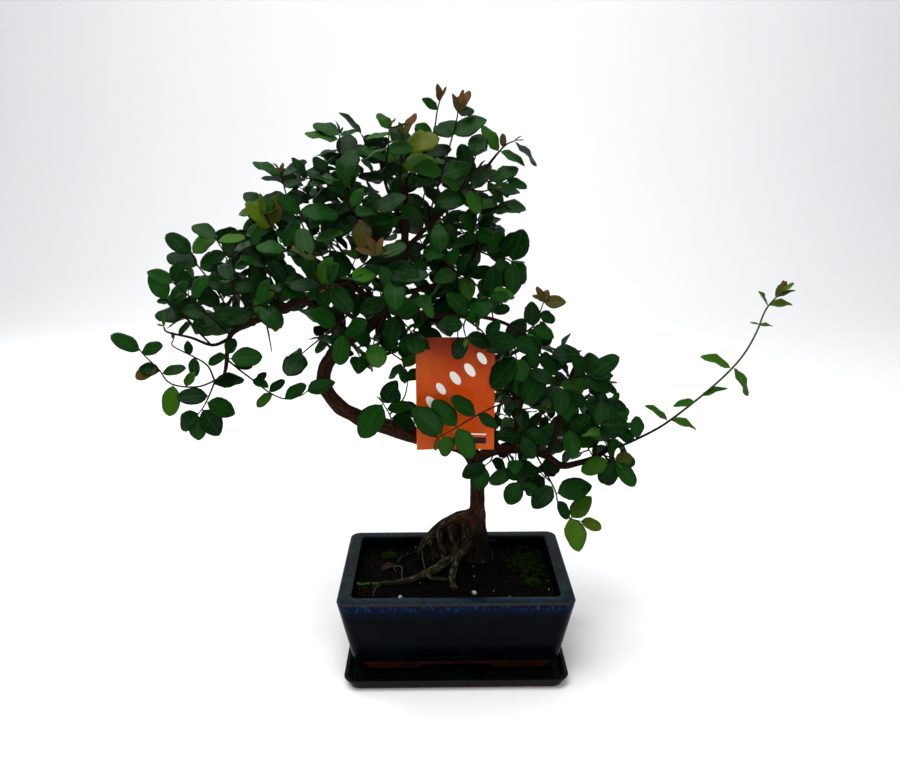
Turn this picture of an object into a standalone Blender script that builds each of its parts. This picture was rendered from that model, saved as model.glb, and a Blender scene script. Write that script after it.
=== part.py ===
"""A bonsai in a glazed pot on its saucer, built in metres with +Z up.

The origin is on the saucer's underside, below the middle of the pot. +X runs along the pot's
long side towards the long young shoot, and -Y is the side where the surface roots show.
Every place along the tree is given in centimetres and scaled once, by CM.
"""

import math
import random

import bmesh
import bpy
from mathutils import Matrix, Quaternion, Vector
from mathutils.bvhtree import BVHTree

CM = 0.01
GAP = 0.0003  # left between pieces that touch
POCKET_GAP = 0.00045  # wider, because a flat lump's pocket is nearer at its edge
WELD_DISTANCE = 1e-6
TREE_SEED = 7

POT_LENGTH = 0.2026
POT_DEPTH = 0.140
POT_TOP = 0.0777
POT_FOOT = 0.0043
LIP_ROUND = 0.0012
GLAZE_BOTTOM = 0.0160
GLAZE_INSET = 0.0115
FOOT_INSET = 0.0195
RIM_WIDTH = 0.012
POT_FLOOR = 0.0150
FLOOR_UNDERSIDE = 0.0090
FOOT_WIDTH = 0.009
ARCH_HEIGHT = 0.0047
ARCH_OVERCUT = 0.01
ARCH_FRONT = 0.062
ARCH_SIDE = 0.034
HOLE_RADIUS = 0.006
HOLE_X = 0.045
SCREEN_SIZE = 0.022
SCREEN_THICKNESS = 0.0012

SAUCER_LENGTH = 0.1930
SAUCER_DEPTH = 0.138
SAUCER_HEIGHT = 0.010
SAUCER_FLOOR = 0.004
SAUCER_WALL = 0.004
SAUCER_SHIFT_Y = -0.009  # the pot stands towards the back of its saucer

SOIL_EDGE = 0.0665
SOIL_TOP = 0.0690
SOIL_GAP = 0.00035
SOIL_RIPPLE = 0.0005
MOUND_X = 0.015
MOUND_Y = 0.025
MOUND_LENGTH = 0.075
MOUND_DEPTH = 0.05

CARD_WIDTH = 0.0655
CARD_HEIGHT = 0.0975
CARD_THICKNESS = 0.0006
CARD_HOLE_RADIUS = 0.0025
CARD_X = 0.0
CARD_Y = -0.0200
CARD_BOTTOM = 0.1962
CARD_BOW = -0.0020
TIE_X = 0.002
CARD_HOLE_DROP = 0.006  # from the card's top edge to the hole's centre
TIE_RADIUS = 0.0005
TIE_GAP = 0.0004

# The tree's own measures, in centimetres.
LEAF_THICKNESS = 0.10
LEAF_WIDTH_SHARE = 0.62
LEAF_CLEARANCE = 0.04
LEAF_FOLD = 0.05  # of its length: how far the blade's edges rise above the midrib
MIDRIB_SHARE = 0.30  # of its length: where the blade is thickest
LEAF_SAG = 0.06  # of its length: how far the tip droops
ROLL_SPREAD = 12  # degrees
LEAF_DEPTH_TURN = 22  # degrees out of the front plane
PAIR_TURN = 80  # degrees from one pair to the next, round the twig
PAIR_TURN_SPREAD = 25
PAIR_SPREAD = (48, 66)  # degrees between a leaf and its twig
LENGTH_SPREAD = (0.82, 1.08)
BLADE_CLEARANCE = 0.02
BASE_OFFSET = 0.02  # a leaf starts just off its twig's axis
FIRST_PAIR = 0.30
LAST_SHARE = 0.97
BLADE_START = 0.25  # of its length: nearer the twig, leaves of one spray may touch
BACK_FACING_Y = 3.2  # leaves behind this plane turn towards the back
LIGHT_RISE = 0.93
LOW_TILT = 1.0  # how far leaves turn outwards for each LIGHT_RISE that they turn up
TOP_TILT = 0.3
SIDE_LIGHT_TOP = 36.0  # heights in centimetres between which the tilt changes
SKY_LIGHT_BOTTOM = 45.0
LONG_SHOOT_X = 17.0
LONG_SHOOT_TILT = 0.12
TWIG_RADII = (0.09, 0.05)
LIMB_CLEARANCE = 0.036
TRUNK_STEPS = 2  # stretches of a path between two of its points
SHOOT_STEPS = 1

BARK = ("bark", (0.16, 0.075, 0.045, 1.0), 0.85, 0.0)
LEAF_GREEN = ("leaf", (0.025, 0.11, 0.035, 1.0), 0.42, 0.0)
GLAZE = ("glaze", (0.02, 0.045, 0.085, 1.0), 0.18, 0.0)
SAUCER_GLAZE = ("saucer_glaze", (0.02, 0.024, 0.028, 1.0), 0.22, 0.0)
SOIL = ("soil", (0.028, 0.018, 0.012, 1.0), 0.95, 0.0)
MOSS = ("moss", (0.09, 0.14, 0.02, 1.0), 0.95, 0.0)
PUMICE = ("pumice", (0.62, 0.58, 0.5, 1.0), 0.9, 0.0)
DRY_LEAF = ("dry_leaf", (0.2, 0.085, 0.05, 1.0), 0.8, 0.0)
CARD = ("card", (0.86, 0.22, 0.02, 1.0), 0.35, 0.0)
TIE = ("tie", (0.05, 0.09, 0.04, 1.0), 0.5, 0.0)
MESH = ("mesh", (0.05, 0.05, 0.05, 1.0), 0.6, 0.0)

SMALL_PEBBLE = 0.005
PEBBLE_UNEVEN = 0.16

# Things on the soil: place in metres with how far it is sunk, half sizes in metres, finish.
GROUND = {
    "moss_right_back": ((0.070, 0.026, 0.0022), (0.0110, 0.0080, 0.0034), MOSS),
    "moss_right": ((0.068, -0.016, 0.0022), (0.0095, 0.0070, 0.0032), MOSS),
    "moss_left_back": ((-0.062, 0.036, 0.0022), (0.0100, 0.0070, 0.0034), MOSS),
    "pumice_front": ((0.016, -0.034, 0.0014), (0.0030, 0.0026, 0.0022), PUMICE),
    "pumice_left": ((-0.048, -0.040, 0.0014), (0.0024, 0.0028, 0.0020), PUMICE),
    "dry_leaf": ((-0.063, 0.013, 0.0008), (0.0085, 0.0050, 0.0016), DRY_LEAF),
}

# The trunk: centre in centimetres, then its radius in centimetres.
TRUNK = [
    (2.2, 3.0, 5.0, 1.30),
    (2.2, 3.0, 7.0, 1.25),
    (2.15, 2.8, 9.0, 1.02),
    (2.15, 2.7, 11.0, 0.82),
    (2.15, 2.6, 13.0, 0.67),
    (2.1, 2.6, 15.2, 0.66),
    (1.9, 2.5, 16.8, 0.70),
    (1.0, 2.4, 18.2, 0.80),
    (-0.8, 2.3, 19.0, 0.80),
    (-3.2, 2.2, 19.4, 0.78),
    (-5.5, 2.1, 20.2, 0.72),
    (-8.0, 2.0, 21.0, 0.68),
    (-10.0, 1.9, 22.2, 0.66),
    (-11.2, 1.8, 23.8, 0.64),
    (-11.4, 1.7, 25.4, 0.62),
    (-10.6, 1.7, 27.0, 0.58),
    (-9.0, 1.8, 28.4, 0.54),
    (-7.0, 1.9, 29.8, 0.50),
    (-5.4, 2.0, 31.6, 0.45),
    (-4.6, 2.0, 34.0, 0.38),
    (-4.2, 1.9, 36.8, 0.30),
    (-4.0, 1.8, 39.6, 0.22),
    (-4.0, 1.7, 42.0, 0.14),
]

# Limbs that grow from the trunk or from each other: radius at the start and the end, then centres.
LIMBS = {
    "right": (0.50, 0.28, [(1.9, 2.5, 17.0), (3.4, 2.2, 17.9), (5.4, 1.8, 18.2), (7.0, 1.5, 18.1),
                           (8.3, 1.3, 17.7)]),
    "right_riser": (0.26, 0.15, [(8.2, 1.3, 17.8), (8.9, 1.2, 19.4), (9.2, 1.2, 21.2), (9.7, 1.3, 23.4),
                                 (10.3, 1.4, 25.4), (10.9, 1.4, 26.8)]),
    "left": (0.42, 0.14, [(-9.0, 1.8, 28.4), (-10.8, 1.6, 30.6), (-12.8, 1.4, 31.9), (-14.6, 1.3, 31.2),
                          (-16.4, 1.3, 30.4), (-18.2, 1.3, 29.7), (-19.3, 1.3, 28.8), (-19.6, 1.3, 27.4),
                          (-19.8, 1.4, 26.2), (-20.1, 1.4, 25.2)]),
    "left_spur": (0.10, 0.04, [(-16.1, 1.3, 30.4), (-15.9, 1.1, 29.0), (-15.7, 1.0, 27.5)]),
    "upper_left": (0.32, 0.11, [(-6.2, 1.9, 30.7), (-8.4, 1.5, 33.0), (-11.0, 1.2, 34.9),
                                (-13.2, 1.1, 36.4), (-14.8, 1.1, 37.5)]),
    "crown_left": (0.26, 0.10, [(-4.6, 2.0, 34.0), (-6.8, 2.2, 37.2), (-8.6, 2.1, 40.4),
                                (-9.2, 1.8, 43.0)]),
    "crown_right": (0.22, 0.10, [(-4.3, 1.9, 36.0), (-1.6, 2.2, 38.6), (0.8, 2.4, 40.8),
                                 (2.3, 2.3, 42.4), (3.6, 2.0, 44.0)]),
}

# Exposed roots, in the same form. They fan out from the flare and dive into the soil.
ROOTS = {
    "main": (0.62, 0.16, [(1.9, 2.4, 9.2), (1.0, 1.9, 8.4), (-0.2, 1.4, 7.6), (-1.5, 0.6, 7.2),
                          (-2.7, -0.6, 7.1), (-4.0, -1.4, 7.0), (-5.2, -1.8, 7.0), (-6.8, -1.9, 6.9)]),
    "main_tip": (0.14, 0.06, [(-6.7, -1.9, 6.9), (-7.1, -2.8, 6.85), (-7.2, -4.0, 6.6)]),
    "main_fork": (0.24, 0.14, [(-2.6, -0.5, 7.1), (-2.0, -1.3, 7.05), (-1.0, -1.3, 7.0),
                               (-0.4, -1.0, 6.7)]),
    "ridge": (0.62, 0.22, [(1.8, 2.8, 11.4), (0.8, 2.9, 11.2), (-0.5, 3.0, 10.7), (-1.6, 3.0, 9.9),
                           (-2.5, 3.0, 9.0), (-3.1, 2.9, 8.0), (-3.3, 3.0, 6.6)]),
    "curtain_1": (0.30, 0.22, [(0.9, 2.8, 11.0), (0.9, 2.4, 9.6), (1.1, 2.1, 8.0)]),
    "curtain_2": (0.27, 0.20, [(-0.1, 2.8, 10.8), (-0.4, 2.4, 9.7), (0.1, 2.1, 8.4), (0.4, 2.0, 6.6)]),
    "curtain_3": (0.36, 0.27, [(-1.4, 2.9, 10.0), (-1.4, 2.5, 8.8), (-1.0, 2.2, 7.6), (-0.7, 2.1, 6.4)]),
    "curtain_4": (0.25, 0.18, [(-2.2, 2.9, 9.2), (-2.1, 2.6, 8.0), (-1.7, 2.5, 6.5)]),
    "side": (0.15, 0.07, [(-3.1, 2.9, 7.8), (-4.0, 3.6, 7.05), (-4.9, 3.2, 6.95), (-5.6, 2.2, 6.6)]),
    "front": (0.34, 0.30, [(0.6, 1.7, 8.0), (0.1, 0.5, 7.5), (-0.2, -0.7, 7.3), (-0.3, -1.9, 7.1),
                           (0.0, -2.6, 6.5)]),
    "right": (0.16, 0.07, [(3.0, 3.4, 8.6), (3.9, 4.2, 8.0), (4.5, 4.4, 7.3), (4.8, 4.1, 6.6)]),
    "right_small": (0.13, 0.07, [(2.9, 2.6, 8.6), (3.5, 2.5, 7.8), (3.6, 2.3, 6.6)]),
    "back": (0.40, 0.22, [(2.2, 3.6, 8.8), (2.0, 4.4, 7.6), (1.6, 5.0, 6.4)]),
}


# Other ways that a leaf may lie where its own is taken: roll, lift and turn in degrees, and size.
TRIALS = [
    (0, 0, 0, 1.0), (0, 18, 0, 1.0), (0, -18, 0, 1.0), (25, 0, 8, 1.0), (-25, 0, -8, 1.0),
    (0, 32, 12, 0.95), (0, -32, -12, 0.95), (35, 15, -14, 0.9), (-35, -15, 14, 0.9),
    (0, 45, 0, 0.9), (0, -45, 0, 0.9), (50, 0, 22, 0.85), (-50, 0, -22, 0.85), (0, 25, 30, 0.8),
    (0, -25, -30, 0.8), (60, 30, 0, 0.75), (-60, -30, 0, 0.75),
]


def stem(path, leaves=(), pairs=0, leaf=2.6, radii=TWIG_RADII):
    """A shoot: its path, leaves as (share of the path, heading in degrees, length in cm) and more
    leaves in opposite pairs. Headings are seen from the front: 0 to the right, 90 up."""
    return {"path": path, "leaves": leaves, "pairs": pairs, "leaf": leaf, "radii": radii}


SPRAYS = {
    "spray_left_tip": [
        stem([(-20.1, 1.4, 25.3), (-22.3, 1.2, 24.4), (-24.6, 1.1, 24.7), (-25.5, 1.0, 26.0),
              (-26.6, 0.9, 27.3), (-27.0, 0.9, 27.9)],
             [(1.0, 143, 2.7), (0.96, 18, 2.2), (0.74, 200, 2.3), (0.70, 170, 1.9), (0.68, 12, 2.1),
              (0.52, 262, 2.8), (0.40, 60, 1.6)]),
        stem([(-20.8, 1.34, 25.0), (-21.1, 0.4, 24.0), (-21.6, 0.1, 23.0), (-22.2, -0.2, 22.2)],
             [(0.15, 18, 2.8), (0.45, 176, 2.6), (0.62, -30, 2.8), (0.80, -62, 2.8), (0.92, -140, 2.6),
              (1.0, -95, 2.5)]),
        stem([(-20.9, 1.34, 25.0), (-21.6, 2.0, 26.1), (-22.9, 2.2, 26.9), (-24.5, 2.2, 27.8),
              (-24.4, 2.2, 28.4)],
             [(0.58, 105, 1.3), (0.52, -92, 1.8)]),
    ],
    "spray_left_outer": [
        stem([(-19.3, 1.3, 28.6), (-20.8, 1.2, 28.1), (-22.5, 1.0, 28.8),
              (-24.4, 0.9, 29.3), (-24.7, 0.9, 29.8)], radii=(0.17, 0.06)),
        stem([(-20.9, 1.2, 28.2), (-21.9, 1.0, 29.4), (-23.0, 0.8, 31.0), (-24.3, 0.7, 32.2)],
             [(0.97, 112, 2.6), (0.92, 172, 1.0), (0.88, 55, 2.3), (0.55, 70, 2.2), (0.40, 28, 2.7),
              (0.45, 215, 1.9), (0.20, 100, 1.6)]),
    ],
    "spray_left_mid": [
        stem([(-19.2, 1.2, 28.9), (-20.5, 0.0, 30.8), (-22.0, -0.3, 32.6), (-23.3, -0.4, 33.8)],
             [(1.0, 150, 2.2), (0.95, 75, 2.0), (0.75, 205, 1.9), (0.70, 55, 2.4), (0.42, 165, 2.2),
              (0.38, 12, 2.5)]),
    ],
    "spray_left_high": [
        stem([(-18.6, 1.5, 29.6), (-20.4, 2.2, 32.8), (-21.8, 2.2, 34.8), (-22.2, 2.0, 36.0)],
             [(1.0, 140, 2.6), (0.97, 38, 2.6), (0.82, 156, 2.9), (0.80, 28, 2.4), (0.55, 170, 2.4),
              (0.50, 10, 2.4)]),
    ],
    "spray_left_peak": [
        stem([(-17.6, 1.3, 30.0), (-18.6, 0.8, 32.6), (-18.4, 0.8, 34.8), (-19.3, 0.8, 36.4),
              (-19.8, 0.8, 37.3)],
             [(1.0, 150, 2.4), (0.95, 8, 2.3), (0.78, 195, 2.0), (0.62, 25, 1.9), (0.45, 168, 2.4),
              (0.40, 12, 2.4)]),
    ],
    "spray_left_sweep": [
        stem([(-19.7, 1.3, 26.8), (-18.3, 0.8, 25.8), (-17.2, 0.6, 25.0), (-15.9, 0.4, 24.0),
              (-14.6, 0.3, 23.5), (-13.3, 0.3, 23.8), (-12.6, 0.3, 24.3)],
             [(0.10, -8, 1.6), (0.40, 48, 1.2), (0.34, -20, 1.6), (0.55, 35, 1.7), (0.72, 32, 2.3),
              (0.60, 214, 2.0), (1.0, 8, 2.6)]),
    ],
    "spray_left_oval": [
        stem([(-19.6, 1.3, 27.9), (-19.4, 0.2, 27.4), (-19.0, -0.3, 27.2)],
             [(1.0, 6, 2.7), (0.7, 200, 2.0), (0.5, 60, 1.5)]),
    ],
    "spray_left_inner": [
        stem([(-16.6, 1.3, 30.4), (-16.9, -0.4, 31.4), (-17.6, -1.4, 32.8), (-18.2, -1.9, 34.2)],
             pairs=2, leaf=2.7),
        stem([(-17.1, -0.6, 31.6), (-15.4, -1.4, 32.2), (-14.2, -2.0, 33.2)], pairs=2, leaf=2.6),
    ],
    "spray_left_back": [
        stem([(-16.0, 1.3, 30.6), (-16.2, 3.0, 32.4), (-17.0, 4.0, 34.4), (-17.4, 4.4, 36.4)],
             pairs=2, leaf=2.65),
        stem([(-16.1, 2.9, 32.3), (-18.0, 4.4, 33.0), (-19.8, 5.2, 34.2)], pairs=2, leaf=2.6),
    ],
    "spray_left_rise": [
        stem([(-14.6, 1.3, 31.2), (-15.2, 1.0, 33.2), (-15.9, 0.8, 35.2), (-16.8, 0.6, 36.8)],
             pairs=3, leaf=2.6),
    ],
    "spray_upper_left_rosette": [
        stem([(-14.6, 1.1, 37.4), (-15.1, 0.6, 38.2), (-15.5, 0.3, 39.2)],
             [(0.40, 140, 3.0), (0.50, 72, 2.7), (0.95, 122, 1.6), (1.0, 62, 1.4), (0.30, 185, 2.6),
              (0.25, -12, 2.3)]),
    ],
    "spray_upper_left_edge": [
        stem([(-13.4, 1.1, 36.5), (-15.0, 2.6, 38.2), (-16.4, 3.0, 39.6)],
             [(1.0, 138, 2.0), (0.92, 186, 2.4), (0.70, 60, 2.4), (0.62, 205, 2.3), (0.40, 80, 2.4)]),
    ],
    "spray_upper_left_fork": [
        stem([(-11.6, 1.2, 35.2), (-12.6, 1.7, 38.0), (-13.8, 1.7, 40.4), (-14.2, 1.6, 42.4)],
             [(1.0, 148, 2.5), (0.99, 28, 2.5), (0.92, 172, 1.9), (0.90, -4, 1.8), (0.78, -18, 2.0),
              (0.72, 170, 2.2), (0.50, 20, 2.5), (0.45, 165, 2.5)]),
    ],
    "spray_upper_left_front": [
        stem([(-10.4, 1.3, 34.5), (-10.9, -1.0, 36.2), (-11.6, -2.0, 38.2), (-12.2, -2.4, 39.6)],
             [(1.0, 2, 3.1), (0.95, 140, 2.4), (0.60, 20, 2.5), (0.55, 190, 2.6), (0.75, 60, 2.4),
              (0.35, -30, 2.6)]),
        stem([(-11.0, -1.1, 36.4), (-12.4, -2.2, 36.2), (-13.6, -2.8, 36.8)],
             [(1.0, 60, 2.5), (0.9, 170, 2.3), (0.5, -60, 2.4)]),
    ],
    "spray_upper_left_low": [
        stem([(-9.0, 1.4, 33.4), (-11.0, -0.2, 33.6), (-12.6, -1.2, 33.4), (-14.0, -1.6, 33.8)],
             pairs=3, leaf=2.7),
    ],
    "spray_crown_left_tip": [
        stem([(-9.2, 1.8, 42.8), (-9.4, 1.7, 44.2), (-9.3, 1.6, 45.4)],
             [(1.0, 150, 2.5), (0.85, 164, 2.8), (0.55, 188, 1.9), (0.50, -6, 2.5), (0.95, 18, 1.8)]),
    ],
    "spray_crown_left_side": [
        stem([(-8.4, 2.1, 40.2), (-9.6, 1.4, 41.2), (-11.0, 0.8, 41.8), (-12.0, 0.6, 42.0)],
             pairs=3, leaf=2.5),
    ],
    "spray_crown_left_front": [
        stem([(-7.4, 2.2, 38.4), (-8.0, -0.2, 39.0), (-8.6, -2.0, 40.4), (-8.8, -2.8, 42.0)],
             pairs=2, leaf=2.65),
        stem([(-8.1, -0.4, 39.1), (-6.8, -2.2, 38.8), (-6.2, -3.6, 39.6)], pairs=2, leaf=2.6),
    ],
    "spray_crown_left_back": [
        stem([(-7.6, 2.2, 38.8), (-8.8, 4.4, 39.8), (-9.6, 5.6, 41.4), (-9.8, 6.2, 43.0)],
             pairs=2, leaf=2.6),
        stem([(-8.8, 4.4, 39.8), (-10.8, 5.2, 39.6), (-12.4, 5.6, 40.2)], pairs=2, leaf=2.5),
    ],
    "spray_crown_top": [
        stem([(-4.1, 1.9, 38.0), (-5.5, 1.4, 41.0), (-5.9, 1.3, 43.4),
              (-5.5, 1.3, 45.2)], radii=(0.18, 0.09)),
        stem([(-5.9, 1.3, 43.2), (-6.9, 1.2, 44.4), (-7.5, 1.2, 45.4)],
             [(1.0, 130, 2.5), (0.85, 12, 2.2), (0.60, 190, 2.4), (0.45, 60, 2.2)]),
        stem([(-5.7, 1.3, 42.4), (-5.4, -0.6, 43.4), (-5.2, -1.4, 44.8), (-5.1, -1.6, 45.8)],
             [(1.0, 118, 1.7), (0.97, 20, 1.9), (0.70, 200, 2.2), (0.66, -8, 2.4), (0.40, 150, 2.4),
              (0.36, 30, 2.2)]),
    ],
    "spray_young_left": [
        stem([(-4.0, 1.8, 40.4), (-4.4, 0.2, 42.0), (-4.2, -0.6, 43.8), (-4.1, -0.8, 45.4)],
             [(0.82, 18, 3.0), (0.58, 8, 3.0), (1.0, 62, 2.0), (1.0, 150, 1.2), (0.60, 172, 2.4),
              (0.84, 168, 1.8)]),
    ],
    "spray_young_tall": [
        stem([(-1.8, 2.2, 38.4), (-1.9, 0.6, 39.6), (-1.2, -0.1, 41.8), (-0.5, -0.2, 44.2),
              (0.1, -0.2, 46.3), (0.25, -0.2, 47.3)],
             [(1.0, 104, 1.5), (1.0, 62, 1.9), (0.98, 8, 1.3), (0.80, 26, 2.9), (0.78, 150, 1.8),
              (0.50, 168, 2.4), (0.48, 20, 2.6), (0.25, 6, 2.8)]),
    ],
    "spray_young_thin": [
        stem([(-4.0, 1.7, 41.8), (-2.6, 1.7, 43.8), (-1.7, 1.5, 45.6), (-1.4, 1.4, 47.2),
              (-1.15, 1.4, 48.1)],
             [(1.0, 96, 1.4), (0.88, 142, 1.5), (0.62, 14, 2.6), (0.60, 150, 1.6), (0.40, 170, 2.2),
              (0.36, 10, 2.4)]),
    ],
    "spray_crown_back": [
        stem([(-4.2, 1.9, 37.0), (-5.0, 4.0, 39.0), (-5.4, 5.6, 41.2)], radii=(0.18, 0.09)),
        stem([(-5.2, 4.6, 40.0), (-3.6, 6.0, 41.2), (-2.6, 6.6, 42.8)], pairs=2, leaf=2.6),
        stem([(-3.7, 5.9, 41.1), (-2.2, 5.4, 41.4), (-0.8, 5.2, 42.4)], pairs=2, leaf=2.5),
        stem([(-5.4, 5.4, 41.0), (-6.2, 6.0, 42.4), (-6.6, 6.2, 44.2)], pairs=2, leaf=2.6),
    ],
    "spray_crown_right_tip": [
        stem([(3.4, 2.0, 43.7), (4.2, 1.8, 44.6), (4.9, 1.6, 44.9)],
             [(1.0, -38, 2.8), (0.45, 92, 1.1), (0.20, 118, 2.5), (0.25, -25, 2.4)]),
    ],
    "spray_crown_right_low": [
        stem([(1.8, 2.4, 41.8), (3.0, 1.6, 41.7), (4.3, 1.4, 41.9)],
             [(1.0, -22, 1.9), (0.75, -58, 1.6), (0.50, 30, 2.5), (0.40, -60, 2.2)]),
    ],
    "spray_crown_right_front": [
        stem([(0.2, 2.3, 40.2), (0.6, 0.0, 41.4), (1.2, -1.4, 42.6), (1.6, -1.8, 43.8)],
             pairs=2, leaf=2.5),
        stem([(0.5, 0.2, 41.3), (2.0, -1.0, 41.0), (3.0, -1.4, 41.2)], pairs=2, leaf=2.5),
    ],
    "spray_crown_right_back": [
        stem([(0.6, 2.4, 40.6), (1.4, 4.4, 41.2), (2.0, 5.4, 42.4)], pairs=3, leaf=2.6),
    ],
    "spray_right_mid": [
        stem([(-5.1, 2.0, 32.2), (-1.8, 2.2, 33.0), (0.8, 2.4, 34.2), (2.0, 2.6, 36.2),
              (2.7, 2.6, 38.6)], radii=(0.25, 0.11)),
        stem([(2.6, 2.6, 38.2), (3.2, 2.0, 39.4), (4.2, 1.8, 40.0)],
             [(1.0, -30, 1.6), (0.70, 170, 2.4), (0.55, -12, 3.0), (0.30, 120, 2.4)]),
        stem([(1.9, 2.5, 36.0), (3.2, 2.2, 35.5), (4.4, 2.0, 35.3), (5.0, 1.8, 35.0)],
             [(1.0, 72, 2.9), (1.0, -88, 2.9), (0.92, -52, 2.6), (0.65, 50, 2.6), (0.60, -70, 2.6),
              (0.35, 60, 2.4)]),
        stem([(0.6, 2.3, 34.1), (1.0, 0.0, 34.0), (2.0, -1.2, 33.4), (3.2, -1.6, 33.0)],
             pairs=2, leaf=2.6),
        stem([(0.9, 0.4, 34.0), (-0.4, -1.6, 35.0), (-1.2, -2.6, 36.4)], pairs=2, leaf=2.6),
    ],
    "spray_back_right": [
        stem([(-4.8, 2.0, 33.2), (-3.0, 4.4, 34.6), (-1.4, 6.4, 36.4),
              (-0.6, 7.6, 38.6)], radii=(0.25, 0.11)),
        stem([(-1.6, 6.2, 36.2), (0.6, 6.2, 37.0), (2.4, 5.6, 37.6)], pairs=2, leaf=2.6),
        stem([(-1.0, 6.3, 36.5), (-0.4, 7.6, 35.2), (0.6, 8.2, 34.4)], pairs=2, leaf=2.6),
        stem([(-0.7, 7.4, 38.2), (-1.6, 8.0, 39.6), (-1.8, 8.4, 41.0)], pairs=2, leaf=2.6),
    ],
    "spray_back_left": [
        stem([(-6.4, 1.9, 30.4), (-7.6, 4.2, 32.4), (-9.2, 6.4, 34.2),
              (-10.6, 8.0, 36.0)], radii=(0.28, 0.11)),
        stem([(-10.3, 7.7, 35.6), (-11.8, 8.2, 36.6), (-13.0, 8.2, 38.0)], pairs=2, leaf=2.7),
        stem([(-11.2, 8.0, 36.2), (-11.6, 9.2, 34.6), (-12.6, 9.6, 33.6)], pairs=2, leaf=2.6),
        stem([(-8.8, 6.0, 33.8), (-7.4, 7.6, 34.8), (-6.4, 8.4, 36.4)], pairs=2, leaf=2.7),
        stem([(-7.6, 7.4, 34.7), (-5.4, 8.4, 34.0), (-4.0, 8.6, 34.2)], pairs=2, leaf=2.6),
        stem([(-7.9, 4.6, 32.8), (-9.6, 5.0, 31.6), (-11.4, 5.2, 31.4)], pairs=2, leaf=2.7),
    ],
    "spray_front_left": [
        stem([(-7.4, 1.9, 29.5), (-8.4, -0.8, 30.8), (-9.4, -3.2, 32.2),
              (-10.0, -5.0, 33.8)], radii=(0.26, 0.10)),
        stem([(-9.9, -4.7, 33.5), (-10.8, -5.4, 34.8), (-11.2, -5.8, 36.2)], pairs=2, leaf=2.8),
        stem([(-10.4, -5.1, 34.2), (-9.0, -6.2, 34.2), (-7.8, -6.6, 34.8)], pairs=2, leaf=2.7),
        stem([(-8.7, -1.6, 31.2), (-10.0, -3.0, 30.2), (-11.4, -3.6, 29.2), (-12.4, -3.8, 28.4)],
             pairs=2, leaf=2.8),
        stem([(-9.6, -2.6, 30.5), (-8.4, -3.8, 29.4), (-7.6, -4.2, 28.2)], pairs=2, leaf=2.8),
    ],
    "spray_front_mid": [
        stem([(-5.0, 2.0, 32.8), (-5.2, -0.4, 33.4), (-5.4, -2.8, 34.0),
              (-5.6, -4.6, 35.0)], radii=(0.20, 0.09)),
        stem([(-5.6, -4.3, 34.8), (-5.9, -5.0, 35.8), (-6.0, -5.2, 36.4)],
             [(1.0, 120, 1.8), (1.0, 75, 1.5), (0.95, 22, 2.4), (0.60, -60, 2.2), (0.30, -6, 2.9),
              (0.35, 190, 2.6)]),
        stem([(-5.7, -4.5, 35.1), (-4.2, -5.2, 34.2), (-3.0, -5.6, 33.2)], pairs=2, leaf=2.7),
        stem([(-5.3, -1.2, 33.5), (-5.6, -3.0, 31.8), (-6.2, -4.0, 30.4), (-6.6, -4.4, 29.2)],
             pairs=2, leaf=2.8),
        stem([(-5.6, -2.8, 32.0), (-4.2, -3.8, 31.0), (-3.2, -4.2, 29.8)], pairs=2, leaf=2.7),
    ],
    "spray_label_limb": [
        stem([(-5.9, 2.0, 31.0), (-3.6, 0.4, 30.9), (-1.0, -1.4, 31.0),
              (1.6, -1.8, 31.1), (4.0, -1.2, 30.4), (6.0, -0.4, 29.2)], radii=(0.26, 0.12)),
        stem([(5.8, -0.5, 29.4), (6.6, -0.1, 29.9), (7.1, 0.2, 30.8), (7.5, 0.4, 31.9)],
             [(1.0, 112, 1.5), (1.0, 70, 1.2), (1.0, 4, 1.9), (0.62, 148, 1.4), (0.62, -12, 1.8),
              (0.30, 96, 2.2), (0.28, -24, 2.2)]),
        stem([(4.4, -1.1, 30.2), (4.8, -2.2, 28.8), (5.0, -2.6, 27.6)],
             [(0.95, 236, 3.2), (0.60, 185, 2.4), (0.50, -20, 2.4), (1.0, -70, 2.4)]),
        stem([(1.4, -1.8, 31.1), (1.0, -3.4, 31.4), (0.6, -4.4, 30.8), (0.8, -4.8, 29.8)],
             [(1.0, -120, 2.2), (0.95, -20, 2.4), (0.70, 175, 2.2), (0.60, 40, 2.6), (0.35, 130, 2.6)]),
        stem([(0.9, -3.8, 31.2), (2.0, -4.4, 30.4), (2.6, -4.6, 29.6)],
             [(1.0, 65, 1.8), (0.9, -15, 2.8), (0.5, 110, 2.2)]),
    ],
    "spray_right_inner": [
        stem([(5.4, 1.8, 18.2), (5.6, 2.2, 20.5), (6.2, 2.6, 23.0), (6.6, 2.6, 25.5),
              (6.8, 2.4, 27.5)], radii=(0.26, 0.12)),
        stem([(6.7, 2.4, 27.0), (7.6, 1.6, 27.1), (8.4, 1.3, 27.0)],
             [(1.0, 6, 2.6), (0.60, 150, 2.2), (0.50, -50, 2.4), (0.30, 100, 2.2)]),
        stem([(6.6, 2.6, 25.7), (7.0, 0.6, 26.0), (8.0, -0.6, 25.5), (9.0, -0.9, 24.8)],
             [(0.55, 246, 3.2), (0.98, -82, 2.9), (1.0, -8, 1.6), (0.88, 158, 2.4), (0.45, 110, 2.2)]),
        stem([(5.6, 2.1, 20.0), (6.4, 0.4, 20.6), (7.2, -0.6, 21.6), (7.6, -1.0, 22.8)],
             pairs=2, leaf=2.6),
        stem([(6.2, 0.8, 20.5), (5.4, -0.8, 19.6), (5.2, -1.6, 18.4)], pairs=2, leaf=2.7),
        stem([(6.2, 2.6, 23.0), (7.2, 4.2, 23.6), (8.4, 5.0, 24.4)], pairs=2, leaf=2.6),
        stem([(6.9, 3.7, 23.4), (5.6, 4.8, 24.2), (4.8, 5.4, 25.4)], pairs=2, leaf=2.5),
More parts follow.
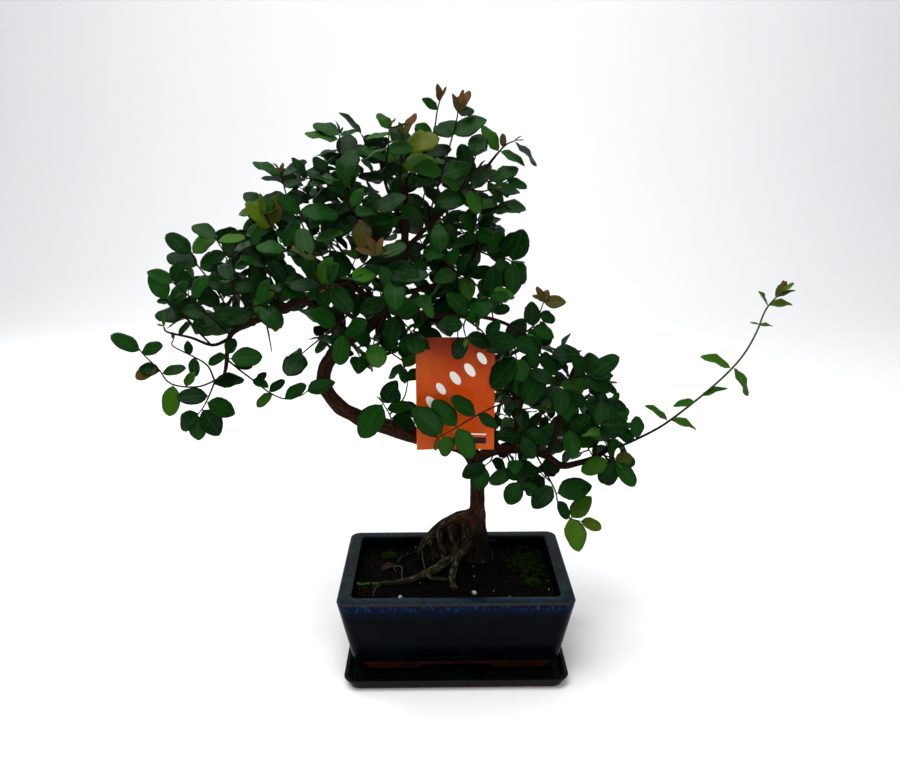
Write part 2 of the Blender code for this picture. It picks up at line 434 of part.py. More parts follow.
        stem([(6.0, 2.5, 22.4), (5.5, -0.3, 23.4), (4.7, -2.6, 24.0), (3.3, -3.5, 23.9),
              (1.65, -3.9, 23.2), (0.1, -4.1, 22.3), (-1.4, -4.3, 21.5)],
             [(0.72, 140, 2.7), (0.865, 134, 3.0), (0.71, -30, 2.0), (0.865, -63, 2.8), (1.0, -78, 2.3),
              (1.0, 136, 3.4)]),
    ],
    "spray_right_riser_tip": [
        stem([(10.2, 1.4, 25.0), (11.0, 0.8, 25.2), (11.8, 0.6, 25.4)],
             [(1.0, 40, 3.0), (0.70, -40, 2.6), (0.60, 120, 2.4), (0.90, -10, 2.2)]),
    ],
    "spray_right_riser_mid": [
        stem([(9.7, 1.3, 23.2), (11.2, 0.6, 22.8), (12.8, 0.6, 23.0), (14.0, 0.8, 23.0)],
             [(1.0, -35, 1.6), (0.98, 60, 0.9), (0.75, 100, 1.8), (0.70, -45, 2.4), (0.45, 150, 2.4),
              (0.40, -20, 2.8)]),
        stem([(11.0, 0.6, 22.9), (12.2, 1.0, 24.0), (13.2, 1.2, 24.6)],
             [(1.0, 60, 0.9), (1.0, -30, 1.5), (0.6, -60, 2.0)]),
    ],
    "spray_right_riser_low": [
        stem([(9.2, 1.2, 21.0), (10.4, -0.2, 20.6), (11.8, -0.8, 20.6), (12.6, -1.0, 21.4)],
             pairs=3, leaf=2.5),
    ],
    "long_shoot": [
        stem([(8.3, 1.3, 17.7), (9.6, 1.1, 16.9), (11.0, 1.1, 17.1), (12.6, 1.2, 17.6),
              (13.8, 1.2, 18.4)], radii=(0.27, 0.15)),
        stem([(13.6, 1.2, 18.3), (15.0, 1.3, 18.7), (16.6, 1.4, 19.4), (18.6, 1.5, 20.5),
              (20.6, 1.5, 22.1), (22.4, 1.5, 23.7), (24.0, 1.5, 25.3), (25.3, 1.5, 27.0),
              (26.2, 1.5, 28.9), (26.7, 1.5, 30.6), (27.2, 1.5, 31.5), (28.0, 1.5, 32.4)],
             [(0.14, 96, 2.2), (0.13, 150, 2.3), (0.29, 140, 2.8), (0.30, -20, 3.0), (0.43, 183, 2.2),
              (0.46, 25, 2.4), (0.63, 156, 3.0), (0.64, -52, 3.2), (0.84, -4, 1.6), (0.845, 168, 0.8),
              (0.925, 128, 2.0), (0.93, 2, 2.5), (1.0, 62, 1.7), (1.0, 32, 1.7)]),
        stem([(12.5, 1.2, 17.6), (12.9, 1.6, 19.4), (13.4, 1.8, 21.0)],
             [(1.0, 20, 2.6), (0.90, 140, 2.2), (0.60, 10, 2.4), (0.55, 170, 2.4)]),
        stem([(13.3, 1.2, 18.0), (13.6, 0.0, 17.8), (14.2, -0.6, 17.8)],
             [(1.0, -50, 2.6), (0.95, -120, 2.5), (0.60, 200, 2.6), (0.90, 10, 1.9), (0.50, -80, 2.8)]),
    ],
    "spray_low_right": [
        stem([(7.2, 1.5, 18.0), (8.1, 0.2, 16.6), (9.0, 0.2, 14.8), (9.3, 0.2, 13.6), (10.0, 0.2, 12.6),
              (10.6, 0.2, 12.1), (11.6, 0.2, 11.8)],
             [(0.42, 222, 2.7), (0.52, 12, 3.4), (0.60, -58, 2.0), (0.86, 48, 2.7), (0.84, -72, 3.2),
              (1.0, -20, 2.2), (0.15, 10, 2.6)]),
    ],
    "spray_low_middle": [
        stem([(4.6, 1.9, 18.1), (5.0, 0.2, 17.2), (5.4, -0.3, 16.4), (5.9, -0.4, 15.7)],
             [(0.90, -112, 2.6), (1.0, -20, 1.8), (0.60, 205, 2.4), (0.50, -15, 2.6)]),
    ],
    "spray_trunk_front": [
        stem([(3.6, 2.1, 17.9), (3.2, 0.6, 17.6), (2.6, -0.2, 17.4)],
             [(1.0, -105, 2.6), (0.9, 200, 2.4), (0.6, -40, 2.2)]),
    ],
    "spray_trunk_bend": [
        stem([(-5.6, 2.1, 20.2), (-5.6, 0.4, 21.8), (-6.2, -0.6, 23.4)],
             [(1.0, 232, 3.5), (0.80, 10, 2.4), (1.0, 60, 2.4), (0.50, -20, 2.4)]),
        stem([(-5.6, 0.2, 22.0), (-4.4, 0.0, 23.6), (-4.0, 0.0, 25.2)], pairs=2, leaf=2.3),
    ],
}


# ---------------------------------------------------------------- shared helpers


def material_of(finish):
    name, colour, roughness, metallic = finish
    material = bpy.data.materials.get(name)
    if material is None:
        material = bpy.data.materials.new(name)
        material.use_nodes = True
        shader = material.node_tree.nodes["Principled BSDF"]
        shader.inputs["Base Color"].default_value = colour
        shader.inputs["Roughness"].default_value = roughness
        shader.inputs["Metallic"].default_value = metallic
        material.diffuse_color = colour
    return material


def object_of(name, mesh, collection):
    obj = bpy.data.objects.new(name, mesh)
    collection.objects.link(obj)
    return obj


def mesh_from_bmesh(name, bm):
    bmesh.ops.recalc_face_normals(bm, faces=bm.faces)
    mesh = bpy.data.meshes.new(name)
    bm.to_mesh(mesh)
    bm.free()
    return mesh


def finish_part(obj, finish, smooth_angle=math.radians(40)):
    obj.data.materials.clear()
    obj.data.materials.append(material_of(finish))
    obj.data.shade_smooth()
    obj.data.set_sharp_from_angle(angle=smooth_angle)
    return obj


def baked(obj):
    """The object's evaluated mesh as a plain one."""
    bpy.context.view_layer.update()
    graph = bpy.context.evaluated_depsgraph_get()
    return bpy.data.meshes.new_from_object(obj.evaluated_get(graph))


def welded(mesh):
    """The same mesh with a curve's loose caps joined to its sides."""
    bm = bmesh.new()
    bm.from_mesh(mesh)
    bmesh.ops.remove_doubles(bm, verts=bm.verts, dist=WELD_DISTANCE)
    bmesh.ops.recalc_face_normals(bm, faces=bm.faces)
    bm.to_mesh(mesh)
    bm.free()
    return mesh


def is_closed(mesh):
    bm = bmesh.new()
    bm.from_mesh(mesh)
    bmesh.ops.triangulate(bm, faces=bm.faces)
    closed = all(len(edge.link_faces) == 2 for edge in bm.edges)
    bm.free()
    return closed


def drop(obj):
    bpy.data.objects.remove(obj)


def combine(obj, others, operation):
    """Joins the others to the object, or cuts them from it, and removes them."""
    group = bpy.data.collections.new("operands")
    bpy.context.scene.collection.children.link(group)
    for other in others:
        group.objects.link(other)
    modifier = obj.modifiers.new(operation.lower(), "BOOLEAN")
    modifier.operation = operation
    modifier.operand_type = "COLLECTION"
    modifier.collection = group
    mesh = baked(obj)
    if not is_closed(mesh):
        modifier.solver = "MANIFOLD"
        mesh = baked(obj)
    obj.modifiers.clear()
    obj.data = mesh
    for other in others:
        drop(other)
    bpy.data.collections.remove(group)
    return obj


def box(name, low, high, collection):
    """A box between two opposite corners."""
    low = Vector(low)
    high = Vector(high)
    bm = bmesh.new()
    bmesh.ops.create_cube(bm, size=1.0)
    for vertex in bm.verts:
        share = vertex.co + Vector((0.5, 0.5, 0.5))
        vertex.co = low + Vector([share[axis] * (high - low)[axis] for axis in range(3)])
    return object_of(name, mesh_from_bmesh(name, bm), collection)


def rod(name, radius, depth, centre, collection, sides=16, axis="Z"):
    """A closed cylinder along Z, or along Y."""
    bm = bmesh.new()
    bmesh.ops.create_cone(bm, cap_ends=True, segments=sides, radius1=radius, radius2=radius, depth=depth)
    if axis == "Y":
        bmesh.ops.rotate(bm, verts=bm.verts, cent=(0, 0, 0), matrix=Matrix.Rotation(math.pi / 2, 3, "X"))
    bmesh.ops.translate(bm, verts=bm.verts, vec=centre)
    return object_of(name, mesh_from_bmesh(name, bm), collection)


# ---------------------------------------------------------------- pot, saucer and soil


def rounded_loop(bm, length, depth, radius, height, centre_y=0.0, steps=3):
    """A ring of vertices round a rectangle with rounded corners, anticlockwise from above."""
    ring = []
    corners = ((1, 1, 0), (-1, 1, 90), (-1, -1, 180), (1, -1, 270))
    for side_x, side_y, start in corners:
        for step in range(steps + 1):
            angle = math.radians(start + 90 * step / steps)
            x = side_x * (length / 2 - radius) + radius * math.cos(angle)
            y = side_y * (depth / 2 - radius) + radius * math.sin(angle)
            ring.append(bm.verts.new((x, y + centre_y, height)))
    return ring


def lofted(name, rings):
    """A closed solid through a list of rings, with a cap on the first and the last one."""
    bm = bmesh.new()
    loops = [rounded_loop(bm, *ring) for ring in rings]
    for lower, upper in zip(loops, loops[1:]):
        for index, corner in enumerate(lower):
            following = (index + 1) % len(lower)
            bm.faces.new((corner, lower[following], upper[following], upper[index]))
    bm.faces.new(loops[0])
    bm.faces.new(loops[-1])
    return mesh_from_bmesh(name, bm)


def wall_size(height, size, top_inset=0.0):
    """The outer size of the pot's straight wall at a height."""
    share = (POT_TOP - height) / (POT_TOP - GLAZE_BOTTOM)
    return size - 2 * (top_inset + GLAZE_INSET * share)


def inner_size(height, size):
    return wall_size(height, size, RIM_WIDTH)


def build_pot(parts, cutters):
    foot_length = POT_LENGTH - 2 * FOOT_INSET
    foot_depth = POT_DEPTH - 2 * FOOT_INSET
    inner_foot = FOOT_WIDTH * 2
    lip = POT_TOP - LIP_ROUND
    lip_edge = RIM_WIDTH - LIP_ROUND
    profile = [
        (foot_length - inner_foot, foot_depth - inner_foot, 0.005, FLOOR_UNDERSIDE),
        (foot_length - inner_foot, foot_depth - inner_foot, 0.005, POT_FOOT),
        (foot_length, foot_depth, 0.009, POT_FOOT),
        (foot_length + 0.003, foot_depth + 0.003, 0.009, FLOOR_UNDERSIDE),
        (wall_size(GLAZE_BOTTOM, POT_LENGTH), wall_size(GLAZE_BOTTOM, POT_DEPTH), 0.010, GLAZE_BOTTOM),
        (wall_size(lip, POT_LENGTH), wall_size(lip, POT_DEPTH), 0.010, lip),
        (POT_LENGTH - 2 * LIP_ROUND, POT_DEPTH - 2 * LIP_ROUND, 0.009, POT_TOP),
        (POT_LENGTH - 2 * lip_edge, POT_DEPTH - 2 * lip_edge, 0.006, POT_TOP),
        (inner_size(lip, POT_LENGTH), inner_size(lip, POT_DEPTH), 0.005, lip),
        (inner_size(POT_FLOOR, POT_LENGTH), inner_size(POT_FLOOR, POT_DEPTH), 0.004, POT_FLOOR),
    ]
    pot = object_of("pot", lofted("pot", profile), parts)
    below = POT_FOOT - ARCH_OVERCUT
    arch_top = POT_FOOT + ARCH_HEIGHT
    half = (ARCH_FRONT / 2, ARCH_SIDE / 2)
    openings = [
        box("arch_front_back", (-half[0], -POT_DEPTH, below), (half[0], POT_DEPTH, arch_top), cutters),
        box("arch_sides", (-POT_LENGTH, -half[1], below), (POT_LENGTH, half[1], arch_top), cutters),
    ]
    for centre_x in (-HOLE_X, HOLE_X):
        openings.append(rod("hole", HOLE_RADIUS, POT_FLOOR * 2, (centre_x, 0, POT_FLOOR), cutters))
    combine(pot, openings, "DIFFERENCE")
    return finish_part(pot, GLAZE)


def build_saucer(parts):
    shift = SAUCER_SHIFT_Y
    base = (SAUCER_LENGTH - 0.010, SAUCER_DEPTH - 0.010)
    inside = (SAUCER_LENGTH - 2 * SAUCER_WALL, SAUCER_DEPTH - 2 * SAUCER_WALL)
    profile = [
        (*base, 0.010, 0.0, shift),
        (SAUCER_LENGTH - 0.001, SAUCER_DEPTH - 0.001, 0.012, SAUCER_HEIGHT - 0.001, shift),
        (SAUCER_LENGTH - 0.002, SAUCER_DEPTH - 0.002, 0.012, SAUCER_HEIGHT, shift),
        (*inside, 0.009, SAUCER_HEIGHT, shift),
        (inside[0] - 0.004, inside[1] - 0.004, 0.008, SAUCER_FLOOR, shift),
    ]
    saucer = object_of("saucer", lofted("saucer", profile), parts)
    return finish_part(saucer, SAUCER_GLAZE)


def build_drainage_meshes(parts):
    """A small plastic screen over each drainage hole, under the soil."""
    half = SCREEN_SIZE / 2
    low = POT_FLOOR + GAP
    for name, centre in (("drainage_mesh_left", -HOLE_X), ("drainage_mesh_right", HOLE_X)):
        screen = box(name, (centre - half, -half, low), (centre + half, half, low + SCREEN_THICKNESS), parts)
        finish_part(screen, MESH)


def soil_height(x, y):
    """The soil's surface: mounded round the trunk and a little uneven."""
    distance = math.hypot((x - MOUND_X) / MOUND_LENGTH, (y - MOUND_Y) / MOUND_DEPTH)
    mound = (SOIL_TOP - SOIL_EDGE) * math.exp(-distance * distance)
    return SOIL_EDGE + mound + SOIL_RIPPLE * math.sin(x * 190 + 1.3) * math.cos(y * 230 + 0.4)


def pot_hollow(name, low, high, gap, collection):
    """The pot's inner space between two heights, drawn in from its walls by a gap."""
    rings = []
    for height, radius in ((low, 0.004), (high, 0.005)):
        length = inner_size(height, POT_LENGTH) - 2 * gap
        rings.append((length, inner_size(height, POT_DEPTH) - 2 * gap, radius, height))
    return object_of(name, lofted(name, rings), collection)


def build_soil(parts, cutters, pockets):
    low = POT_FLOOR + SCREEN_THICKNESS + 2 * GAP
    columns, rows = 12, 8
    bm = bmesh.new()
    bmesh.ops.create_grid(bm, x_segments=columns, y_segments=rows, size=0.5)
    for vertex in bm.verts:
        x = vertex.co.x * POT_LENGTH
        y = vertex.co.y * POT_DEPTH
        vertex.co = (x, y, soil_height(x, y))
    bmesh.ops.triangulate(bm, faces=bm.faces)
    rim = [edge for edge in bm.edges if edge.is_boundary]
    for item in bmesh.ops.extrude_edge_only(bm, edges=rim)["geom"]:
        if isinstance(item, bmesh.types.BMVert):
            item.co.z = low - POT_FLOOR
    bmesh.ops.holes_fill(bm, edges=[edge for edge in bm.edges if edge.is_boundary])
    soil = object_of("soil", mesh_from_bmesh("soil", bm), parts)
    combine(soil, [pot_hollow("hollow", low, POT_TOP, SOIL_GAP, cutters)], "INTERSECT")
    combine(soil, pockets, "DIFFERENCE")
    return finish_part(soil, SOIL)


# ---------------------------------------------------------------- tree geometry, in centimetres


def smoothed(points, steps):
    """A Catmull-Rom curve through the points, each a Vector of position and radius."""
    padded = [points[0] * 2 - points[1], *points, points[-1] * 2 - points[-2]]
    path = []
    for index in range(1, len(padded) - 2):
        before, start, end, after = padded[index - 1 : index + 3]
        for step in range(steps):
            t = step / steps
            path.append(
                0.5 * (2 * start + (end - before) * t + (2 * before - 5 * start + 4 * end - after) * t * t
                       + (3 * start - before - 3 * end + after) * t * t * t)
            )
    return [*path, points[-1].copy()]


def tapered(points, radii):
    """Points with a radius that runs from the first to the second value along the path."""
    last = len(points) - 1
    return [Vector((*point, radii[0] + (radii[1] - radii[0]) * index / last))
            for index, point in enumerate(points)]


def nearest_on(paths, point):
    """The place on the paths' segments that is nearest to the point."""
    best = None
    for path in paths:
        for start, end in zip(path, path[1:]):
            run = end.xyz - start.xyz
            share = max(0.0, min(1.0, (point - start.xyz).dot(run) / max(run.length_squared, 1e-9)))
            place = start.xyz + run * share
            distance = (place - point).length
            if best is None or distance < best[0]:
                best = (distance, place)
    return best[1]


def along(path, share):
    """Position and direction at a share of the path's length."""
    lengths = [(end.xyz - start.xyz).length for start, end in zip(path, path[1:])]
    left = share * sum(lengths)
    for index, length in enumerate(lengths):
        if left <= length or index == len(lengths) - 1:
            start, end = path[index].xyz, path[index + 1].xyz
            return start.lerp(end, min(1.0, left / length)), (end - start).normalized()
        left -= length


def lengthened(path, reach):
    """The path with each end moved outwards."""
    first = path[0].copy()
    last = path[-1].copy()
    first.xyz += (path[0].xyz - path[1].xyz).normalized() * reach
    last.xyz += (path[-1].xyz - path[-2].xyz).normalized() * reach
    return [first, *path[1:-1], last]


def tube(name, path, grow=0.0, resolution=0):
    """A closed tube along a path in centimetres, with flat caps, as a mesh object in metres."""
    curve = bpy.data.curves.new(name, "CURVE")
    curve.dimensions = "3D"
    curve.bevel_depth = CM
    curve.bevel_resolution = resolution
    curve.use_fill_caps = True
    spline = curve.splines.new("POLY")
    spline.points.add(len(path) - 1)
    for point, place in zip(spline.points, lengthened(path, grow)):
        point.co = (*(place.xyz * CM), 1.0)
        point.radius = place.w + grow
    guide = object_of(name, curve, bpy.context.scene.collection)
    mesh = welded(baked(guide))
    drop(guide)
    bpy.data.curves.remove(curve)
    return object_of(name, mesh, bpy.context.scene.collection)


def leaf_frame(base, direction, normal):
    side = direction.cross(normal).normalized()
    return base, direction, side, side.cross(direction).normalized()


def leaf_points(frame, length, grow=0.0):
    """A folded lens: its base, two points on each side, the tip and the midrib's two faces."""
    base, forward, side, up = frame
    width = length * LEAF_WIDTH_SHARE + 2 * grow
    reach = length + grow
    thick = LEAF_THICKNESS / 2 + grow

    def place(along_leaf, across, height):
        return base + forward * along_leaf + side * across + up * height

    fold = length * LEAF_FOLD
    sag = length * LEAF_SAG
    return [
        place(0, 0, 0),
        place(reach * 0.38, width * 0.43, fold),
        place(reach * 0.38, -width * 0.43, fold),
        place(reach * 0.74, width * 0.40, fold - sag * 0.5),
        place(reach * 0.74, -width * 0.40, fold - sag * 0.5),
        place(reach, 0, -sag),
        place(reach * MIDRIB_SHARE, 0, thick),
        place(reach * MIDRIB_SHARE, 0, -thick),
    ]


LEAF_FACES = [
    (0, 1, 6), (1, 3, 6), (3, 5, 6), (0, 6, 2), (2, 6, 4), (4, 6, 5),
    (0, 7, 1), (1, 7, 3), (3, 7, 5), (0, 2, 7), (2, 4, 7), (4, 5, 7),
]


MIDRIB_POINT = 6


def leaf_object(name, points):
    bm = bmesh.new()
    corners = [bm.verts.new(point * CM) for point in points]
    for face in LEAF_FACES:
        bm.faces.new([corners[index] for index in face])
    return object_of(name, mesh_from_bmesh(name, bm), bpy.context.scene.collection)


# ---------------------------------------------------------------- tree layout


def trunk_paths():
    """The trunk, then each limb and root, snapped to what it grows from."""
    paths = [smoothed([Vector(point) for point in TRUNK], TRUNK_STEPS)]
    for start_radius, end_radius, points in [*LIMBS.values(), *ROOTS.values()]:
        points = [Vector(point) for point in points]
        points[0] = nearest_on(paths, points[0])
        paths.append(smoothed(tapered(points, (start_radius, end_radius)), SHOOT_STEPS))
    return paths


def spray_paths(trunk):
    """Each spray's stems, the first one snapped to the trunk's paths and the rest to the spray."""
    sprays = {}
    for name, stems in SPRAYS.items():
        paths = []
        for shoot in stems:
            points = [Vector(point) for point in shoot["path"]]
            points[0] = nearest_on(paths or trunk, points[0])
            paths.append(smoothed(tapered(points, shoot["radii"]), SHOOT_STEPS))
        sprays[name] = paths
    return sprays


def heading_vector(heading, depth):
    return Vector((
        math.cos(heading) * math.cos(depth),
        -math.sin(depth),
        math.sin(heading) * math.cos(depth),
    ))


def wanted_leaves(shoot, path, dice):
    """(base, direction, length) of each leaf that a shoot should bear."""
    found = []
    for share, heading, length in shoot["leaves"]:
        base, _ = along(path, min(share, LAST_SHARE))
        depth = math.radians(dice.uniform(-LEAF_DEPTH_TURN, LEAF_DEPTH_TURN))
        direction = heading_vector(math.radians(heading), depth)
        found.append((base + direction * BASE_OFFSET, direction, length))
    pairs = shoot["pairs"]
    for pair in range(pairs):
        base, forward = along(path, FIRST_PAIR + (LAST_SHARE - FIRST_PAIR) * pair / max(1, pairs - 1))
        across = forward.cross(Vector((0, 1, 0))).normalized()
        turn = math.radians(dice.uniform(-PAIR_TURN_SPREAD, PAIR_TURN_SPREAD) + PAIR_TURN * (pair % 2))
        across.rotate(Quaternion(forward, turn))
        spread = math.radians(dice.uniform(*PAIR_SPREAD))
        for way in (-1, 1):
            direction = (forward * math.cos(spread) + across * (way * math.sin(spread))).normalized()
            length = shoot["leaf"] * dice.uniform(*LENGTH_SPREAD)
            found.append((base + direction * BASE_OFFSET, direction, length))
    return found


def facing(base, direction):
    """The way a leaf's upper face turns: out from the crown's middle low down, and up at the top."""
    outward = -1.0 if base.y < BACK_FACING_Y else 1.0
    share = min(1.0, max(0.0, (base.z - SIDE_LIGHT_TOP) / (SKY_LIGHT_BOTTOM - SIDE_LIGHT_TOP)))
    tilt = LOW_TILT + (TOP_TILT - LOW_TILT) * share
    if base.x > LONG_SHOOT_X:
        tilt = LONG_SHOOT_TILT
    light = Vector((0.0, outward * tilt, LIGHT_RISE))
    normal = light - direction * light.dot(direction)
    return normal.normalized()


def overlaps(points, tree):
    """Whether a leaf of these points cuts the faces in the tree."""
    return bool(BVHTree.FromPolygons(points, LEAF_FACES).overlap(tree))


def meets(points, length, leaves):
    """Whether a leaf of these points cuts any of the others, each (middle, length, tree)."""
    middle = points[MIDRIB_POINT]
    return any((middle - other_middle).length < length + other_length and overlaps(points, tree)
               for other_middle, other_length, tree in leaves)


def layout(fixed_trees, sprays, stem_trees):
    """Places every leaf clear of all the others. Each result is (spray name, frame, length)."""
    placed = []
    taken = {name: [] for name in SPRAYS}
    skipped = 0
    for name, stems in SPRAYS.items():
        dice = random.Random(name + str(TREE_SEED))
        blocked = [*fixed_trees, *(tree for other, tree in stem_trees.items() if other != name)]
        others = [item for other, items in taken.items() if other != name for item in items]
        own = []
        for shoot, path in zip(stems, sprays[name]):
            for base, direction, length in wanted_leaves(shoot, path, dice):
                found = None
                for roll, lift, turn, size in TRIALS:
                    forward = direction.copy()
                    normal = facing(base, forward)
                    forward.rotate(Quaternion(forward.cross(normal).normalized(), math.radians(lift)))
                    forward.rotate(Quaternion(normal, math.radians(turn)))
                    normal = facing(base, forward)
                    roll += dice.uniform(-ROLL_SPREAD, ROLL_SPREAD)
                    normal.rotate(Quaternion(forward, math.radians(roll)))
                    frame = leaf_frame(base, forward, normal)
                    points = leaf_points(frame, length * size, LEAF_CLEARANCE)
                    blade_frame = (base + forward * (BLADE_START * length), *frame[1:])
                    blade = leaf_points(blade_frame, length * size * (1 - BLADE_START), BLADE_CLEARANCE)
                    if any(overlaps(points, tree) for tree in blocked):
                        continue
                    if meets(points, length, others) or meets(blade, length, own):
                        continue
                    found = (name, frame, length * size)
                    break
                if found is None:
                    skipped += 1
                    continue
                placed.append(found)
                points = leaf_points(found[1], found[2])
                middle = points[MIDRIB_POINT]
                taken[name].append((middle, length, BVHTree.FromPolygons(points, LEAF_FACES)))
                own.append((middle, length, BVHTree.FromPolygons(blade, LEAF_FACES)))
    print("leaves placed", len(placed), "left out", skipped)
    return placed


# ---------------------------------------------------------------- tree solids


def tree_of(objects):
    """A search tree over the objects' faces, in centimetres."""
    points = []
    faces = []
    for obj in objects:
        first = len(points)
        points.extend(vertex.co / CM for vertex in obj.data.vertices)
        faces.extend([first + index for index in face.vertices] for face in obj.data.polygons)
    return BVHTree.FromPolygons(points, faces)


def trunk_solid(paths, grow):
    """The trunk with its limbs and roots as one body, each tube widened by grow centimetres."""
    tubes = [tube("trunk", path, grow, 2 if index == 0 else 1) for index, path in enumerate(paths)]
    return combine(tubes[0], tubes[1:], "UNION")


def build_sprays(parts, trunk, clearance_trunk, card_tree):
    sprays = spray_paths(trunk)
    stem_trees = {}
    for name, paths in sprays.items():
        tubes = [tube(name, path, LEAF_CLEARANCE) for path in paths]
        stem_trees[name] = tree_of(tubes)
        for piece in tubes:
            drop(piece)
    names = list(stem_trees)
    for index, name in enumerate(names):
        for other in names[index + 1 :]:
            if stem_trees[name].overlap(stem_trees[other]):
                print("stems cross:", name, other)
        if stem_trees[name].overlap(card_tree):
            print("stem meets the card:", name)
    placed = layout([tree_of([clearance_trunk]), card_tree], sprays, stem_trees)
    for name, paths in sprays.items():
        tubes = [tube(name, path) for path in paths]
        leaves = [leaf_object("leaf", leaf_points(frame, length))
                  for owner, frame, length in placed if owner == name]
        spray = combine(tubes[0], tubes[1:] + leaves, "UNION")
        cutter = clearance_trunk.copy()
        combine(spray, [cutter], "DIFFERENCE")
        bpy.context.scene.collection.objects.unlink(spray)
        parts.objects.link(spray)
        spray.name = name
        finish_part(spray, LEAF_GREEN)


# ---------------------------------------------------------------- card and small things


def build_card(parts):
    """The nursery's card: a thin bowed sheet with a hole near its top edge."""
    columns, rows = 8, 2
    bm = bmesh.new()
    bmesh.ops.create_grid(bm, x_segments=columns, y_segments=rows, size=0.5)
    for vertex in bm.verts:
        across = vertex.co.x * 2
        vertex.co = (
            CARD_X + across * CARD_WIDTH / 2,
            CARD_Y + CARD_BOW * across * across,
            CARD_BOTTOM + (vertex.co.y + 0.5) * CARD_HEIGHT,
        )
    card = object_of("label_card", mesh_from_bmesh("label_card", bm), parts)
    solidify = card.modifiers.new("thickness", "SOLIDIFY")
    solidify.thickness = CARD_THICKNESS
    solidify.offset = 0
    mesh = baked(card)
    card.modifiers.clear()
    card.data = mesh
    hole_height = CARD_BOTTOM + CARD_HEIGHT - CARD_HOLE_DROP
    punch = rod("punch", CARD_HOLE_RADIUS, 0.01, (TIE_X, CARD_Y, hole_height),
                bpy.context.scene.collection, 12, "Y")
    combine(card, [punch], "DIFFERENCE")
    return finish_part(card, CARD)


def point_at_x(path, x):
    """Where the path crosses a plane across X, with its radius there."""
    for start, end in zip(path, path[1:]):
        if min(start.x, end.x) <= x <= max(start.x, end.x):
            return start.lerp(end, (x - start.x) / (end.x - start.x))


def build_tie(parts, limb):
    """A loop of coated wire through the card's hole and over the limb."""
    hole_top = CARD_BOTTOM + CARD_HEIGHT - CARD_HOLE_DROP + CARD_HOLE_RADIUS - TIE_RADIUS - TIE_GAP
    over = limb.w * CM + TIE_RADIUS + TIE_GAP
    y_limb, z_limb = limb.y * CM, limb.z * CM
    outline = [
        (CARD_Y, hole_top),
        (CARD_Y - 0.0035, hole_top + 0.003),
        (y_limb - over - 0.001, hole_top + 0.016),
        (y_limb - over, z_limb),
        (y_limb, z_limb + over),
        (y_limb + over, z_limb),
        (y_limb + over - 0.001, hole_top + 0.016),
        (CARD_Y + 0.0035, hole_top + 0.003),
    ]
    curve = bpy.data.curves.new("label_tie", "CURVE")
    curve.dimensions = "3D"
    curve.bevel_depth = TIE_RADIUS
    curve.bevel_resolution = 1
    curve.resolution_u = 2
    spline = curve.splines.new("BEZIER")
    spline.bezier_points.add(len(outline) - 1)
    for point, (y, z) in zip(spline.bezier_points, outline):
        point.co = (TIE_X, y, z)
        point.handle_left_type = "AUTO"
        point.handle_right_type = "AUTO"
    spline.use_cyclic_u = True
    guide = object_of("tie_guide", curve, parts)
    mesh = welded(baked(guide))
    drop(guide)
    return finish_part(object_of("label_tie", mesh, parts), TIE)


def pebble(name, place, size, collection, grow=0.0, seed=1):
    """An uneven rounded lump, sunk a little into the soil."""
    dice = random.Random(seed)
    bm = bmesh.new()
    bmesh.ops.create_icosphere(bm, subdivisions=2 if size[0] > SMALL_PEBBLE else 1, radius=1.0)
    x, y, sink = place
    for vertex in bm.verts:
        uneven = 1 + PEBBLE_UNEVEN * math.sin(3.1 * vertex.co.x + seed) * math.cos(2.7 * vertex.co.y - seed)
        vertex.co = Vector([vertex.co[axis] * (half * uneven + grow) for axis, half in enumerate(size)])
    bmesh.ops.rotate(bm, verts=bm.verts, cent=(0, 0, 0),
                     matrix=Quaternion((0, 0, 1), dice.uniform(0, math.pi)).to_matrix())
    bmesh.ops.translate(bm, verts=bm.verts, vec=(x, y, soil_height(x, y) + size[2] - sink))
    return object_of(name, mesh_from_bmesh(name, bm), collection)


def build_small_things(parts, cutters):
    """Moss, pumice and a dry leaf on the soil. Returns the pockets that they need in it."""
    pockets = []
    for seed, (name, (place, size, finish)) in enumerate(GROUND.items()):
        finish_part(pebble(name, place, size, parts, seed=seed), finish)
        pockets.append(pebble(name + "_pocket", place, size, cutters, POCKET_GAP, seed))
    return pockets


def main():
    for obj in list(bpy.data.objects):
        bpy.data.objects.remove(obj)
    parts = bpy.data.collections.new("bonsai")
    cutters = bpy.data.collections.new("cutters")
    cutters.hide_render = True
    for collection in (parts, cutters):
        bpy.context.scene.collection.children.link(collection)

    build_saucer(parts)
    build_pot(parts, cutters)
    build_drainage_meshes(parts)

    trunk = trunk_paths()
    wood = trunk_solid(trunk, 0.0)
    bpy.context.scene.collection.objects.unlink(wood)
    parts.objects.link(wood)
    finish_part(wood, BARK)
    clearance_trunk = trunk_solid(trunk, LIMB_CLEARANCE)

    pockets = build_small_things(parts, cutters)
    build_soil(parts, cutters, [clearance_trunk.copy(), *pockets])

    card = build_card(parts)
    tie = build_tie(parts, point_at_x(spray_paths(trunk)["spray_label_limb"][0], TIE_X / CM))

    build_sprays(parts, trunk, clearance_trunk, tree_of([card, tie]))
    drop(clearance_trunk)


main()
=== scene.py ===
# A bent bonsai in its glazed pot: the looks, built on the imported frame
import bmesh
import bpy
import math
import random
from mathutils import Matrix, Quaternion, Vector, kdtree, noise
from mathutils.bvhtree import BVHTree


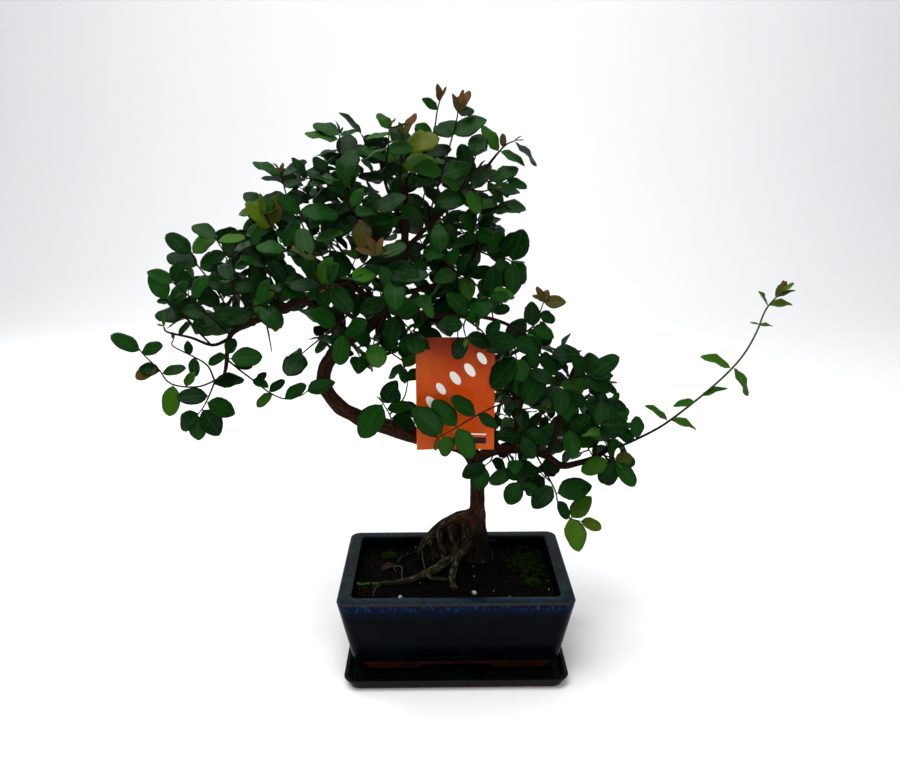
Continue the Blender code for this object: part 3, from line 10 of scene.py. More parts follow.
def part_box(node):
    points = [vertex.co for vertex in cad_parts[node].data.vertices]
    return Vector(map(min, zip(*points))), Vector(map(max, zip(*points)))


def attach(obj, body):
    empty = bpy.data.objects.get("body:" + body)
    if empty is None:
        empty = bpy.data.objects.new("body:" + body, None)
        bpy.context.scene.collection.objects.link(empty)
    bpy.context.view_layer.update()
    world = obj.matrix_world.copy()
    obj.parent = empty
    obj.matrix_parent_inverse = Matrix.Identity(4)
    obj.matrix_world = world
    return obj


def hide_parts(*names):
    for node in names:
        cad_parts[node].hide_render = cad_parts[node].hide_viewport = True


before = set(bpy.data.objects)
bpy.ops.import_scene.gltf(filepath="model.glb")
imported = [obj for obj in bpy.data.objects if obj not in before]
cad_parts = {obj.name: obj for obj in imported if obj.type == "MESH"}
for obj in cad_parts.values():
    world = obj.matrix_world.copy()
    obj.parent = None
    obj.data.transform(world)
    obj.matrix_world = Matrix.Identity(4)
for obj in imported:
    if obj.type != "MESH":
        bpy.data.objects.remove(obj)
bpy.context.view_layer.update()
cm = 0.01

view = {
    "place": (-0.01463, -0.68244, 0.43459),
    "pitch": 15.22,
    "yaw": -0.88,
    "roll": -0.07,
    "lens": 32.96,
}

lamps = {
    "top": {"place": (-0.3, -0.35, 1.7), "size": 1.3, "power": 25, "colour": (1.0, 0.99, 0.97)},
    "front": {"place": (0.6, -1.7, 0.9), "size": 1.0, "power": 8, "colour": (0.96, 0.98, 1.0)},
    "rim": {"place": (-1.1, 0.8, 1.1), "size": 0.7, "power": 6, "colour": (1.0, 1.0, 1.0)},
    "back": {"place": (0.0, 0.9, 2.2), "size": 2.0, "power": 24, "colour": (1.0, 1.0, 1.0),
             "aim": (0.0, 2.2, 0.3)},
}


def addCamera():
    data = bpy.data.cameras.new("camera")
    data.lens = view["lens"]
    data.clip_start = 0.01
    camera = bpy.data.objects.new("camera", data)
    turn = Matrix.Rotation(math.radians(view["yaw"]), 4, "Z")
    tilt = Matrix.Rotation(math.radians(90 - view["pitch"]), 4, "X")
    roll = Matrix.Rotation(math.radians(view["roll"]), 4, "Z")
    camera.matrix_world = Matrix.Translation(view["place"]) @ turn @ tilt @ roll
    bpy.context.scene.collection.objects.link(camera)
    bpy.context.scene.camera = camera


def addLamps():
    target = Vector((0, 0, 0.24))
    for name, lamp in lamps.items():
        data = bpy.data.lights.new(name, "AREA")
        data.shape = "DISK"
        data.size = lamp["size"]
        data.energy = lamp["power"]
        data.color = lamp["colour"]
        light = bpy.data.objects.new(name, data)
        place = Vector(lamp["place"])
        aim = (Vector(lamp.get("aim", target)) - place).to_track_quat("-Z", "Y").to_matrix().to_4x4()
        light.matrix_world = Matrix.Translation(place) @ aim
        bpy.context.scene.collection.objects.link(light)
    world = bpy.data.worlds.new("studio")
    world.use_nodes = True
    background = world.node_tree.nodes["Background"]
    background.inputs["Color"].default_value = (0.93, 0.95, 1.0, 1.0)
    background.inputs["Strength"].default_value = 0.42
    bpy.context.scene.world = world
    bpy.context.scene.view_settings.view_transform = "Standard"


# node helpers


def fill(tree, socket, value):
    if isinstance(value, bpy.types.NodeSocket):
        tree.links.new(value, socket)
    elif value is not None:
        socket.default_value = value


def addNode(tree, kind, inputs=None, **settings):
    made = tree.nodes.new(kind)
    for name, value in settings.items():
        setattr(made, name, value)
    for key, value in (inputs or {}).items():
        fill(tree, made.inputs[key], value)
    return made


def math2(tree, operation, first, second=0.0, third=None):
    return addNode(tree, "ShaderNodeMath", {0: first, 1: second, 2: third}, operation=operation).outputs[0]


def times(tree, first, second):
    return math2(tree, "MULTIPLY", first, second)


def axisOf(tree, vector, axis):
    return addNode(tree, "ShaderNodeSeparateXYZ", {0: vector}).outputs[axis]


def newMaterial(name):
    material = bpy.data.materials.new(name)
    material.use_nodes = True
    return material, material.node_tree


def objectPlace(tree, scale=(1, 1, 1)):
    coords = addNode(tree, "ShaderNodeTexCoord").outputs["Object"]
    return addNode(tree, "ShaderNodeMapping", {"Vector": coords, "Scale": scale}).outputs[0]


def noiseOf(tree, vector, scale, detail=4.0, roughness=0.55):
    return addNode(tree, "ShaderNodeTexNoise", {
        "Vector": vector, "Scale": scale, "Detail": detail, "Roughness": roughness}).outputs["Fac"]


def rampOf(tree, factor, stops):
    made = addNode(tree, "ShaderNodeValToRGB", {"Fac": factor})
    ramp = made.color_ramp
    while len(ramp.elements) > 1:
        ramp.elements.remove(ramp.elements[-1])
    for index, (place, colour) in enumerate(stops):
        stop = ramp.elements[0] if index == 0 else ramp.elements.new(place)
        stop.position = place
        stop.color = (*colour, 1.0)
    return made.outputs["Color"]


def rangeOf(tree, value, low, high, toLow=0.0, toHigh=1.0):
    return addNode(tree, "ShaderNodeMapRange", {"Value": value, "From Min": low, "From Max": high,
                                                "To Min": toLow, "To Max": toHigh}).outputs[0]


def mixOf(tree, factor, first, second, blend="MIX"):
    pair = [value if isinstance(value, bpy.types.NodeSocket) else (*value, 1.0) for value in (first, second)]
    return addNode(tree, "ShaderNodeMix", {0: factor, 6: pair[0], 7: pair[1]},
                   data_type="RGBA", blend_type=blend).outputs[2]


def painted(tree, colour, paint, mask, low, high, most=1.0):
    # the colour with paint over it where the mask runs from low to high
    return mixOf(tree, rangeOf(tree, mask, low, high, 0.0, most), colour, paint)


def bumpOf(tree, height, strength, distance, before=None):
    return addNode(tree, "ShaderNodeBump", {
        "Height": height, "Strength": strength, "Distance": distance, "Normal": before}).outputs[0]


def finishLook(material, values):
    shader = material.node_tree.nodes["Principled BSDF"]
    for name, value in values.items():
        fill(material.node_tree, shader.inputs[name], value)
    return material


def attributeOf(tree, name):
    return addNode(tree, "ShaderNodeAttribute", attribute_name=name).outputs["Fac"]


# mesh helpers


def linked(name, mesh):
    made = bpy.data.objects.new(name, mesh)
    bpy.context.scene.collection.objects.link(made)
    return made


def meshFrom(name, bm):
    mesh = bpy.data.meshes.new(name)
    bm.to_mesh(mesh)
    bm.free()
    return linked(name, mesh)


def storeOn(mesh, name, kind, values):
    made = mesh.attributes.new(name, kind, "POINT")
    made.data.foreach_set("vector" if kind == "FLOAT_VECTOR" else "value", values)


def wear(piece, material):
    piece.data.materials.clear()
    piece.data.materials.append(material)


def plainMesh(piece):
    # the evaluated shape, kept as a plain mesh
    graph = bpy.context.evaluated_depsgraph_get()
    mesh = bpy.data.meshes.new_from_object(piece.evaluated_get(graph), depsgraph=graph,
                                           preserve_all_data_layers=True)
    piece.modifiers.clear()
    piece.data = mesh
    return piece


def thickened(piece, thickness):
    thick = piece.modifiers.new("thickness", "SOLIDIFY")
    thick.thickness = thickness
    thick.offset = 0
    return plainMesh(piece)


def seat(piece, nodes, smoothAngle=None):
    if smoothAngle is None:
        piece.data.shade_smooth()
    else:
        piece.data.set_sharp_from_angle(angle=math.radians(smoothAngle))
    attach(piece, "root")
    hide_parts(*nodes)
    return piece


def geometryTree(name, inputs):
    # a new tree with the named inputs, each (name, socket type, default)
    tree = bpy.data.node_groups.new(name, "GeometryNodeTree")
    tree.interface.new_socket("Geometry", in_out="INPUT", socket_type="NodeSocketGeometry")
    tree.interface.new_socket("Geometry", in_out="OUTPUT", socket_type="NodeSocketGeometry")
    for label, kind, default in inputs:
        socket = tree.interface.new_socket(label, in_out="INPUT", socket_type=kind)
        if default is not None:
            socket.default_value = default
    start = tree.nodes.new("NodeGroupInput")
    end = tree.nodes.new("NodeGroupOutput")
    return tree, start.outputs, end.inputs


def finishTree(tree, geometry, start, end):
    real = addNode(tree, "GeometryNodeRealizeInstances", {"Geometry": geometry}).outputs[0]
    made = addNode(tree, "GeometryNodeSetMaterial", {"Geometry": real, "Material": start["Finish"]})
    tree.links.new(made.outputs[0], end["Geometry"])
    return tree


def useTree(piece, tree, values):
    modifier = piece.modifiers.new(tree.name, "NODES")
    modifier.node_group = tree
    for item in tree.interface.items_tree:
        if item.in_out == "INPUT" and item.name in values:
            modifier[item.identifier] = values[item.name]
    return plainMesh(piece)


def namedValue(tree, name, kind="FLOAT"):
    return addNode(tree, "GeometryNodeInputNamedAttribute", {"Name": name},
                   data_type=kind).outputs["Attribute"]


def keepAs(tree, geometry, name, value, kind="FLOAT", domain="POINT"):
    return addNode(tree, "GeometryNodeStoreNamedAttribute",
                   {"Geometry": geometry, "Name": name, "Value": value},
                   data_type=kind, domain=domain).outputs["Geometry"]


def placeOf(tree):
    return addNode(tree, "GeometryNodeInputPosition").outputs[0]


def scaled(tree, vector, size):
    return addNode(tree, "ShaderNodeVectorMath", {0: vector, "Scale": size}, operation="SCALE").outputs[0]


def facingUp(tree, least):
    normal = addNode(tree, "GeometryNodeInputNormal").outputs[0]
    return math2(tree, "GREATER_THAN", axisOf(tree, normal, "Z"), least)


def randomOf(tree, seed, kind="FLOAT", low=None, high=None):
    # a random value for each point or instance
    made = addNode(tree, "FunctionNodeRandomValue", {"Seed": seed}, data_type=kind)
    wanted = {"FLOAT": "VALUE", "INT": "INT", "FLOAT_VECTOR": "VECTOR"}[kind]
    for name, value in (("Min", low), ("Max", high)):
        if value is not None:
            fill(tree, next(item for item in made.inputs if (item.name, item.type) == (name, wanted)), value)
    return next(item for item in made.outputs if item.enabled)


def scatter(tree, mesh, selection, density, seed):
    return addNode(tree, "GeometryNodeDistributePointsOnFaces", {
        "Mesh": mesh, "Selection": selection, "Density": density, "Seed": seed}).outputs


# the tree's layout in centimetres: for each point of the trunk its centre, then its radius
trunkPath = [
    (2.2, 3.0, 5.0, 1.30), (2.2, 3.0, 7.0, 1.25), (2.15, 2.8, 9.0, 1.02), (2.15, 2.7, 11.0, 0.82),
    (2.15, 2.6, 13.0, 0.67), (2.1, 2.6, 15.2, 0.66), (1.9, 2.5, 16.8, 0.70), (1.0, 2.4, 18.2, 0.80),
    (-0.8, 2.3, 19.0, 0.80), (-3.2, 2.2, 19.4, 0.78), (-5.5, 2.1, 20.2, 0.72), (-8.0, 2.0, 21.0, 0.68),
    (-10.0, 1.9, 22.2, 0.66), (-11.2, 1.8, 23.8, 0.64), (-11.4, 1.7, 25.4, 0.62), (-10.6, 1.7, 27.0, 0.58),
    (-9.0, 1.8, 28.4, 0.54), (-7.0, 1.9, 29.8, 0.50), (-5.4, 2.0, 31.6, 0.45), (-4.6, 2.0, 34.0, 0.38),
    (-4.2, 1.9, 36.8, 0.30), (-4.0, 1.8, 39.6, 0.22), (-4.0, 1.7, 42.0, 0.14),
]

# Limbs that grow from the trunk or from each other: radius at the start and the end, then centres.
limbs = {
    "right": (0.50, 0.28, [(1.9, 2.5, 17.0), (3.4, 2.2, 17.9), (5.4, 1.8, 18.2), (7.0, 1.5, 18.1),
        (8.3, 1.3, 17.7)]),
    "right_riser": (0.26, 0.15, [(8.2, 1.3, 17.8), (8.9, 1.2, 19.4), (9.2, 1.2, 21.2), (9.7, 1.3, 23.4),
        (10.3, 1.4, 25.4), (10.9, 1.4, 26.8)]),
    "left": (0.42, 0.14, [(-9.0, 1.8, 28.4), (-10.8, 1.6, 30.6), (-12.8, 1.4, 31.9), (-14.6, 1.3, 31.2),
        (-16.4, 1.3, 30.4), (-18.2, 1.3, 29.7), (-19.3, 1.3, 28.8), (-19.6, 1.3, 27.4), (-19.8, 1.4, 26.2),
        (-20.1, 1.4, 25.2)]),
    "left_spur": (0.10, 0.04, [(-16.1, 1.3, 30.4), (-15.9, 1.1, 29.0), (-15.7, 1.0, 27.5)]),
    "upper_left": (0.32, 0.11, [(-6.2, 1.9, 30.7), (-8.4, 1.5, 33.0), (-11.0, 1.2, 34.9),
        (-13.2, 1.1, 36.4), (-14.8, 1.1, 37.5)]),
    "crown_left": (0.26, 0.10, [(-4.6, 2.0, 34.0), (-6.8, 2.2, 37.2), (-8.6, 2.1, 40.4),
        (-9.2, 1.8, 43.0)]),
    "crown_right": (0.22, 0.10, [(-4.3, 1.9, 36.0), (-1.6, 2.2, 38.6), (0.8, 2.4, 40.8), (2.3, 2.3, 42.4),
        (3.6, 2.0, 44.0)]),
}

# Exposed roots, in the same form. They fan out from the flare and dive into the soil.
roots = {
    "main": (0.62, 0.16, [(1.9, 2.4, 9.2), (1.0, 1.9, 8.4), (-0.2, 1.4, 7.6), (-1.5, 0.6, 7.2),
        (-2.7, -0.6, 7.1), (-4.0, -1.4, 7.0), (-5.2, -1.8, 7.0), (-6.8, -1.9, 6.9)]),
    "main_tip": (0.14, 0.06, [(-6.7, -1.9, 6.9), (-7.1, -2.8, 6.85), (-7.2, -4.0, 6.6)]),
    "main_fork": (0.24, 0.14, [(-2.6, -0.5, 7.1), (-2.0, -1.3, 7.05), (-1.0, -1.3, 7.0),
        (-0.4, -1.0, 6.7)]),
    "ridge": (0.62, 0.22, [(1.8, 2.8, 11.4), (0.8, 2.9, 11.2), (-0.5, 3.0, 10.7), (-1.6, 3.0, 9.9),
        (-2.5, 3.0, 9.0), (-3.1, 2.9, 8.0), (-3.3, 3.0, 6.6)]),
    "back_0": (0.48, 0.36, [(1.7, 3.2, 12.0), (0.8, 3.4, 10.8), (0.2, 3.3, 9.4), (0.0, 3.0, 6.8)]),
    "back_1": (0.30, 0.22, [(1.5, 3.3, 11.2), (0.6, 3.4, 9.8), (0.6, 3.1, 8.0), (0.9, 3.0, 6.6)]),
    "back_2": (0.30, 0.22, [(0.4, 3.4, 11.0), (-0.5, 3.5, 9.9), (-0.5, 3.2, 8.2), (-0.2, 3.0, 6.6)]),
    "back_3": (0.30, 0.22, [(-0.7, 3.4, 10.4), (-1.2, 3.4, 9.2), (-1.0, 3.2, 7.8), (-0.8, 3.0, 6.6)]),
    "back_4": (0.26, 0.20, [(-1.6, 3.3, 9.8), (-1.9, 3.2, 8.6), (-1.7, 3.0, 7.4), (-1.4, 2.9, 6.5)]),
    "curtain_1": (0.30, 0.22, [(0.9, 2.8, 11.0), (0.9, 2.4, 9.6), (1.1, 2.1, 8.0)]),
    "curtain_2": (0.27, 0.20, [(-0.1, 2.8, 10.8), (-0.4, 2.4, 9.7), (0.1, 2.1, 8.4), (0.4, 2.0, 6.6)]),
    "curtain_3": (0.36, 0.27, [(-1.4, 2.9, 10.0), (-1.4, 2.5, 8.8), (-1.0, 2.2, 7.6), (-0.7, 2.1, 6.4)]),
    "curtain_4": (0.25, 0.18, [(-2.2, 2.9, 9.2), (-2.1, 2.6, 8.0), (-1.7, 2.5, 6.5)]),
    "side": (0.15, 0.07, [(-3.1, 2.9, 7.8), (-4.0, 3.6, 7.05), (-4.9, 3.2, 6.95), (-5.6, 2.2, 6.6)]),
    "front": (0.34, 0.30, [(0.6, 1.7, 8.0), (0.1, 0.5, 7.5), (-0.2, -0.7, 7.3), (-0.3, -1.9, 7.1),
        (0.0, -2.6, 6.5)]),
    "right": (0.16, 0.07, [(3.0, 3.4, 8.6), (3.9, 4.2, 8.0), (4.5, 4.4, 7.3), (4.8, 4.1, 6.6)]),
    "right_small": (0.13, 0.07, [(2.9, 2.6, 8.6), (3.5, 2.5, 7.8), (3.6, 2.3, 6.6)]),
    "back": (0.40, 0.22, [(2.2, 3.6, 8.8), (2.0, 4.4, 7.6), (1.6, 5.0, 6.4)]),
}


# Other ways that a leaf may lie where its own is taken: roll, lift and turn in degrees, and size.
trials = [
    (0, 0, 0, 1.0), (0, 18, 0, 1.0), (0, -18, 0, 1.0), (25, 0, 8, 1.0), (-25, 0, -8, 1.0),
    (0, 32, 12, 0.95), (0, -32, -12, 0.95), (35, 15, -14, 0.9), (-35, -15, 14, 0.9),
    (0, 45, 0, 0.9), (0, -45, 0, 0.9), (50, 0, 22, 0.85), (-50, 0, -22, 0.85), (0, 25, 30, 0.8),
    (0, -25, -30, 0.8), (60, 30, 0, 0.75), (-60, -30, 0, 0.75),
]


def stem(path, leaves=(), pairs=0, leaf=2.6, radii=(0.09, 0.05)):
    # leaves are (share of the path, heading in degrees, length), and pairs are opposite leaves
    return {"path": path, "leaves": leaves, "pairs": pairs, "leaf": leaf, "radii": radii}


sprays = {
    "spray_left_tip": [
        stem([(-20.1, 1.4, 25.3), (-22.3, 1.2, 24.4), (-24.6, 1.1, 24.7), (-25.5, 1.0, 26.0),
            (-26.6, 0.9, 27.3), (-27.0, 0.9, 27.9)], [(1.0, 143, 2.7), (0.96, 18, 2.2), (0.74, 200, 2.3),
            (0.70, 170, 1.9), (0.68, 12, 2.1), (0.52, 262, 2.8), (0.40, 60, 1.6)]),
        stem([(-20.8, 1.34, 25.0), (-21.1, 0.4, 24.0), (-21.6, 0.1, 23.0), (-22.2, -0.2, 22.2)],
            [(0.15, 18, 2.8), (0.45, 176, 2.6), (0.62, -30, 2.8), (0.80, -62, 2.8), (0.92, -140, 2.6),
            (1.0, -95, 2.5)]),
        stem([(-20.9, 1.34, 25.0), (-21.6, 2.0, 26.1), (-22.9, 2.2, 26.9), (-24.5, 2.2, 27.8),
            (-24.4, 2.2, 28.4)], [(0.58, 105, 1.3), (0.52, -92, 1.8)])],
    "spray_left_outer": [
        stem([(-19.3, 1.3, 28.6), (-20.8, 1.2, 28.1), (-22.5, 1.0, 28.8), (-24.4, 0.9, 29.3),
            (-24.7, 0.9, 29.8)], radii=(0.17, 0.06)),
        stem([(-20.9, 1.2, 28.2), (-21.9, 1.0, 29.4), (-23.0, 0.8, 31.0), (-24.3, 0.7, 32.2)],
            [(0.97, 112, 2.6), (0.92, 172, 1.0), (0.88, 55, 2.3), (0.55, 70, 2.2), (0.40, 28, 2.7),
            (0.45, 215, 1.9), (0.20, 100, 1.6)])],
    "spray_left_mid": [
        stem([(-19.2, 1.2, 28.9), (-20.5, 0.0, 30.8), (-22.0, -0.3, 32.6), (-23.3, -0.4, 33.8)],
            [(1.0, 150, 2.2), (0.95, 75, 2.0), (0.75, 205, 1.9), (0.70, 55, 2.4), (0.42, 165, 2.2),
            (0.38, 12, 2.5)])],
    "spray_left_high": [
        stem([(-18.6, 1.5, 29.6), (-20.4, 2.2, 32.8), (-21.8, 2.2, 34.8), (-22.2, 2.0, 36.0)],
            [(1.0, 140, 2.6), (0.97, 38, 2.6), (0.82, 156, 2.9), (0.80, 28, 2.4), (0.55, 170, 2.4),
            (0.50, 10, 2.4)])],
    "spray_left_peak": [
        stem([(-17.6, 1.3, 30.0), (-18.6, 0.8, 32.6), (-18.4, 0.8, 34.8), (-19.3, 0.8, 36.4),
            (-19.8, 0.8, 37.3)], [(1.0, 150, 2.4), (0.95, 8, 2.3), (0.78, 195, 2.0), (0.62, 25, 1.9),
            (0.45, 168, 2.4), (0.40, 12, 2.4)])],
    "spray_left_sweep": [
        stem([(-19.7, 1.3, 26.8), (-18.3, 0.8, 25.8), (-17.2, 0.6, 25.0), (-15.9, 0.4, 24.0),
            (-14.6, 0.3, 23.5), (-13.3, 0.3, 23.8), (-12.6, 0.3, 24.3)], [(0.10, -8, 1.6), (0.40, 48, 1.2),
            (0.34, -20, 1.6), (0.55, 35, 1.7), (0.72, 32, 2.3), (0.60, 214, 2.0), (1.0, 8, 2.6)])],
    "spray_left_oval": [
        stem([(-19.6, 1.3, 27.9), (-19.4, 0.2, 27.4), (-19.0, -0.3, 27.2)], [(1.0, 6, 2.7), (0.7, 200, 2.0),
            (0.5, 60, 1.5)])],
    "spray_left_inner": [
        stem([(-16.6, 1.3, 30.4), (-16.9, -0.4, 31.4), (-17.6, -1.4, 32.8), (-18.2, -1.9, 34.2)], pairs=2,
            leaf=2.7),
        stem([(-17.1, -0.6, 31.6), (-15.4, -1.4, 32.2), (-14.2, -2.0, 33.2)], pairs=2, leaf=2.6)],
    "spray_left_back": [
        stem([(-16.0, 1.3, 30.6), (-16.2, 3.0, 32.4), (-17.0, 4.0, 34.4), (-17.4, 4.4, 36.4)], pairs=2,
            leaf=2.65),
        stem([(-16.1, 2.9, 32.3), (-18.0, 4.4, 33.0), (-19.8, 5.2, 34.2)], pairs=2, leaf=2.6)],
    "spray_left_rise": [
        stem([(-14.6, 1.3, 31.2), (-15.2, 1.0, 33.2), (-15.9, 0.8, 35.2), (-16.8, 0.6, 36.8)], pairs=3,
            leaf=2.6)],
    "spray_upper_left_rosette": [
        stem([(-14.6, 1.1, 37.4), (-15.1, 0.6, 38.2), (-15.5, 0.3, 39.2)], [(0.40, 140, 3.0),
            (0.50, 72, 2.7), (0.95, 122, 1.6), (1.0, 62, 1.4), (0.30, 185, 2.6), (0.25, -12, 2.3)])],
    "spray_upper_left_edge": [
        stem([(-13.4, 1.1, 36.5), (-15.0, 2.6, 38.2), (-16.4, 3.0, 39.6)], [(1.0, 138, 2.0),
            (0.92, 186, 2.4), (0.70, 60, 2.4), (0.62, 205, 2.3), (0.40, 80, 2.4)])],
    "spray_upper_left_fork": [
        stem([(-11.6, 1.2, 35.2), (-12.6, 1.7, 38.0), (-13.8, 1.7, 40.4), (-14.2, 1.6, 42.4)],
            [(1.0, 148, 2.5), (0.99, 28, 2.5), (0.92, 172, 1.9), (0.90, -4, 1.8), (0.78, -18, 2.0),
            (0.72, 170, 2.2), (0.50, 20, 2.5), (0.45, 165, 2.5)])],
    "spray_upper_left_front": [
        stem([(-10.4, 1.3, 34.5), (-10.9, -1.0, 36.2), (-11.6, -2.0, 38.2), (-12.2, -2.4, 39.6)],
            [(1.0, 2, 3.1), (0.95, 140, 2.4), (0.60, 20, 2.5), (0.55, 190, 2.6), (0.75, 60, 2.4),
            (0.35, -30, 2.6)]),
        stem([(-11.0, -1.1, 36.4), (-12.4, -2.2, 36.2), (-13.6, -2.8, 36.8)], [(1.0, 60, 2.5),
            (0.9, 170, 2.3), (0.5, -60, 2.4)])],
    "spray_upper_left_low": [
        stem([(-9.0, 1.4, 33.4), (-11.0, -0.2, 33.6), (-12.6, -1.2, 33.4), (-14.0, -1.6, 33.8)], pairs=3,
            leaf=2.7)],
    "spray_crown_left_tip": [
        stem([(-9.2, 1.8, 42.8), (-9.4, 1.7, 44.2), (-9.3, 1.6, 45.4)], [(1.0, 150, 2.5), (0.85, 164, 2.8),
            (0.55, 188, 1.9), (0.50, -6, 2.5), (0.95, 18, 1.8)])],
    "spray_crown_left_side": [
        stem([(-8.4, 2.1, 40.2), (-9.6, 1.4, 41.2), (-11.0, 0.8, 41.8), (-12.0, 0.6, 42.0)], pairs=3,
            leaf=2.5)],
    "spray_crown_left_front": [
        stem([(-7.4, 2.2, 38.4), (-8.0, -0.2, 39.0), (-8.6, -2.0, 40.4), (-8.8, -2.8, 42.0)], pairs=2,
            leaf=2.65),
        stem([(-8.1, -0.4, 39.1), (-6.8, -2.2, 38.8), (-6.2, -3.6, 39.6)], pairs=2, leaf=2.6)],
    "spray_crown_left_back": [
        stem([(-7.6, 2.2, 38.8), (-8.8, 4.4, 39.8), (-9.6, 5.6, 41.4), (-9.8, 6.2, 43.0)], pairs=2,
            leaf=2.6),
        stem([(-8.8, 4.4, 39.8), (-10.8, 5.2, 39.6), (-12.4, 5.6, 40.2)], pairs=2, leaf=2.5)],
    "spray_crown_top": [
        stem([(-4.1, 1.9, 38.0), (-5.5, 1.4, 41.0), (-5.9, 1.3, 43.4), (-5.5, 1.3, 45.2)],
            radii=(0.18, 0.09)),
        stem([(-5.9, 1.3, 43.2), (-6.9, 1.2, 44.4), (-7.5, 1.2, 45.4)], [(1.0, 130, 2.5), (0.85, 12, 2.2),
            (0.60, 190, 2.4), (0.45, 60, 2.2)]),
        stem([(-5.7, 1.3, 42.4), (-5.4, -0.6, 43.4), (-5.2, -1.4, 44.8), (-5.1, -1.6, 45.8)],
            [(1.0, 118, 1.7), (0.97, 20, 1.9), (0.70, 200, 2.2), (0.66, -8, 2.4), (0.40, 150, 2.4),
            (0.36, 30, 2.2)])],
    "spray_young_left": [
        stem([(-4.0, 1.8, 40.4), (-4.4, 0.2, 42.0), (-4.2, -0.6, 43.8), (-4.1, -0.8, 45.4)],
            [(0.82, 18, 3.0), (0.58, 8, 3.0), (1.0, 62, 2.0), (1.0, 150, 1.2), (0.60, 172, 2.4),
            (0.84, 168, 1.8)])],
    "spray_young_tall": [
        stem([(-1.8, 2.2, 38.4), (-1.9, 0.6, 39.6), (-1.2, -0.1, 41.8), (-0.5, -0.2, 44.2),
            (0.1, -0.2, 46.3), (0.25, -0.2, 47.3)], [(1.0, 104, 1.5), (1.0, 62, 1.9), (0.98, 8, 1.3),
            (0.80, 26, 2.9), (0.78, 150, 1.8), (0.50, 168, 2.4), (0.48, 20, 2.6), (0.25, 6, 2.8)])],
    "spray_young_thin": [
        stem([(-4.0, 1.7, 41.8), (-2.6, 1.7, 43.8), (-1.7, 1.5, 45.6), (-1.4, 1.4, 47.2),
            (-1.15, 1.4, 48.1)], [(1.0, 96, 1.4), (0.88, 142, 1.5), (0.62, 14, 2.6), (0.60, 150, 1.6),
            (0.40, 170, 2.2), (0.36, 10, 2.4)])],
    "spray_crown_back": [
        stem([(-4.2, 1.9, 37.0), (-5.0, 4.0, 39.0), (-5.4, 5.6, 41.2)], radii=(0.18, 0.09)),
        stem([(-5.2, 4.6, 40.0), (-3.6, 6.0, 41.2), (-2.6, 6.6, 42.8)], pairs=2, leaf=2.6),
        stem([(-3.7, 5.9, 41.1), (-2.2, 5.4, 41.4), (-0.8, 5.2, 42.4)], pairs=2, leaf=2.5),
        stem([(-5.4, 5.4, 41.0), (-6.2, 6.0, 42.4), (-6.6, 6.2, 44.2)], pairs=2, leaf=2.6)],
    "spray_crown_right_tip": [
        stem([(3.4, 2.0, 43.7), (4.2, 1.8, 44.6), (4.9, 1.6, 44.9)], [(1.0, -38, 2.8), (0.45, 92, 1.1),
            (0.20, 118, 2.5), (0.25, -25, 2.4)])],
    "spray_crown_right_low": [
        stem([(1.8, 2.4, 41.8), (3.0, 1.6, 41.7), (4.3, 1.4, 41.9)], [(1.0, -22, 1.9), (0.75, -58, 1.6),
            (0.50, 30, 2.5), (0.40, -60, 2.2)])],
    "spray_crown_right_front": [
        stem([(0.2, 2.3, 40.2), (0.6, 0.0, 41.4), (1.2, -1.4, 42.6), (1.6, -1.8, 43.8)], pairs=2, leaf=2.5),
        stem([(0.5, 0.2, 41.3), (2.0, -1.0, 41.0), (3.0, -1.4, 41.2)], pairs=2, leaf=2.5)],
    "spray_crown_right_back": [
        stem([(0.6, 2.4, 40.6), (1.4, 4.4, 41.2), (2.0, 5.4, 42.4)], pairs=3, leaf=2.6)],
    "spray_right_mid": [
        stem([(-5.1, 2.0, 32.2), (-1.8, 2.2, 33.0), (0.8, 2.4, 34.2), (2.0, 2.6, 36.2), (2.7, 2.6, 38.6)],
            radii=(0.25, 0.11)),
        stem([(2.6, 2.6, 38.2), (3.2, 2.0, 39.4), (4.2, 1.8, 40.0)], [(1.0, -30, 1.6), (0.70, 170, 2.4),
            (0.55, -12, 3.0), (0.30, 120, 2.4)]),
        stem([(1.9, 2.5, 36.0), (3.2, 2.2, 35.5), (4.4, 2.0, 35.3), (5.0, 1.8, 35.0)], [(1.0, 72, 2.9),
            (1.0, -88, 2.9), (0.92, -52, 2.6), (0.65, 50, 2.6), (0.60, -70, 2.6), (0.35, 60, 2.4)]),
        stem([(0.6, 2.3, 34.1), (1.0, 0.0, 34.0), (2.0, -1.2, 33.4), (3.2, -1.6, 33.0)], pairs=2, leaf=2.6),
        stem([(0.9, 0.4, 34.0), (-0.4, -1.6, 35.0), (-1.2, -2.6, 36.4)], pairs=2, leaf=2.6)],
    "spray_back_right": [
        stem([(-4.8, 2.0, 33.2), (-3.0, 4.4, 34.6), (-1.4, 6.4, 36.4), (-0.6, 7.6, 38.6)],
            radii=(0.25, 0.11)),
        stem([(-1.6, 6.2, 36.2), (0.6, 6.2, 37.0), (2.4, 5.6, 37.6)], pairs=2, leaf=2.6),
        stem([(-1.0, 6.3, 36.5), (-0.4, 7.6, 35.2), (0.6, 8.2, 34.4)], pairs=2, leaf=2.6),
        stem([(-0.7, 7.4, 38.2), (-1.6, 8.0, 39.6), (-1.8, 8.4, 41.0)], pairs=2, leaf=2.6)],
    "spray_back_left": [
        stem([(-6.4, 1.9, 30.4), (-7.6, 4.2, 32.4), (-9.2, 6.4, 34.2), (-10.6, 8.0, 36.0)],
            radii=(0.28, 0.11)),
        stem([(-10.3, 7.7, 35.6), (-11.8, 8.2, 36.6), (-13.0, 8.2, 38.0)], pairs=2, leaf=2.7),
        stem([(-11.2, 8.0, 36.2), (-11.6, 9.2, 34.6), (-12.6, 9.6, 33.6)], pairs=2, leaf=2.6),
        stem([(-8.8, 6.0, 33.8), (-7.4, 7.6, 34.8), (-6.4, 8.4, 36.4)], pairs=2, leaf=2.7),
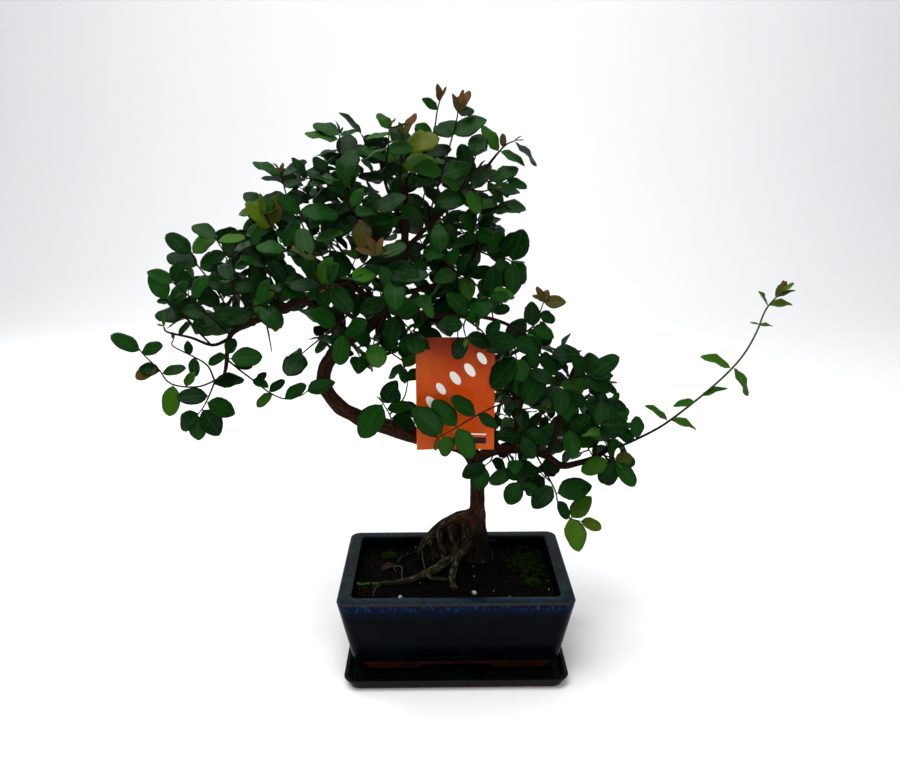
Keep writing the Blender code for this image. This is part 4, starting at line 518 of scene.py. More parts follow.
        stem([(-7.6, 7.4, 34.7), (-5.4, 8.4, 34.0), (-4.0, 8.6, 34.2)], pairs=2, leaf=2.6),
        stem([(-7.9, 4.6, 32.8), (-9.6, 5.0, 31.6), (-11.4, 5.2, 31.4)], pairs=2, leaf=2.7)],
    "spray_front_left": [
        stem([(-7.4, 1.9, 29.5), (-8.4, -0.8, 30.8), (-9.4, -3.2, 32.2), (-10.0, -5.0, 33.8)],
            radii=(0.26, 0.10)),
        stem([(-9.9, -4.7, 33.5), (-10.8, -5.4, 34.8), (-11.2, -5.8, 36.2)], pairs=2, leaf=2.8),
        stem([(-10.4, -5.1, 34.2), (-9.0, -6.2, 34.2), (-7.8, -6.6, 34.8)], pairs=2, leaf=2.7),
        stem([(-8.7, -1.6, 31.2), (-10.0, -3.0, 30.2), (-11.4, -3.6, 29.2), (-12.4, -3.8, 28.4)], pairs=2,
            leaf=2.8),
        stem([(-9.6, -2.6, 30.5), (-8.4, -3.8, 29.4), (-7.6, -4.2, 28.2)], pairs=2, leaf=2.8)],
    "spray_front_mid": [
        stem([(-5.0, 2.0, 32.8), (-5.2, -0.4, 33.4), (-5.4, -2.8, 34.0), (-5.6, -4.6, 35.0)],
            radii=(0.20, 0.09)),
        stem([(-5.6, -4.3, 34.8), (-5.9, -5.0, 35.8), (-6.0, -5.2, 36.4)], [(1.0, 120, 1.8), (1.0, 75, 1.5),
            (0.95, 22, 2.4), (0.60, -60, 2.2), (0.30, -6, 2.9), (0.35, 190, 2.6)]),
        stem([(-5.7, -4.5, 35.1), (-4.2, -5.2, 34.2), (-3.0, -5.6, 33.2)], pairs=2, leaf=2.7),
        stem([(-5.3, -1.2, 33.5), (-5.6, -3.0, 31.8), (-6.2, -4.0, 30.4), (-6.6, -4.4, 29.2)], pairs=2,
            leaf=2.8),
        stem([(-5.6, -2.8, 32.0), (-4.2, -3.8, 31.0), (-3.2, -4.2, 29.8)], pairs=2, leaf=2.7)],
    "spray_label_limb": [
        stem([(-5.9, 2.0, 31.0), (-3.6, 0.4, 30.9), (-1.0, -1.4, 31.0), (1.6, -1.8, 31.1),
            (4.0, -1.2, 30.4), (6.0, -0.4, 29.2)], radii=(0.26, 0.12)),
        stem([(5.8, -0.5, 29.4), (6.6, -0.1, 29.9), (7.1, 0.2, 30.8), (7.5, 0.4, 31.9)], [(1.0, 112, 1.5),
            (1.0, 70, 1.2), (1.0, 4, 1.9), (0.62, 148, 1.4), (0.62, -12, 1.8), (0.30, 96, 2.2),
            (0.28, -24, 2.2)]),
        stem([(4.4, -1.1, 30.2), (4.8, -2.2, 28.8), (5.0, -2.6, 27.6)], [(0.95, 236, 3.2), (0.60, 185, 2.4),
            (0.50, -20, 2.4), (1.0, -70, 2.4)]),
        stem([(1.4, -1.8, 31.1), (1.0, -3.4, 31.4), (0.6, -4.4, 30.8), (0.8, -4.8, 29.8)],
            [(1.0, -120, 2.2), (0.95, -20, 2.4), (0.70, 175, 2.2), (0.60, 40, 2.6), (0.35, 130, 2.6)]),
        stem([(0.9, -3.8, 31.2), (2.0, -4.4, 30.4), (2.6, -4.6, 29.6)], [(1.0, 65, 1.8), (0.9, -15, 2.8),
            (0.5, 110, 2.2)])],
    "spray_right_inner": [
        stem([(5.4, 1.8, 18.2), (5.6, 2.2, 20.5), (6.2, 2.6, 23.0), (6.6, 2.6, 25.5), (6.8, 2.4, 27.5)],
            radii=(0.26, 0.12)),
        stem([(6.7, 2.4, 27.0), (7.6, 1.6, 27.1), (8.4, 1.3, 27.0)], [(1.0, 6, 2.6), (0.60, 150, 2.2),
            (0.50, -50, 2.4), (0.30, 100, 2.2)]),
        stem([(6.6, 2.6, 25.7), (7.0, 0.6, 26.0), (8.0, -0.6, 25.5), (9.0, -0.9, 24.8)], [(0.55, 246, 3.2),
            (0.98, -82, 2.9), (1.0, -8, 1.6), (0.88, 158, 2.4), (0.45, 110, 2.2)]),
        stem([(5.6, 2.1, 20.0), (6.4, 0.4, 20.6), (7.2, -0.6, 21.6), (7.6, -1.0, 22.8)], pairs=2, leaf=2.6),
        stem([(6.2, 0.8, 20.5), (5.4, -0.8, 19.6), (5.2, -1.6, 18.4)], pairs=2, leaf=2.7),
        stem([(6.2, 2.6, 23.0), (7.2, 4.2, 23.6), (8.4, 5.0, 24.4)], pairs=2, leaf=2.6),
        stem([(6.9, 3.7, 23.4), (5.6, 4.8, 24.2), (4.8, 5.4, 25.4)], pairs=2, leaf=2.5),
        stem([(6.0, 2.5, 22.4), (5.5, -0.3, 23.4), (4.7, -2.6, 24.0), (3.3, -3.5, 23.9), (1.65, -3.9, 23.2),
            (0.1, -4.1, 22.3), (-1.4, -4.3, 21.5)], [(0.72, 140, 2.7), (0.865, 134, 3.0), (0.71, -30, 2.0),
            (0.865, -63, 2.8), (1.0, -78, 2.3), (1.0, 136, 3.4)])],
    "spray_right_riser_tip": [
        stem([(10.2, 1.4, 25.0), (11.0, 0.8, 25.2), (11.8, 0.6, 25.4)], [(1.0, 40, 3.0), (0.70, -40, 2.6),
            (0.60, 120, 2.4), (0.90, -10, 2.2)])],
    "spray_right_riser_mid": [
        stem([(9.7, 1.3, 23.2), (11.2, 0.6, 22.8), (12.8, 0.6, 23.0), (14.0, 0.8, 23.0)], [(1.0, -35, 1.6),
            (0.98, 60, 0.9), (0.75, 100, 1.8), (0.70, -45, 2.4), (0.45, 150, 2.4), (0.40, -20, 2.8)]),
        stem([(11.0, 0.6, 22.9), (12.2, 1.0, 24.0), (13.2, 1.2, 24.6)], [(1.0, 60, 0.9), (1.0, -30, 1.5),
            (0.6, -60, 2.0)])],
    "spray_right_riser_low": [
        stem([(9.2, 1.2, 21.0), (10.4, -0.2, 20.6), (11.8, -0.8, 20.6), (12.6, -1.0, 21.4)], pairs=3,
            leaf=2.5)],
    "long_shoot": [
        stem([(8.3, 1.3, 17.7), (9.6, 1.1, 16.9), (11.0, 1.1, 17.1), (12.6, 1.2, 17.6), (13.8, 1.2, 18.4)],
            radii=(0.27, 0.15)),
        stem([(13.6, 1.2, 18.3), (15.0, 1.3, 18.7), (16.6, 1.4, 19.4), (18.6, 1.5, 20.5), (20.6, 1.5, 22.1),
            (22.4, 1.5, 23.7), (24.0, 1.5, 25.3), (25.3, 1.5, 27.0), (26.2, 1.5, 28.9), (26.7, 1.5, 30.6),
            (27.2, 1.5, 31.5), (28.0, 1.5, 32.4)], [(0.14, 96, 2.2), (0.13, 150, 2.3), (0.29, 140, 2.8),
            (0.30, -20, 3.0), (0.43, 183, 2.2), (0.46, 25, 2.4), (0.63, 156, 3.0), (0.64, -52, 3.2),
            (0.84, -4, 1.6), (0.845, 168, 0.8), (0.925, 128, 2.0), (0.93, 2, 2.5), (1.0, 62, 1.7),
            (1.0, 32, 1.7)]),
        stem([(12.5, 1.2, 17.6), (12.9, 1.6, 19.4), (13.4, 1.8, 21.0)], [(1.0, 20, 2.6), (0.90, 140, 2.2),
            (0.60, 10, 2.4), (0.55, 170, 2.4)]),
        stem([(13.3, 1.2, 18.0), (13.6, 0.0, 17.8), (14.2, -0.6, 17.8)], [(1.0, -50, 2.6),
            (0.95, -120, 2.5), (0.60, 200, 2.6), (0.90, 10, 1.9), (0.50, -80, 2.8)])],
    "spray_low_right": [
        stem([(7.2, 1.5, 18.0), (8.1, 0.2, 16.6), (9.0, 0.2, 14.8), (9.3, 0.2, 13.6), (10.0, 0.2, 12.6),
            (10.6, 0.2, 12.1), (11.6, 0.2, 11.8)], [(0.42, 222, 2.7), (0.52, 12, 3.4), (0.60, -58, 2.0),
            (0.86, 48, 2.7), (0.84, -72, 3.2), (1.0, -20, 2.2), (0.15, 10, 2.6)])],
    "spray_low_middle": [
        stem([(4.6, 1.9, 18.1), (5.0, 0.2, 17.2), (5.4, -0.3, 16.4), (5.9, -0.4, 15.7)], [(0.90, -112, 2.6),
            (1.0, -20, 1.8), (0.60, 205, 2.4), (0.50, -15, 2.6)])],
    "spray_trunk_front": [
        stem([(3.6, 2.1, 17.9), (3.2, 0.6, 17.6), (2.6, -0.2, 17.4)], [(1.0, -105, 2.6), (0.9, 200, 2.4),
            (0.6, -40, 2.2)])],
    "spray_trunk_bend": [
        stem([(-5.6, 2.1, 20.2), (-5.6, 0.4, 21.8), (-6.2, -0.6, 23.4)], [(1.0, 232, 3.5), (0.80, 10, 2.4),
            (1.0, 60, 2.4), (0.50, -20, 2.4)]),
        stem([(-5.6, 0.2, 22.0), (-4.4, 0.0, 23.6), (-4.0, 0.0, 25.2)], pairs=2, leaf=2.3)],
}


def curvePoint(before, start, end, after, t):
    # a Catmull-Rom step from start to end
    return 0.5 * (2 * start + (end - before) * t + (2 * before - 5 * start + 4 * end - after) * t * t
                  + (3 * start - before - 3 * end + after) * t * t * t)


def smoothPath(points, steps):
    # a smooth curve through the points, radius included
    padded = [points[0] * 2 - points[1], *points, points[-1] * 2 - points[-2]]
    path = []
    for index in range(1, len(padded) - 2):
        path += [curvePoint(*padded[index - 1:index + 3], step / steps) for step in range(steps)]
    return [*path, points[-1].copy()]


def taperedPath(points, radii):
    last = len(points) - 1
    return [Vector((*point, radii[0] + (radii[1] - radii[0]) * index / last))
            for index, point in enumerate(points)]


def nearestOn(paths, point):
    best = None
    for path in paths:
        for start, end in zip(path, path[1:]):
            run = end.xyz - start.xyz
            share = max(0.0, min(1.0, (point - start.xyz).dot(run) / max(run.length_squared, 1e-9)))
            place = start.xyz + run * share
            distance = (place - point).length
            if best is None or distance < best[0]:
                best = (distance, place)
    return best[1]


def alongPath(path, share):
    lengths = [(end.xyz - start.xyz).length for start, end in zip(path, path[1:])]
    left = share * sum(lengths)
    for index, length in enumerate(lengths):
        if left <= length or index == len(lengths) - 1:
            start, end = path[index].xyz, path[index + 1].xyz
            return start.lerp(end, min(1.0, left / length)), (end - start).normalized()
        left -= length


def woodPaths():
    # the trunk first, then each limb and root, snapped to what it grows from
    paths = {"trunk": smoothPath([Vector(point) for point in trunkPath], 2)}
    for group, prefix in ((limbs, "limb_"), (roots, "root_")):
        for name, (startRadius, endRadius, points) in group.items():
            points = [Vector(point) for point in points]
            points[0] = nearestOn(list(paths.values()), points[0])
            paths[prefix + name] = taperedPath(points, (startRadius, endRadius))
    return paths


def sprayPaths(wood):
    made = {}
    for name, stems in sprays.items():
        paths = []
        for shoot in stems:
            points = [Vector(point) for point in shoot["path"]]
            points[0] = nearestOn(paths or wood, points[0])
            paths.append(taperedPath(points, shoot["radii"]))
        made[name] = paths
    return made


def headingVector(heading, depth):
    return Vector((math.cos(heading) * math.cos(depth), -math.sin(depth),
                   math.sin(heading) * math.cos(depth)))


def wantedLeaves(shoot, path, dice):
    # (share, base, direction, length) of each leaf that a shoot bears
    found = []
    for share, heading, length in shoot["leaves"]:
        share = min(share, growth["lastShare"])
        base, _ = alongPath(path, share)
        depth = math.radians(dice.uniform(-growth["depthTurn"], growth["depthTurn"]))
        direction = headingVector(math.radians(heading), depth)
        found.append((share, base + direction * growth["baseOffset"], direction, length))
    pairs = shoot["pairs"]
    for pair in range(pairs):
        share = growth["firstPair"] + (growth["lastShare"] - growth["firstPair"]) * pair / max(1, pairs - 1)
        base, forward = alongPath(path, share)
        across = forward.cross(Vector((0, 1, 0))).normalized()
        turn = dice.uniform(-growth["pairTurnSpread"], growth["pairTurnSpread"])
        across.rotate(Quaternion(forward, math.radians(turn + growth["pairTurn"] * (pair % 2))))
        spread = math.radians(dice.uniform(*growth["pairSpread"]))
        for way in (-1, 1):
            direction = spreadFrom(forward, across, spread, way)
            length = shoot["leaf"] * dice.uniform(*growth["lengthSpread"])
            found.append((share, base + direction * growth["baseOffset"], direction, length))
    return found


def facing(base, direction, sky=None):
    # a blade's upper face turns out from the crown's middle low down, and up at the top
    outward = -1.0 if base.y < growth["backFacing"] else 1.0
    share = min(1.0, max(0.0, (base.z - growth["topFrom"]) / (growth["topAt"] - growth["topFrom"])))
    tilt = growth["lowTilt"] + (growth["topTilt"] - growth["lowTilt"]) * share
    if base.x > growth["armX"]:
        tilt = growth["armTilt"]
    if sky is not None:
        tilt = sky
    light = Vector((0.0, outward * tilt, growth["rise"]))
    return (light - direction * light.dot(direction)).normalized()


def leafOf(spray, stem, index, share, leaf, size, path, **more):
    return {"spray": spray, "stem": stem, "index": index, "share": share, "leaf": leaf, "size": size,
            "path": path, "fine": smoothPath(path, growth["steps"]), **more}


def spreadFrom(forward, across, spread, way):
    return (forward * math.cos(spread) + across * (way * math.sin(spread))).normalized()


def leafFrame(base, forward, normal):
    side = forward.cross(normal).normalized()
    return base, forward, side, side.cross(forward).normalized()


def leafCorners(leaf, length):
    # the corners of the frame's simpler blade, in centimetres
    base, forward, side, up = leaf
    width = length * growth["widthShare"]
    fold = length * growth["fold"]
    sag = length * growth["sag"]
    half = growth["thickness"] / 2
    rows = ((0.38, 0.43 * width, fold), (0.38, -0.43 * width, fold),
            (0.74, 0.40 * width, fold - sag / 2), (0.74, -0.40 * width, fold - sag / 2),
            (1.0, 0, -sag), (0.30, 0, half), (0.30, 0, -half))
    return [base + forward * (length * share) + side * across + up * height
            for share, across, height in rows]


def turnedLeaf(base, direction, trial, roll, sky=None):
    _, lift, turn, _ = trial
    forward = direction.copy()
    normal = facing(base, forward, sky)
    forward.rotate(Quaternion(forward.cross(normal).normalized(), math.radians(lift)))
    forward.rotate(Quaternion(normal, math.radians(turn)))
    normal = facing(base, forward, sky)
    normal.rotate(Quaternion(forward, math.radians(roll)))
    return leafFrame(base, forward, normal)


def nodeTree(name):
    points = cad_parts[name].data.vertices
    tree = kdtree.KDTree(len(points))
    for index, vertex in enumerate(points):
        tree.insert(vertex.co, index)
    tree.balance()
    return tree


def growLeaves(paths):
    # every leaf as the frame's solid has it, found again by the corners it left in the node
    leaves = []
    missing = 0
    for name, stems in sprays.items():
        dice = random.Random(name + str(growth["seed"]))
        tree = nodeTree(name)
        for stemIndex, (shoot, path) in enumerate(zip(stems, paths[name])):
            for index, (share, base, direction, length) in enumerate(wantedLeaves(shoot, path, dice)):
                for trial in trials:
                    roll = trial[0] + dice.uniform(-growth["rollSpread"], growth["rollSpread"])
                    leaf = turnedLeaf(base, direction, trial, roll)
                    size = length * trial[3]
                    hits = sum(tree.find(corner * cm)[2] < growth["match"]
                               for corner in leafCorners(leaf, size))
                    if hits >= growth["hits"]:
                        break
                else:
                    missing += 1
                    continue
                leaves.append(leafOf(name, stemIndex, index, share, leaf, size, path))
    print("leaves found", len(leaves), "not found", missing)
    return leaves


growth = {
    "seed": 7, "steps": 5, "topFrom": 36.0, "topAt": 45.0, "widthShare": 0.62, "thickness": 0.10,
    "fold": 0.05, "sag": 0.06, "rollSpread": 12,
    "depthTurn": 22, "pairTurn": 80, "pairTurnSpread": 25, "pairSpread": (48, 66),
    "lengthSpread": (0.82, 1.08), "baseOffset": 0.02, "firstPair": 0.30, "lastShare": 0.97,
    "backFacing": 3.2, "match": 3e-5, "hits": 3, "rise": 0.93, "lowTilt": 1.0, "topTilt": 0.3, "armX": 17.0,
    "armTilt": 0.12,
}


# tubes that follow paths


def pathMesh(name, paths, steps, extra):
    # edges along each smoothed path, with the half thickness kept on every point
    points = []
    edges = []
    girths = []
    for path in paths:
        fine = smoothPath(path, steps)
        first = len(points)
        points.extend(point.xyz * cm for point in fine)
        girths.extend((point.w + extra) * cm for point in fine)
        edges.extend((first + index, first + index + 1) for index in range(len(fine) - 1))
    mesh = bpy.data.meshes.new(name)
    mesh.from_pydata(points, edges, [])
    storeOn(mesh, "girth", "FLOAT", girths)
    return linked(name, mesh)


def tubeTree():
    tree, start, end = geometryTree("tubesAlongPaths", [
        ("Sides", "NodeSocketInt", 8), ("Finish", "NodeSocketMaterial", None)])
    curve = addNode(tree, "GeometryNodeMeshToCurve", {"Mesh": start["Geometry"]}).outputs[0]
    girth = namedValue(tree, "girth")
    length = addNode(tree, "GeometryNodeSplineParameter").outputs["Length"]
    curve = keepAs(tree, curve, "run", length)
    curve = addNode(tree, "GeometryNodeSetCurveRadius", {"Curve": curve, "Radius": girth}).outputs[0]
    ring = addNode(tree, "GeometryNodeCurvePrimitiveCircle", {"Resolution": start["Sides"], "Radius": 1.0})
    ring = keepAs(tree, ring.outputs[0], "around", placeOf(tree), "FLOAT_VECTOR")
    radius = addNode(tree, "GeometryNodeInputRadius").outputs[0]
    sweep = addNode(tree, "GeometryNodeCurveToMesh", {
        "Curve": curve, "Profile Curve": ring, "Scale": radius, "Fill Caps": True})
    return finishTree(tree, sweep.outputs[0], start, end)


# the wood

wood = {
    "sides": 20, "voxel": 0.00084, "smoothing": 3, "spareGirth": 0.012,
    "ridgeHeight": 0.0009, "ridgeSize": 300, "lumpHeight": 0.0013, "lumpSize": 70,
    "thinBelow": 0.10, "twigSides": 7, "twigPlace": 0.7,
    "red": (0.022, 0.0068, 0.0034), "dark": (0.0032, 0.0014, 0.0009), "pale": (0.052, 0.024, 0.014),
    "rootPaleHighlight": (0.112, 0.104, 0.064), "rootOlive": (0.0120, 0.0115, 0.0038),
    "rootShade": (0.0014, 0.0011, 0.0007),
    "rootsBelow": (0.105, 0.153), "scar": (0.0120, 0.0165, 0.1100), "flare": (0.0270, 0.0180, 0.0870),
    "flareShadow": (0.0042, 0.0028, 0.0014), "shoot": (0.045, 0.062, 0.012), "armGirth": 1.35,
    "limb": (0.0050, 0.0030, 0.0020), "brown": (0.042, 0.0165, 0.0095), "patch": (0.022, 0.0115, 0.0075),
    "rootBrown": (0.012, 0.0095, 0.0055), "fleck": (0.070, 0.055, 0.040), "scarRed": (0.060, 0.018, 0.008),
    "runScale": 0.28, "fullGirth": 0.006,
}


def barkMaterial():
    material, tree = newMaterial("bark")
    coords = objectPlace(tree)
    grain = addNode(tree, "ShaderNodeAttribute", attribute_name="barkPlace").outputs["Vector"]
    streaks = noiseOf(tree, grain, 420, 6, 0.62)
    patches = noiseOf(tree, coords, 95, 5, 0.6)
    flecks = noiseOf(tree, coords, 900, 3, 0.6)
    upper = rampOf(tree, streaks, [(0.30, wood["dark"]), (0.46, wood["red"]), (0.60, wood["brown"]),
                                   (0.74, wood["pale"])])
    upper = painted(tree, upper, wood["patch"], patches, 0.50, 0.72)
    height = axisOf(tree, coords, "Z")
    reach = axisOf(tree, coords, "X")
    outer = math2(tree, "MAXIMUM", rangeOf(tree, height, 0.20, 0.30), rangeOf(tree, reach, 0.045, 0.075))
    upper = mixOf(tree, times(tree, outer, 0.62), upper, wood["limb"])
    # the roots' own streaky tone, whose darkest streaks are painted shade in the gaps and whose palest are
    # painted highlights
    lower = rampOf(tree, streaks, [(0.40, wood["rootShade"]), (0.50, wood["rootBrown"]),
                                   (0.67, wood["rootPaleHighlight"])])
    lower = painted(tree, lower, wood["rootOlive"], patches, 0.44, 0.60, 0.85)
    ragged = math2(tree, "MULTIPLY_ADD", patches, 0.05, height)
    colour = mixOf(tree, rangeOf(tree, ragged, *wood["rootsBelow"]), lower, upper)
    colour = painted(tree, colour, wood["fleck"], flecks, 0.62, 0.78, 0.5)
    knot, near = (addNode(tree, "ShaderNodeVectorMath", {0: coords, 1: wood[spot]},
                          operation="DISTANCE").outputs["Value"] for spot in ("scar", "flare"))
    worn = times(tree, rangeOf(tree, knot, 0.003, 0.009, 1, 0), rangeOf(tree, patches, 0.30, 0.44))
    colour = mixOf(tree, worn, colour, wood["scarRed"])
    # painted shadow on the trunk's base, darkest round the flare point
    colour = mixOf(tree, rangeOf(tree, near, 0.011, 0.023, 0.9, 0), colour, wood["flareShadow"])
    # painted shade on the low roots at the back, behind the curtain roots
    depth = rangeOf(tree, axisOf(tree, coords, "Y"), 0.026, 0.034)
    backShade = times(tree, depth, rangeOf(tree, height, 0.118, 0.096))
    colour = mixOf(tree, times(tree, backShade, 0.92), colour, wood["rootShade"])
    colour = painted(tree, colour, wood["shoot"], reach, 0.170, 0.235)
    coarse = bumpOf(tree, streaks, 0.7, 0.0016)
    return finishLook(material, {
        "Base Color": colour, "Roughness": rangeOf(tree, streaks, 0.3, 0.75, 0.62, 0.92),
        "Specular IOR Level": 0.04, "Normal": bumpOf(tree, flecks, 0.45, 0.0005, coarse)})


def barkTree():
    # displaces a merged body by ridges that follow each limb
    tree, start, end = geometryTree("barkRidges", [
        ("Tubes", "NodeSocketObject", None), ("Ridge Height", "NodeSocketFloat", 0.001),
        ("Ridge Size", "NodeSocketFloat", 300.0), ("Lump Height", "NodeSocketFloat", 0.001),
        ("Lump Size", "NodeSocketFloat", 60.0), ("Finish", "NodeSocketMaterial", None)])
    tubes = addNode(tree, "GeometryNodeObjectInfo", {"Object": start["Tubes"]}).outputs["Geometry"]
    spot = namedValue(tree, "barkPlace", "FLOAT_VECTOR")
    thick = namedValue(tree, "girth")
    nearest = [addNode(tree, "GeometryNodeSampleNearestSurface", {"Mesh": tubes, "Value": value},
                       data_type=kind).outputs["Value"]
               for value, kind in ((spot, "FLOAT_VECTOR"), (thick, "FLOAT"))]
    body = keepAs(tree, start["Geometry"], "barkPlace", nearest[0], "FLOAT_VECTOR")
    body = keepAs(tree, body, "girth", nearest[1])
    spot = namedValue(tree, "barkPlace", "FLOAT_VECTOR")
    thick = namedValue(tree, "girth")
    ridges = addNode(tree, "ShaderNodeTexNoise",
                     {"Vector": spot, "Scale": start["Ridge Size"], "Detail": 3.0})
    ridge = math2(tree, "SUBTRACT", ridges.outputs[0], 0.5)
    lumps = addNode(tree, "ShaderNodeTexNoise", {"Scale": start["Lump Size"], "Detail": 2.0})
    lump = math2(tree, "SUBTRACT", lumps.outputs[0], 0.5)
    share = math2(tree, "MINIMUM", math2(tree, "DIVIDE", thick, wood["fullGirth"]), 1.0)
    rise = math2(tree, "ADD", times(tree, ridge, start["Ridge Height"]),
                 times(tree, lump, start["Lump Height"]))
    rise = times(tree, times(tree, rise, 2.0), share)
    normal = addNode(tree, "GeometryNodeInputNormal").outputs[0]
    shift = scaled(tree, normal, rise)
    moved = addNode(tree, "GeometryNodeSetPosition", {"Geometry": body, "Offset": shift}).outputs[0]
    return finishTree(tree, moved, start, end)


def addBarkPlace(mesh, seed):
    # a texture place that runs slowly along each tube and fast round it
    count = len(mesh.vertices)
    around, run, girth = [0.0] * (count * 3), [0.0] * count, [0.0] * count
    for name, key, values in (("around", "vector", around), ("run", "value", run),
                              ("girth", "value", girth)):
        mesh.attributes[name].data.foreach_get(key, values)
    spots = []
    for index, wide in enumerate(girth):
        spots += [around[index * 3] * wide, around[index * 3 + 1] * wide,
                  run[index] * wood["runScale"] + seed]
    storeOn(mesh, "barkPlace", "FLOAT_VECTOR", spots)


def tubesAlong(name, paths, tubes, finish, steps, sides, seed=None, extra=0.0):
    piece = useTree(pathMesh(name, paths, steps, extra), tubes, {"Sides": sides, "Finish": finish})
    if seed is not None:
        addBarkPlace(piece.data, seed)
    return piece


def buildWood(paths, tubes, bark):
    thin = [name for name in paths if paths[name][-1].w < wood["thinBelow"]]
    thick = [path for name, path in paths.items() if name not in thin]
    guide = tubesAlong("woodGuide", thick, tubes, bark, 4, wood["sides"], 0.0, wood["spareGirth"])
    body = linked("treeWood", guide.data.copy())
    merge = body.modifiers.new("merge", "REMESH")
    merge.mode = "VOXEL"
    merge.voxel_size = wood["voxel"]
    smooth = body.modifiers.new("smooth", "SMOOTH")
    smooth.iterations = wood["smoothing"]
    body = plainMesh(body)
    body = useTree(body, barkTree(), {
        "Tubes": guide, "Ridge Height": wood["ridgeHeight"], "Ridge Size": wood["ridgeSize"],
        "Lump Height": wood["lumpHeight"], "Lump Size": wood["lumpSize"], "Finish": bark})
    bpy.data.objects.remove(guide)
    fine = tubesAlong("fineRoots", [paths[name] for name in thin], tubes, bark, 6, 12, 0.3)
    seat(body, ["trunk"])
    seat(fine, [])
    print("wood", len(body.data.polygons), "faces")


def buildTwigs(paths, tubes, bark):
    for name, stems in paths.items():
        if name == "long_shoot":
            stems = [[Vector((*point.xyz, point.w * wood["armGirth"])) for point in stem] for stem in stems]
        twigs = tubesAlong(name.replace("spray_", "twigs_"), stems, tubes, bark, growth["steps"],
                           wood["twigSides"], wood["twigPlace"])
        seat(twigs, [name])
    print("twigs done")


# the leaves

leafLooks = {
    "around": 8, "rows": 10, "thickness": 0.011, "seed": 4,
    "variants": [
        {"width": 0.62, "fold": 0.22, "sag": 0.10, "wave": 0.022, "twist": 0.10, "blunt": 0.0},
        {"width": 0.68, "fold": 0.06, "sag": 0.13, "wave": 0.030, "twist": -0.10, "blunt": 0.5},
        {"width": 0.57, "fold": 0.14, "sag": 0.04, "wave": 0.016, "twist": 0.0, "blunt": 0.7},
        {"width": 0.66, "fold": 0.30, "sag": 0.06, "wave": 0.026, "twist": 0.14, "blunt": 0.2},
    ],
    "pointed": [(0.0, 0.0), (0.015, 0.05), (0.06, 0.07), (0.13, 0.46), (0.24, 0.82), (0.40, 1.0),
                (0.58, 0.97), (0.74, 0.79), (0.88, 0.48), (0.96, 0.22), (1.0, 0.0)],
    "rounded": [(0.0, 0.0), (0.015, 0.05), (0.06, 0.07), (0.13, 0.44), (0.25, 0.80), (0.42, 1.0),
                (0.62, 1.0), (0.80, 0.86), (0.92, 0.58), (0.98, 0.30), (1.0, 0.0)],
    "ramp": [(0.00, (0.135, 0.040, 0.018)), (0.14, (0.095, 0.048, 0.010)), (0.26, (0.030, 0.050, 0.004)),
             (0.33, (0.0012, 0.0130, 0.0010)), (0.43, (0.0026, 0.0250, 0.0018)),
             (0.56, (0.0066, 0.0500, 0.0030)), (0.68, (0.0220, 0.0900, 0.0030)),
             (0.84, (0.046, 0.115, 0.004)), (1.00, (0.085, 0.105, 0.004))],
    "fresh": (0.030, 0.048, 0.006), "shaded": (0.0008, 0.0080, 0.0012), "mottled": (0.0085, 0.0480, 0.0080),
    "rib": (0.016, 0.034, 0.010), "below": (0.026, 0.055, 0.020), "stalk": 0.05,
}


def curveOf(tree, value, points):
    made = addNode(tree, "ShaderNodeFloatCurve", {"Value": value})
    curve = made.mapping.curves[0]
    for index, (x, y) in enumerate(points):
        if index < 2:
            curve.points[index].location = (x, y)
        else:
            curve.points.new(x, y)
    made.mapping.update()
    return made.outputs[0]


def bladeNodes(tree, start, looks):
    # a closed blade one unit long, along +Y with its upper face up
    grid = addNode(tree, "GeometryNodeMeshGrid", {
        "Size X": 1.0, "Size Y": 1.0, "Vertices X": start["Around"], "Vertices Y": start["Rows"]})
    angle = times(tree, math2(tree, "ADD", axisOf(tree, placeOf(tree), "X"), 0.5), math.tau)
    even = math2(tree, "ADD", axisOf(tree, placeOf(tree), "Y"), 0.5)
    waved = times(tree, math2(tree, "SINE", times(tree, even, math.tau)), -0.085)
    along = math2(tree, "ADD", even, waved)
    across = math2(tree, "COSINE", angle)
    high = math2(tree, "SINE", angle)
    pointed = curveOf(tree, along, leafLooks["pointed"])
    rounded = curveOf(tree, along, leafLooks["rounded"])
    outline = addNode(tree, "ShaderNodeMix", {0: looks["blunt"], 2: pointed, 3: rounded}).outputs[0]
    x = times(tree, times(tree, across, outline), looks["width"] / 2)
    away = math2(tree, "ABSOLUTE", x)
    body = times(tree, math2(tree, "POWER", outline, 0.5), start["Thickness"])
    z = times(tree, high, body)
    z = math2(tree, "MULTIPLY_ADD", away, looks["fold"], z)
    z = math2(tree, "SUBTRACT", z, times(tree, math2(tree, "POWER", along, 2.0), looks["sag"]))
    ripple = math2(tree, "SINE", math2(tree, "MULTIPLY_ADD", along, 11.0, looks["width"] * 40))
    lift = times(tree, times(tree, away, ripple), looks["wave"] * 5)
    z = math2(tree, "ADD", z, lift)
    z = math2(tree, "ADD", z, times(tree, times(tree, x, along), looks["twist"]))
    mesh = keepAs(tree, grid.outputs[0], "along", along)
    mesh = keepAs(tree, mesh, "across", across)
    under = math2(tree, "LESS_THAN", high, -0.1)
    mesh = keepAs(tree, mesh, "under", under)
    spot = addNode(tree, "ShaderNodeCombineXYZ", {"X": x, "Y": along, "Z": z}).outputs[0]
    mesh = addNode(tree, "GeometryNodeSetPosition", {"Geometry": mesh, "Position": spot}).outputs[0]
    mesh = addNode(tree, "GeometryNodeMergeByDistance", {"Geometry": mesh, "Distance": 0.0005}).outputs[0]
    mesh = addNode(tree, "GeometryNodeFlipFaces", {"Mesh": mesh}).outputs[0]
    return addNode(tree, "GeometryNodeGeometryToInstance", {"Geometry": mesh}).outputs[0]


